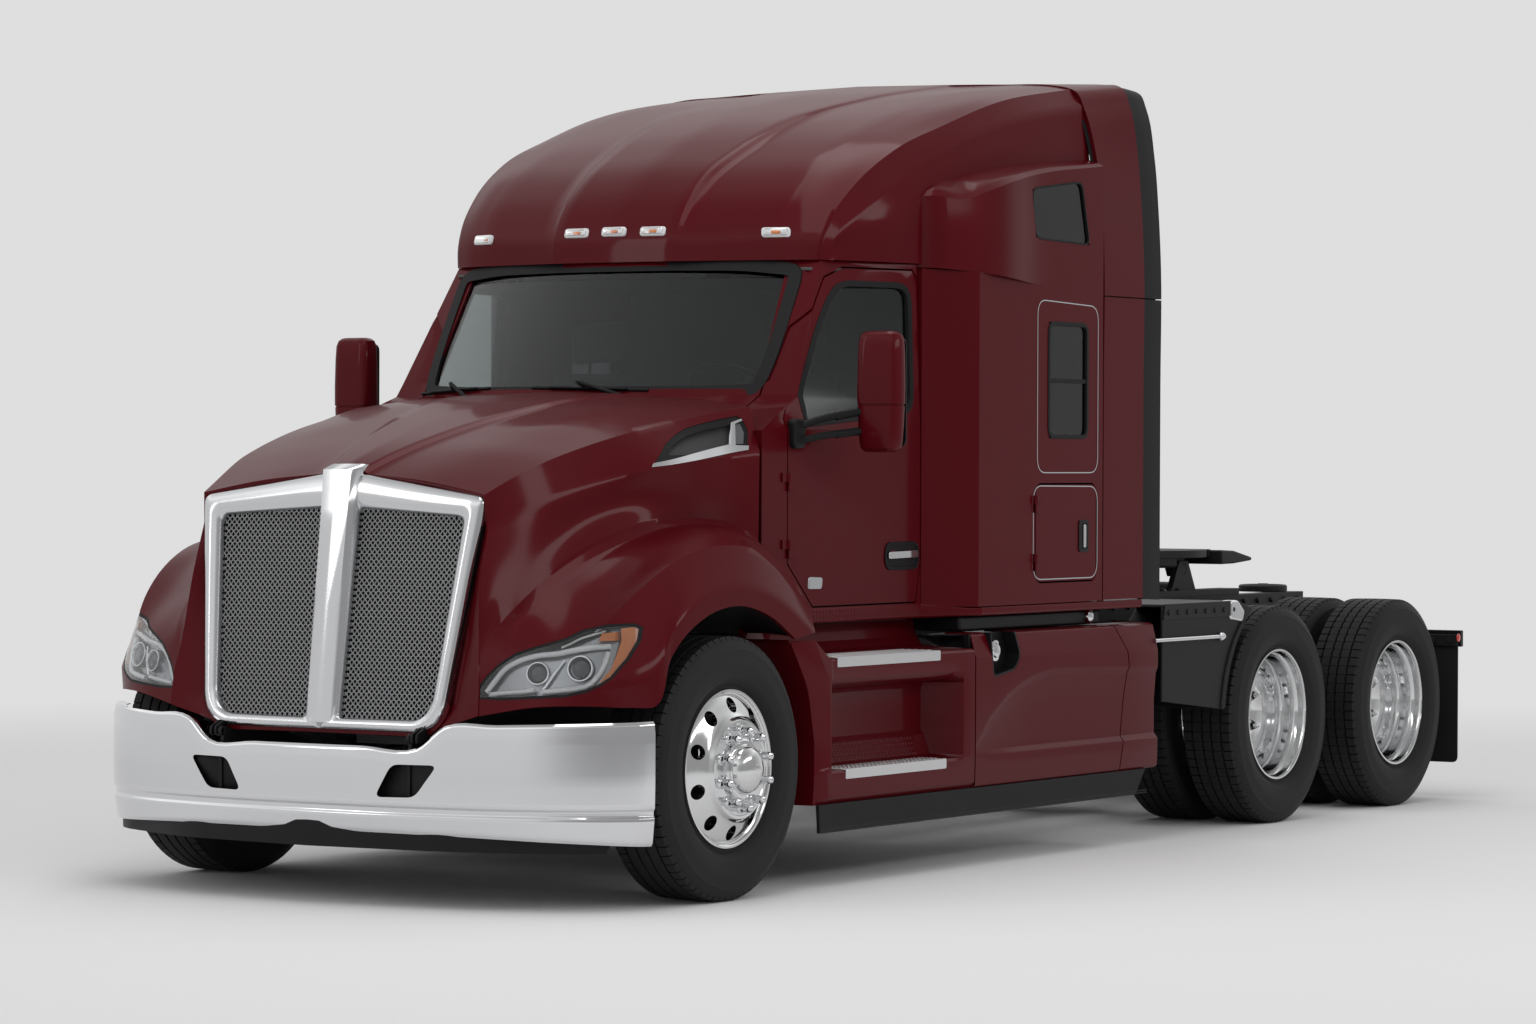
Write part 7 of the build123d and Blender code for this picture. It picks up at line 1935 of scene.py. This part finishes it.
# %% Coupling, tail lamps and mud flaps
COUPLING_Y, RIM_R = 5.33, .465        # the plate's station, and the radius of its front rim
RIM_ANGLES = [math.radians(degrees) for degrees in range(-72, 73, 6)]
RIM_POINTS = [(RIM_R * math.sin(a), -.020 - RIM_R * math.cos(a)) for a in RIM_ANGLES]
SKIRT_LEVELS = ((1.0, 1.205), (1.0, 1.150), (.97, 1.140))      # share of the rim, height
skirt_rows = [[(x * share, COUPLING_Y + y * share, z) for x, y in RIM_POINTS]
              for share, z in SKIRT_LEVELS]
skirt_grid = sheet_grid(skirt_rows, (1,), 2)
plate_skirt = panel("plate_skirt", [skirt_grid], (0, AXLE_Y + 5.3, 1.17), mirror=False)
thicken(plate_skirt, .016)
RAMP = ((5.60, 1.150), (5.735, 1.152), (5.915, 1.164), (5.930, 1.172), (5.915, 1.182),
        (5.735, 1.214), (5.60, 1.219))
ramp = soften(prism("ramp", stations(RAMP), "X", .150, .462), .012, 3)
ramps = join("coupling_ramps", [ramp], True)
finish_piece(ramps, "cast_black", "coupling_plate", angle=None)
finish_piece(plate_skirt, "cast_black", "coupling_plate", angle=40)
LAMP_LENS = ((.050, 0), (.050, .004), (.046, .008), (.030, .0105), (0, .0115))
LAMP_RIM = ((.044, 0), (.0555, 0), (.0555, .006), (.052, .0095), (.0475, .0085), (.044, .004))
tail_y = AXLE_Y + 6.6525
glow = [spin("lens", LAMP_LENS, (x, tail_y, .780), (0, 1, 0), 32) for x in (.42, .54)]
rims = [spin("rim", LAMP_RIM + LAMP_RIM[:1], (x, tail_y, .780), (0, 1, 0), 32) for x in (.42, .54)]
side_marker = spin("marker", ((.020, 0), (.020, .004), (.014, .007), (0, .008)),
                   (1.2475, AXLE_Y + 6.606, .785), (1, 0, 0), 20)
both_sides("tail_lamps", glow + [side_marker], "lamp_lens", "chassis", ("lamps",))
both_sides("tail_lamp_rims", rims, "black_rubber")
flap_sheet = slab(rect(.655, .172, 1.243, .800), .03, "Y", AXLE_Y + 6.6125, AXLE_Y + 6.6215, .003)
clamp = soften(prism("clamp", rect(.65, .745, 1.2445, .800), "Y", AXLE_Y + 6.598, AXLE_Y + 6.6135),
               .003)
flap_bolts = stamped(BOLT, (.95, AXLE_Y + 6.598, .772), "Y", .50, 0, 7, 1, "frame_black", 6)
both_sides("mudflap_sheets", [flap_sheet, clamp, flap_bolts], "black_rubber", "chassis",
           ("mudflaps",), None)

# %% [markdown]
# ## Seats and bunk
# The cushions are foam under a stretched cover: a crowned face, sides that draw in between the
# corners, channels sewn across and piping round the edge. Each is its own stuffed form.

# %% Seats and bunk
def cushion(name, size, matrix, crown, channels=(), cuts=39, wings=0.0):
    """A stuffed form with a crowned face, drawn-in sides, sewn channels and piping."""
    half, corner, tuck = Vector(size) / 2, .026, .009
    def form(a, b, c):
        point = Vector((a * half.x, b * half.y, c * half.z))
        core = Vector([max(corner - h, min(h - corner, v)) for v, h in zip(point, half)])
        point, top = core + (point - core).normalized() * corner, max(c, 0.0)
        sewn = sum(math.exp(-((b - at) / .05)**2) for at in channels) * (1 - a**4)
        bolster = math.exp(-((abs(a) - .78) / .13)**2) * (1 - b**4)
        point.z += top * (crown * (1 - a * a) * (1 - b * b) + wings * bolster - .007 * sewn)
        point.x -= math.copysign(tuck, a) * a**4 * (1 - b * b)
        point.y -= math.copysign(tuck, b) * b**4 * (1 - a * a)
        return matrix @ point
    work = bmesh.new()
    bmesh.ops.create_cube(work, size=2)
    bmesh.ops.subdivide_edges(work, edges=work.edges[:], cuts=cuts, use_grid_fill=True)
    for vertex in work.verts:
        vertex.co = form(*vertex.co)
    foam = mesh_piece(name + "_foam", work)
    share = [i / 12 - 1 for i in range(24)]
    edge = [(t, -1) for t in share] + [(1, t) for t in share]
    edge += [(-a, -b) for a, b in edge]
    piping = rod("piping", [form(a, b, 1) for a, b in edge + edge[:1]], .0035, False)
    return join(name, [foam, piping])

def lying(x, y, z):
    """A place for a form that lies flat."""
    return Matrix.Translation((x, AXLE_Y + y, z))

def leaning(x, y, z):
    """A place for a form that stands and leans back two degrees."""
    up = Vector((0, .0357, .99936))
    ahead = Vector((0, -.99936, .0357))
    turn = Matrix((Vector((1, 0, 0)), up, ahead)).transposed().to_4x4()
    return Matrix.Translation((x, AXLE_Y + y, z)) @ turn

BASE_Y = AXLE_Y + 1.46
# from, to, share of the base
BASE_PLATES = ((1.092, 1.116, 1.0), (1.396, 1.419, 1.0))
BELLOWS = tuple((1.118 + .055 * k, 1.171 + .055 * k, .9) for k in range(5))
pedestals = []
for side, x in (("left", .48), ("right", -.48)):
    for part, size, place, crown, channels, wings in (
            ("seat_cushion", (.50, .50, .096), lying(x, 1.430, 1.468), .012, (-.45, 0, .45), .008),
            ("seat_back", (.47, .46, .082), leaning(x, 1.6675, 1.781), .010, (-.5, 0, .5), .007),
            ("head_rest", (.30, .19, .060), leaning(x, 1.6905, 2.137), .014, (), 0)):
        piece = cushion(part + "_" + side, size, place, crown, channels, 39 if wings else 23, wings)
        finish_piece(piece, "seat_fabric", "chassis", ("seats",), 60)
    base = rounded([(x + a * .185, BASE_Y + b * .155) for a, b in rect(-1, -1, 1, 1)], .03)
    for low, high, share in BASE_PLATES + BELLOWS:
        loop = [(x + (a - x) * share, BASE_Y + (b - BASE_Y) * share) for a, b in base]
        pedestals.append(soften(prism("base", loop, "Z", low, high),
                                .008 if share == 1.0 else .022, 3))
    for a in (-.07, .07):
        pedestals.append(rod("post", [(x + a, AXLE_Y + 1.69, 1.98), (x + a, AXLE_Y + 1.694, 2.06)],
                             .007, False))
finish_piece(join("seat_pedestals", pedestals), "black_plastic", "chassis", angle=None)
mattress = cushion("bunk_mattress_soft", (2.296, .784, .126), lying(0, 2.515, 1.674), .018,
                   (-.5, 0, .5), 63)
finish_piece(mattress, "seat_fabric", "chassis", ("bunk_mattress",), 60)

# %% [markdown]
# ## Cab back, lining, wheel and wipers
# The roof moulding closes at the back above the sleeper's wall. Inside, a headliner and a rear
# panel hide the bare shell, and a steering wheel shows above the dash. The wipers park at the
# foot of the screen.

# %% Cab back and lining
back_edge = [(1.216, 2.335), (1.216, 2.895), (1.196, 2.909), (1.146, 2.93), (1.106, 3.155),
              (1.046, 3.226), (.956, 3.243), (.812, 3.254), (.45, 3.268)]
outline = back_edge + [(-x, z) for x, z in reversed(back_edge)]
finish_piece(prism("roof_back", outline, "Y", AXLE_Y + 2.950, AXLE_Y + 2.966), "maroon_paint",
             "chassis", angle=None)
lining_edge = [(.86, 1.17), (.92, 1.32), (.985, 1.60), (1.0, 1.92), (1.17, 1.99), (1.17, 2.93)]
outline = [(x, AXLE_Y + y) for x, y in lining_edge]
outline += [(-x, y) for x, y in reversed(outline)]
headliner = soften(prism("headliner", outline, "Z", 2.398, 2.412), .004)
back_lining = slab([(-1.17, 1.12), (1.17, 1.12), (1.17, 2.396), (-1.17, 2.396)], .03, "Y",
                   AXLE_Y + 2.914, AXLE_Y + 2.928, .004)
finish_piece(join("cab_lining", [headliner, back_lining]), "interior_plastic", "chassis",
             angle=None)

# %% [markdown]
# ## Steering wheel
# A turned ring and hub on three spokes stand over a column, all built about one tilted axis.

# %% Steering wheel
WHEEL_AT, WHEEL_UP = (.48, AXLE_Y + 1.255, 1.905), (0, .60, .80)
RING_R, GRIP_R, SPOKE_DEPTH = .205, .014, -.008
grip = [(RING_R + GRIP_R * math.cos(a), GRIP_R * math.sin(a))
        for a in [math.radians(30 * k) for k in range(13)]]
HUB = ((0, -.030), (.060, -.026), (.066, -.012), (.060, .004), (.030, .010), (0, .011))
turn = Vector(WHEEL_UP).to_track_quat("Z", "Y")
wheel_parts = [spin("grip", grip, WHEEL_AT, WHEEL_UP, 40), spin("hub", HUB, WHEEL_AT, WHEEL_UP)]
for a in [math.radians(degrees) for degrees in (0, 180, 270)]:
    spoke = [Vector(WHEEL_AT) + turn @ Vector((r * math.cos(a), r * math.sin(a), SPOKE_DEPTH))
             for r in (.05, .2)]
    wheel_parts.append(rod("spoke", spoke, .011, False))
column = [Vector(WHEEL_AT) - Vector(WHEEL_UP) * depth for depth in (.02, .34)]
wheel_parts.append(rod("column", column, .030, False))
finish_piece(join("steering_wheel", wheel_parts), "black_plastic", "chassis", angle=40)

# %% [markdown]
# ## Wipers
# Each wiper is a blade with a bridge on it and an arm, laid along the curved glass.

# %% Wipers
# blade's ends, arm's peak and foot
WIPERS = (((-.830, 1.912), (-.43, 1.932), (-.633, 1.952), (-.52, 1.888)),
          ((-.200, 1.932), (.354, 1.920), (.043, 1.955), (.310, 1.884)))
arms = []
for start, end, peak, foot in WIPERS:
    line = [Vector(start).lerp(Vector(end), k / 6) for k in range(7)]
    arms.append(rod("blade", [(p.x, screen_y(*p) - .004, p.y) for p in line], .0065, False))
    bridge = [(p.x, screen_y(*p) - .013, p.y + .003) for p in line[1:6]]
    arms.append(rod("bridge", bridge, .0060, False))
    path = [Vector(foot).lerp(Vector(peak), k / 4) for k in range(5)]
    lifted = [(p.x, screen_y(*p) - .022 - .006 * k, p.y) for k, p in enumerate(path)]
    arms.append(rod("arm", lifted, .0085, False))
    hub = line[3]
    link = [(peak[0], screen_y(*peak) - .044, peak[1]), (hub.x, screen_y(*hub) - .012, hub.y)]
    arms.append(rod("link", link, .0075, False))
finish_piece(join("wiper_arms", arms), "black_plastic", "chassis", ("wipers",), 40)

low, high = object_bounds()
print("visual box", [round(v, 3) for v in low], [round(v, 3) for v in high])
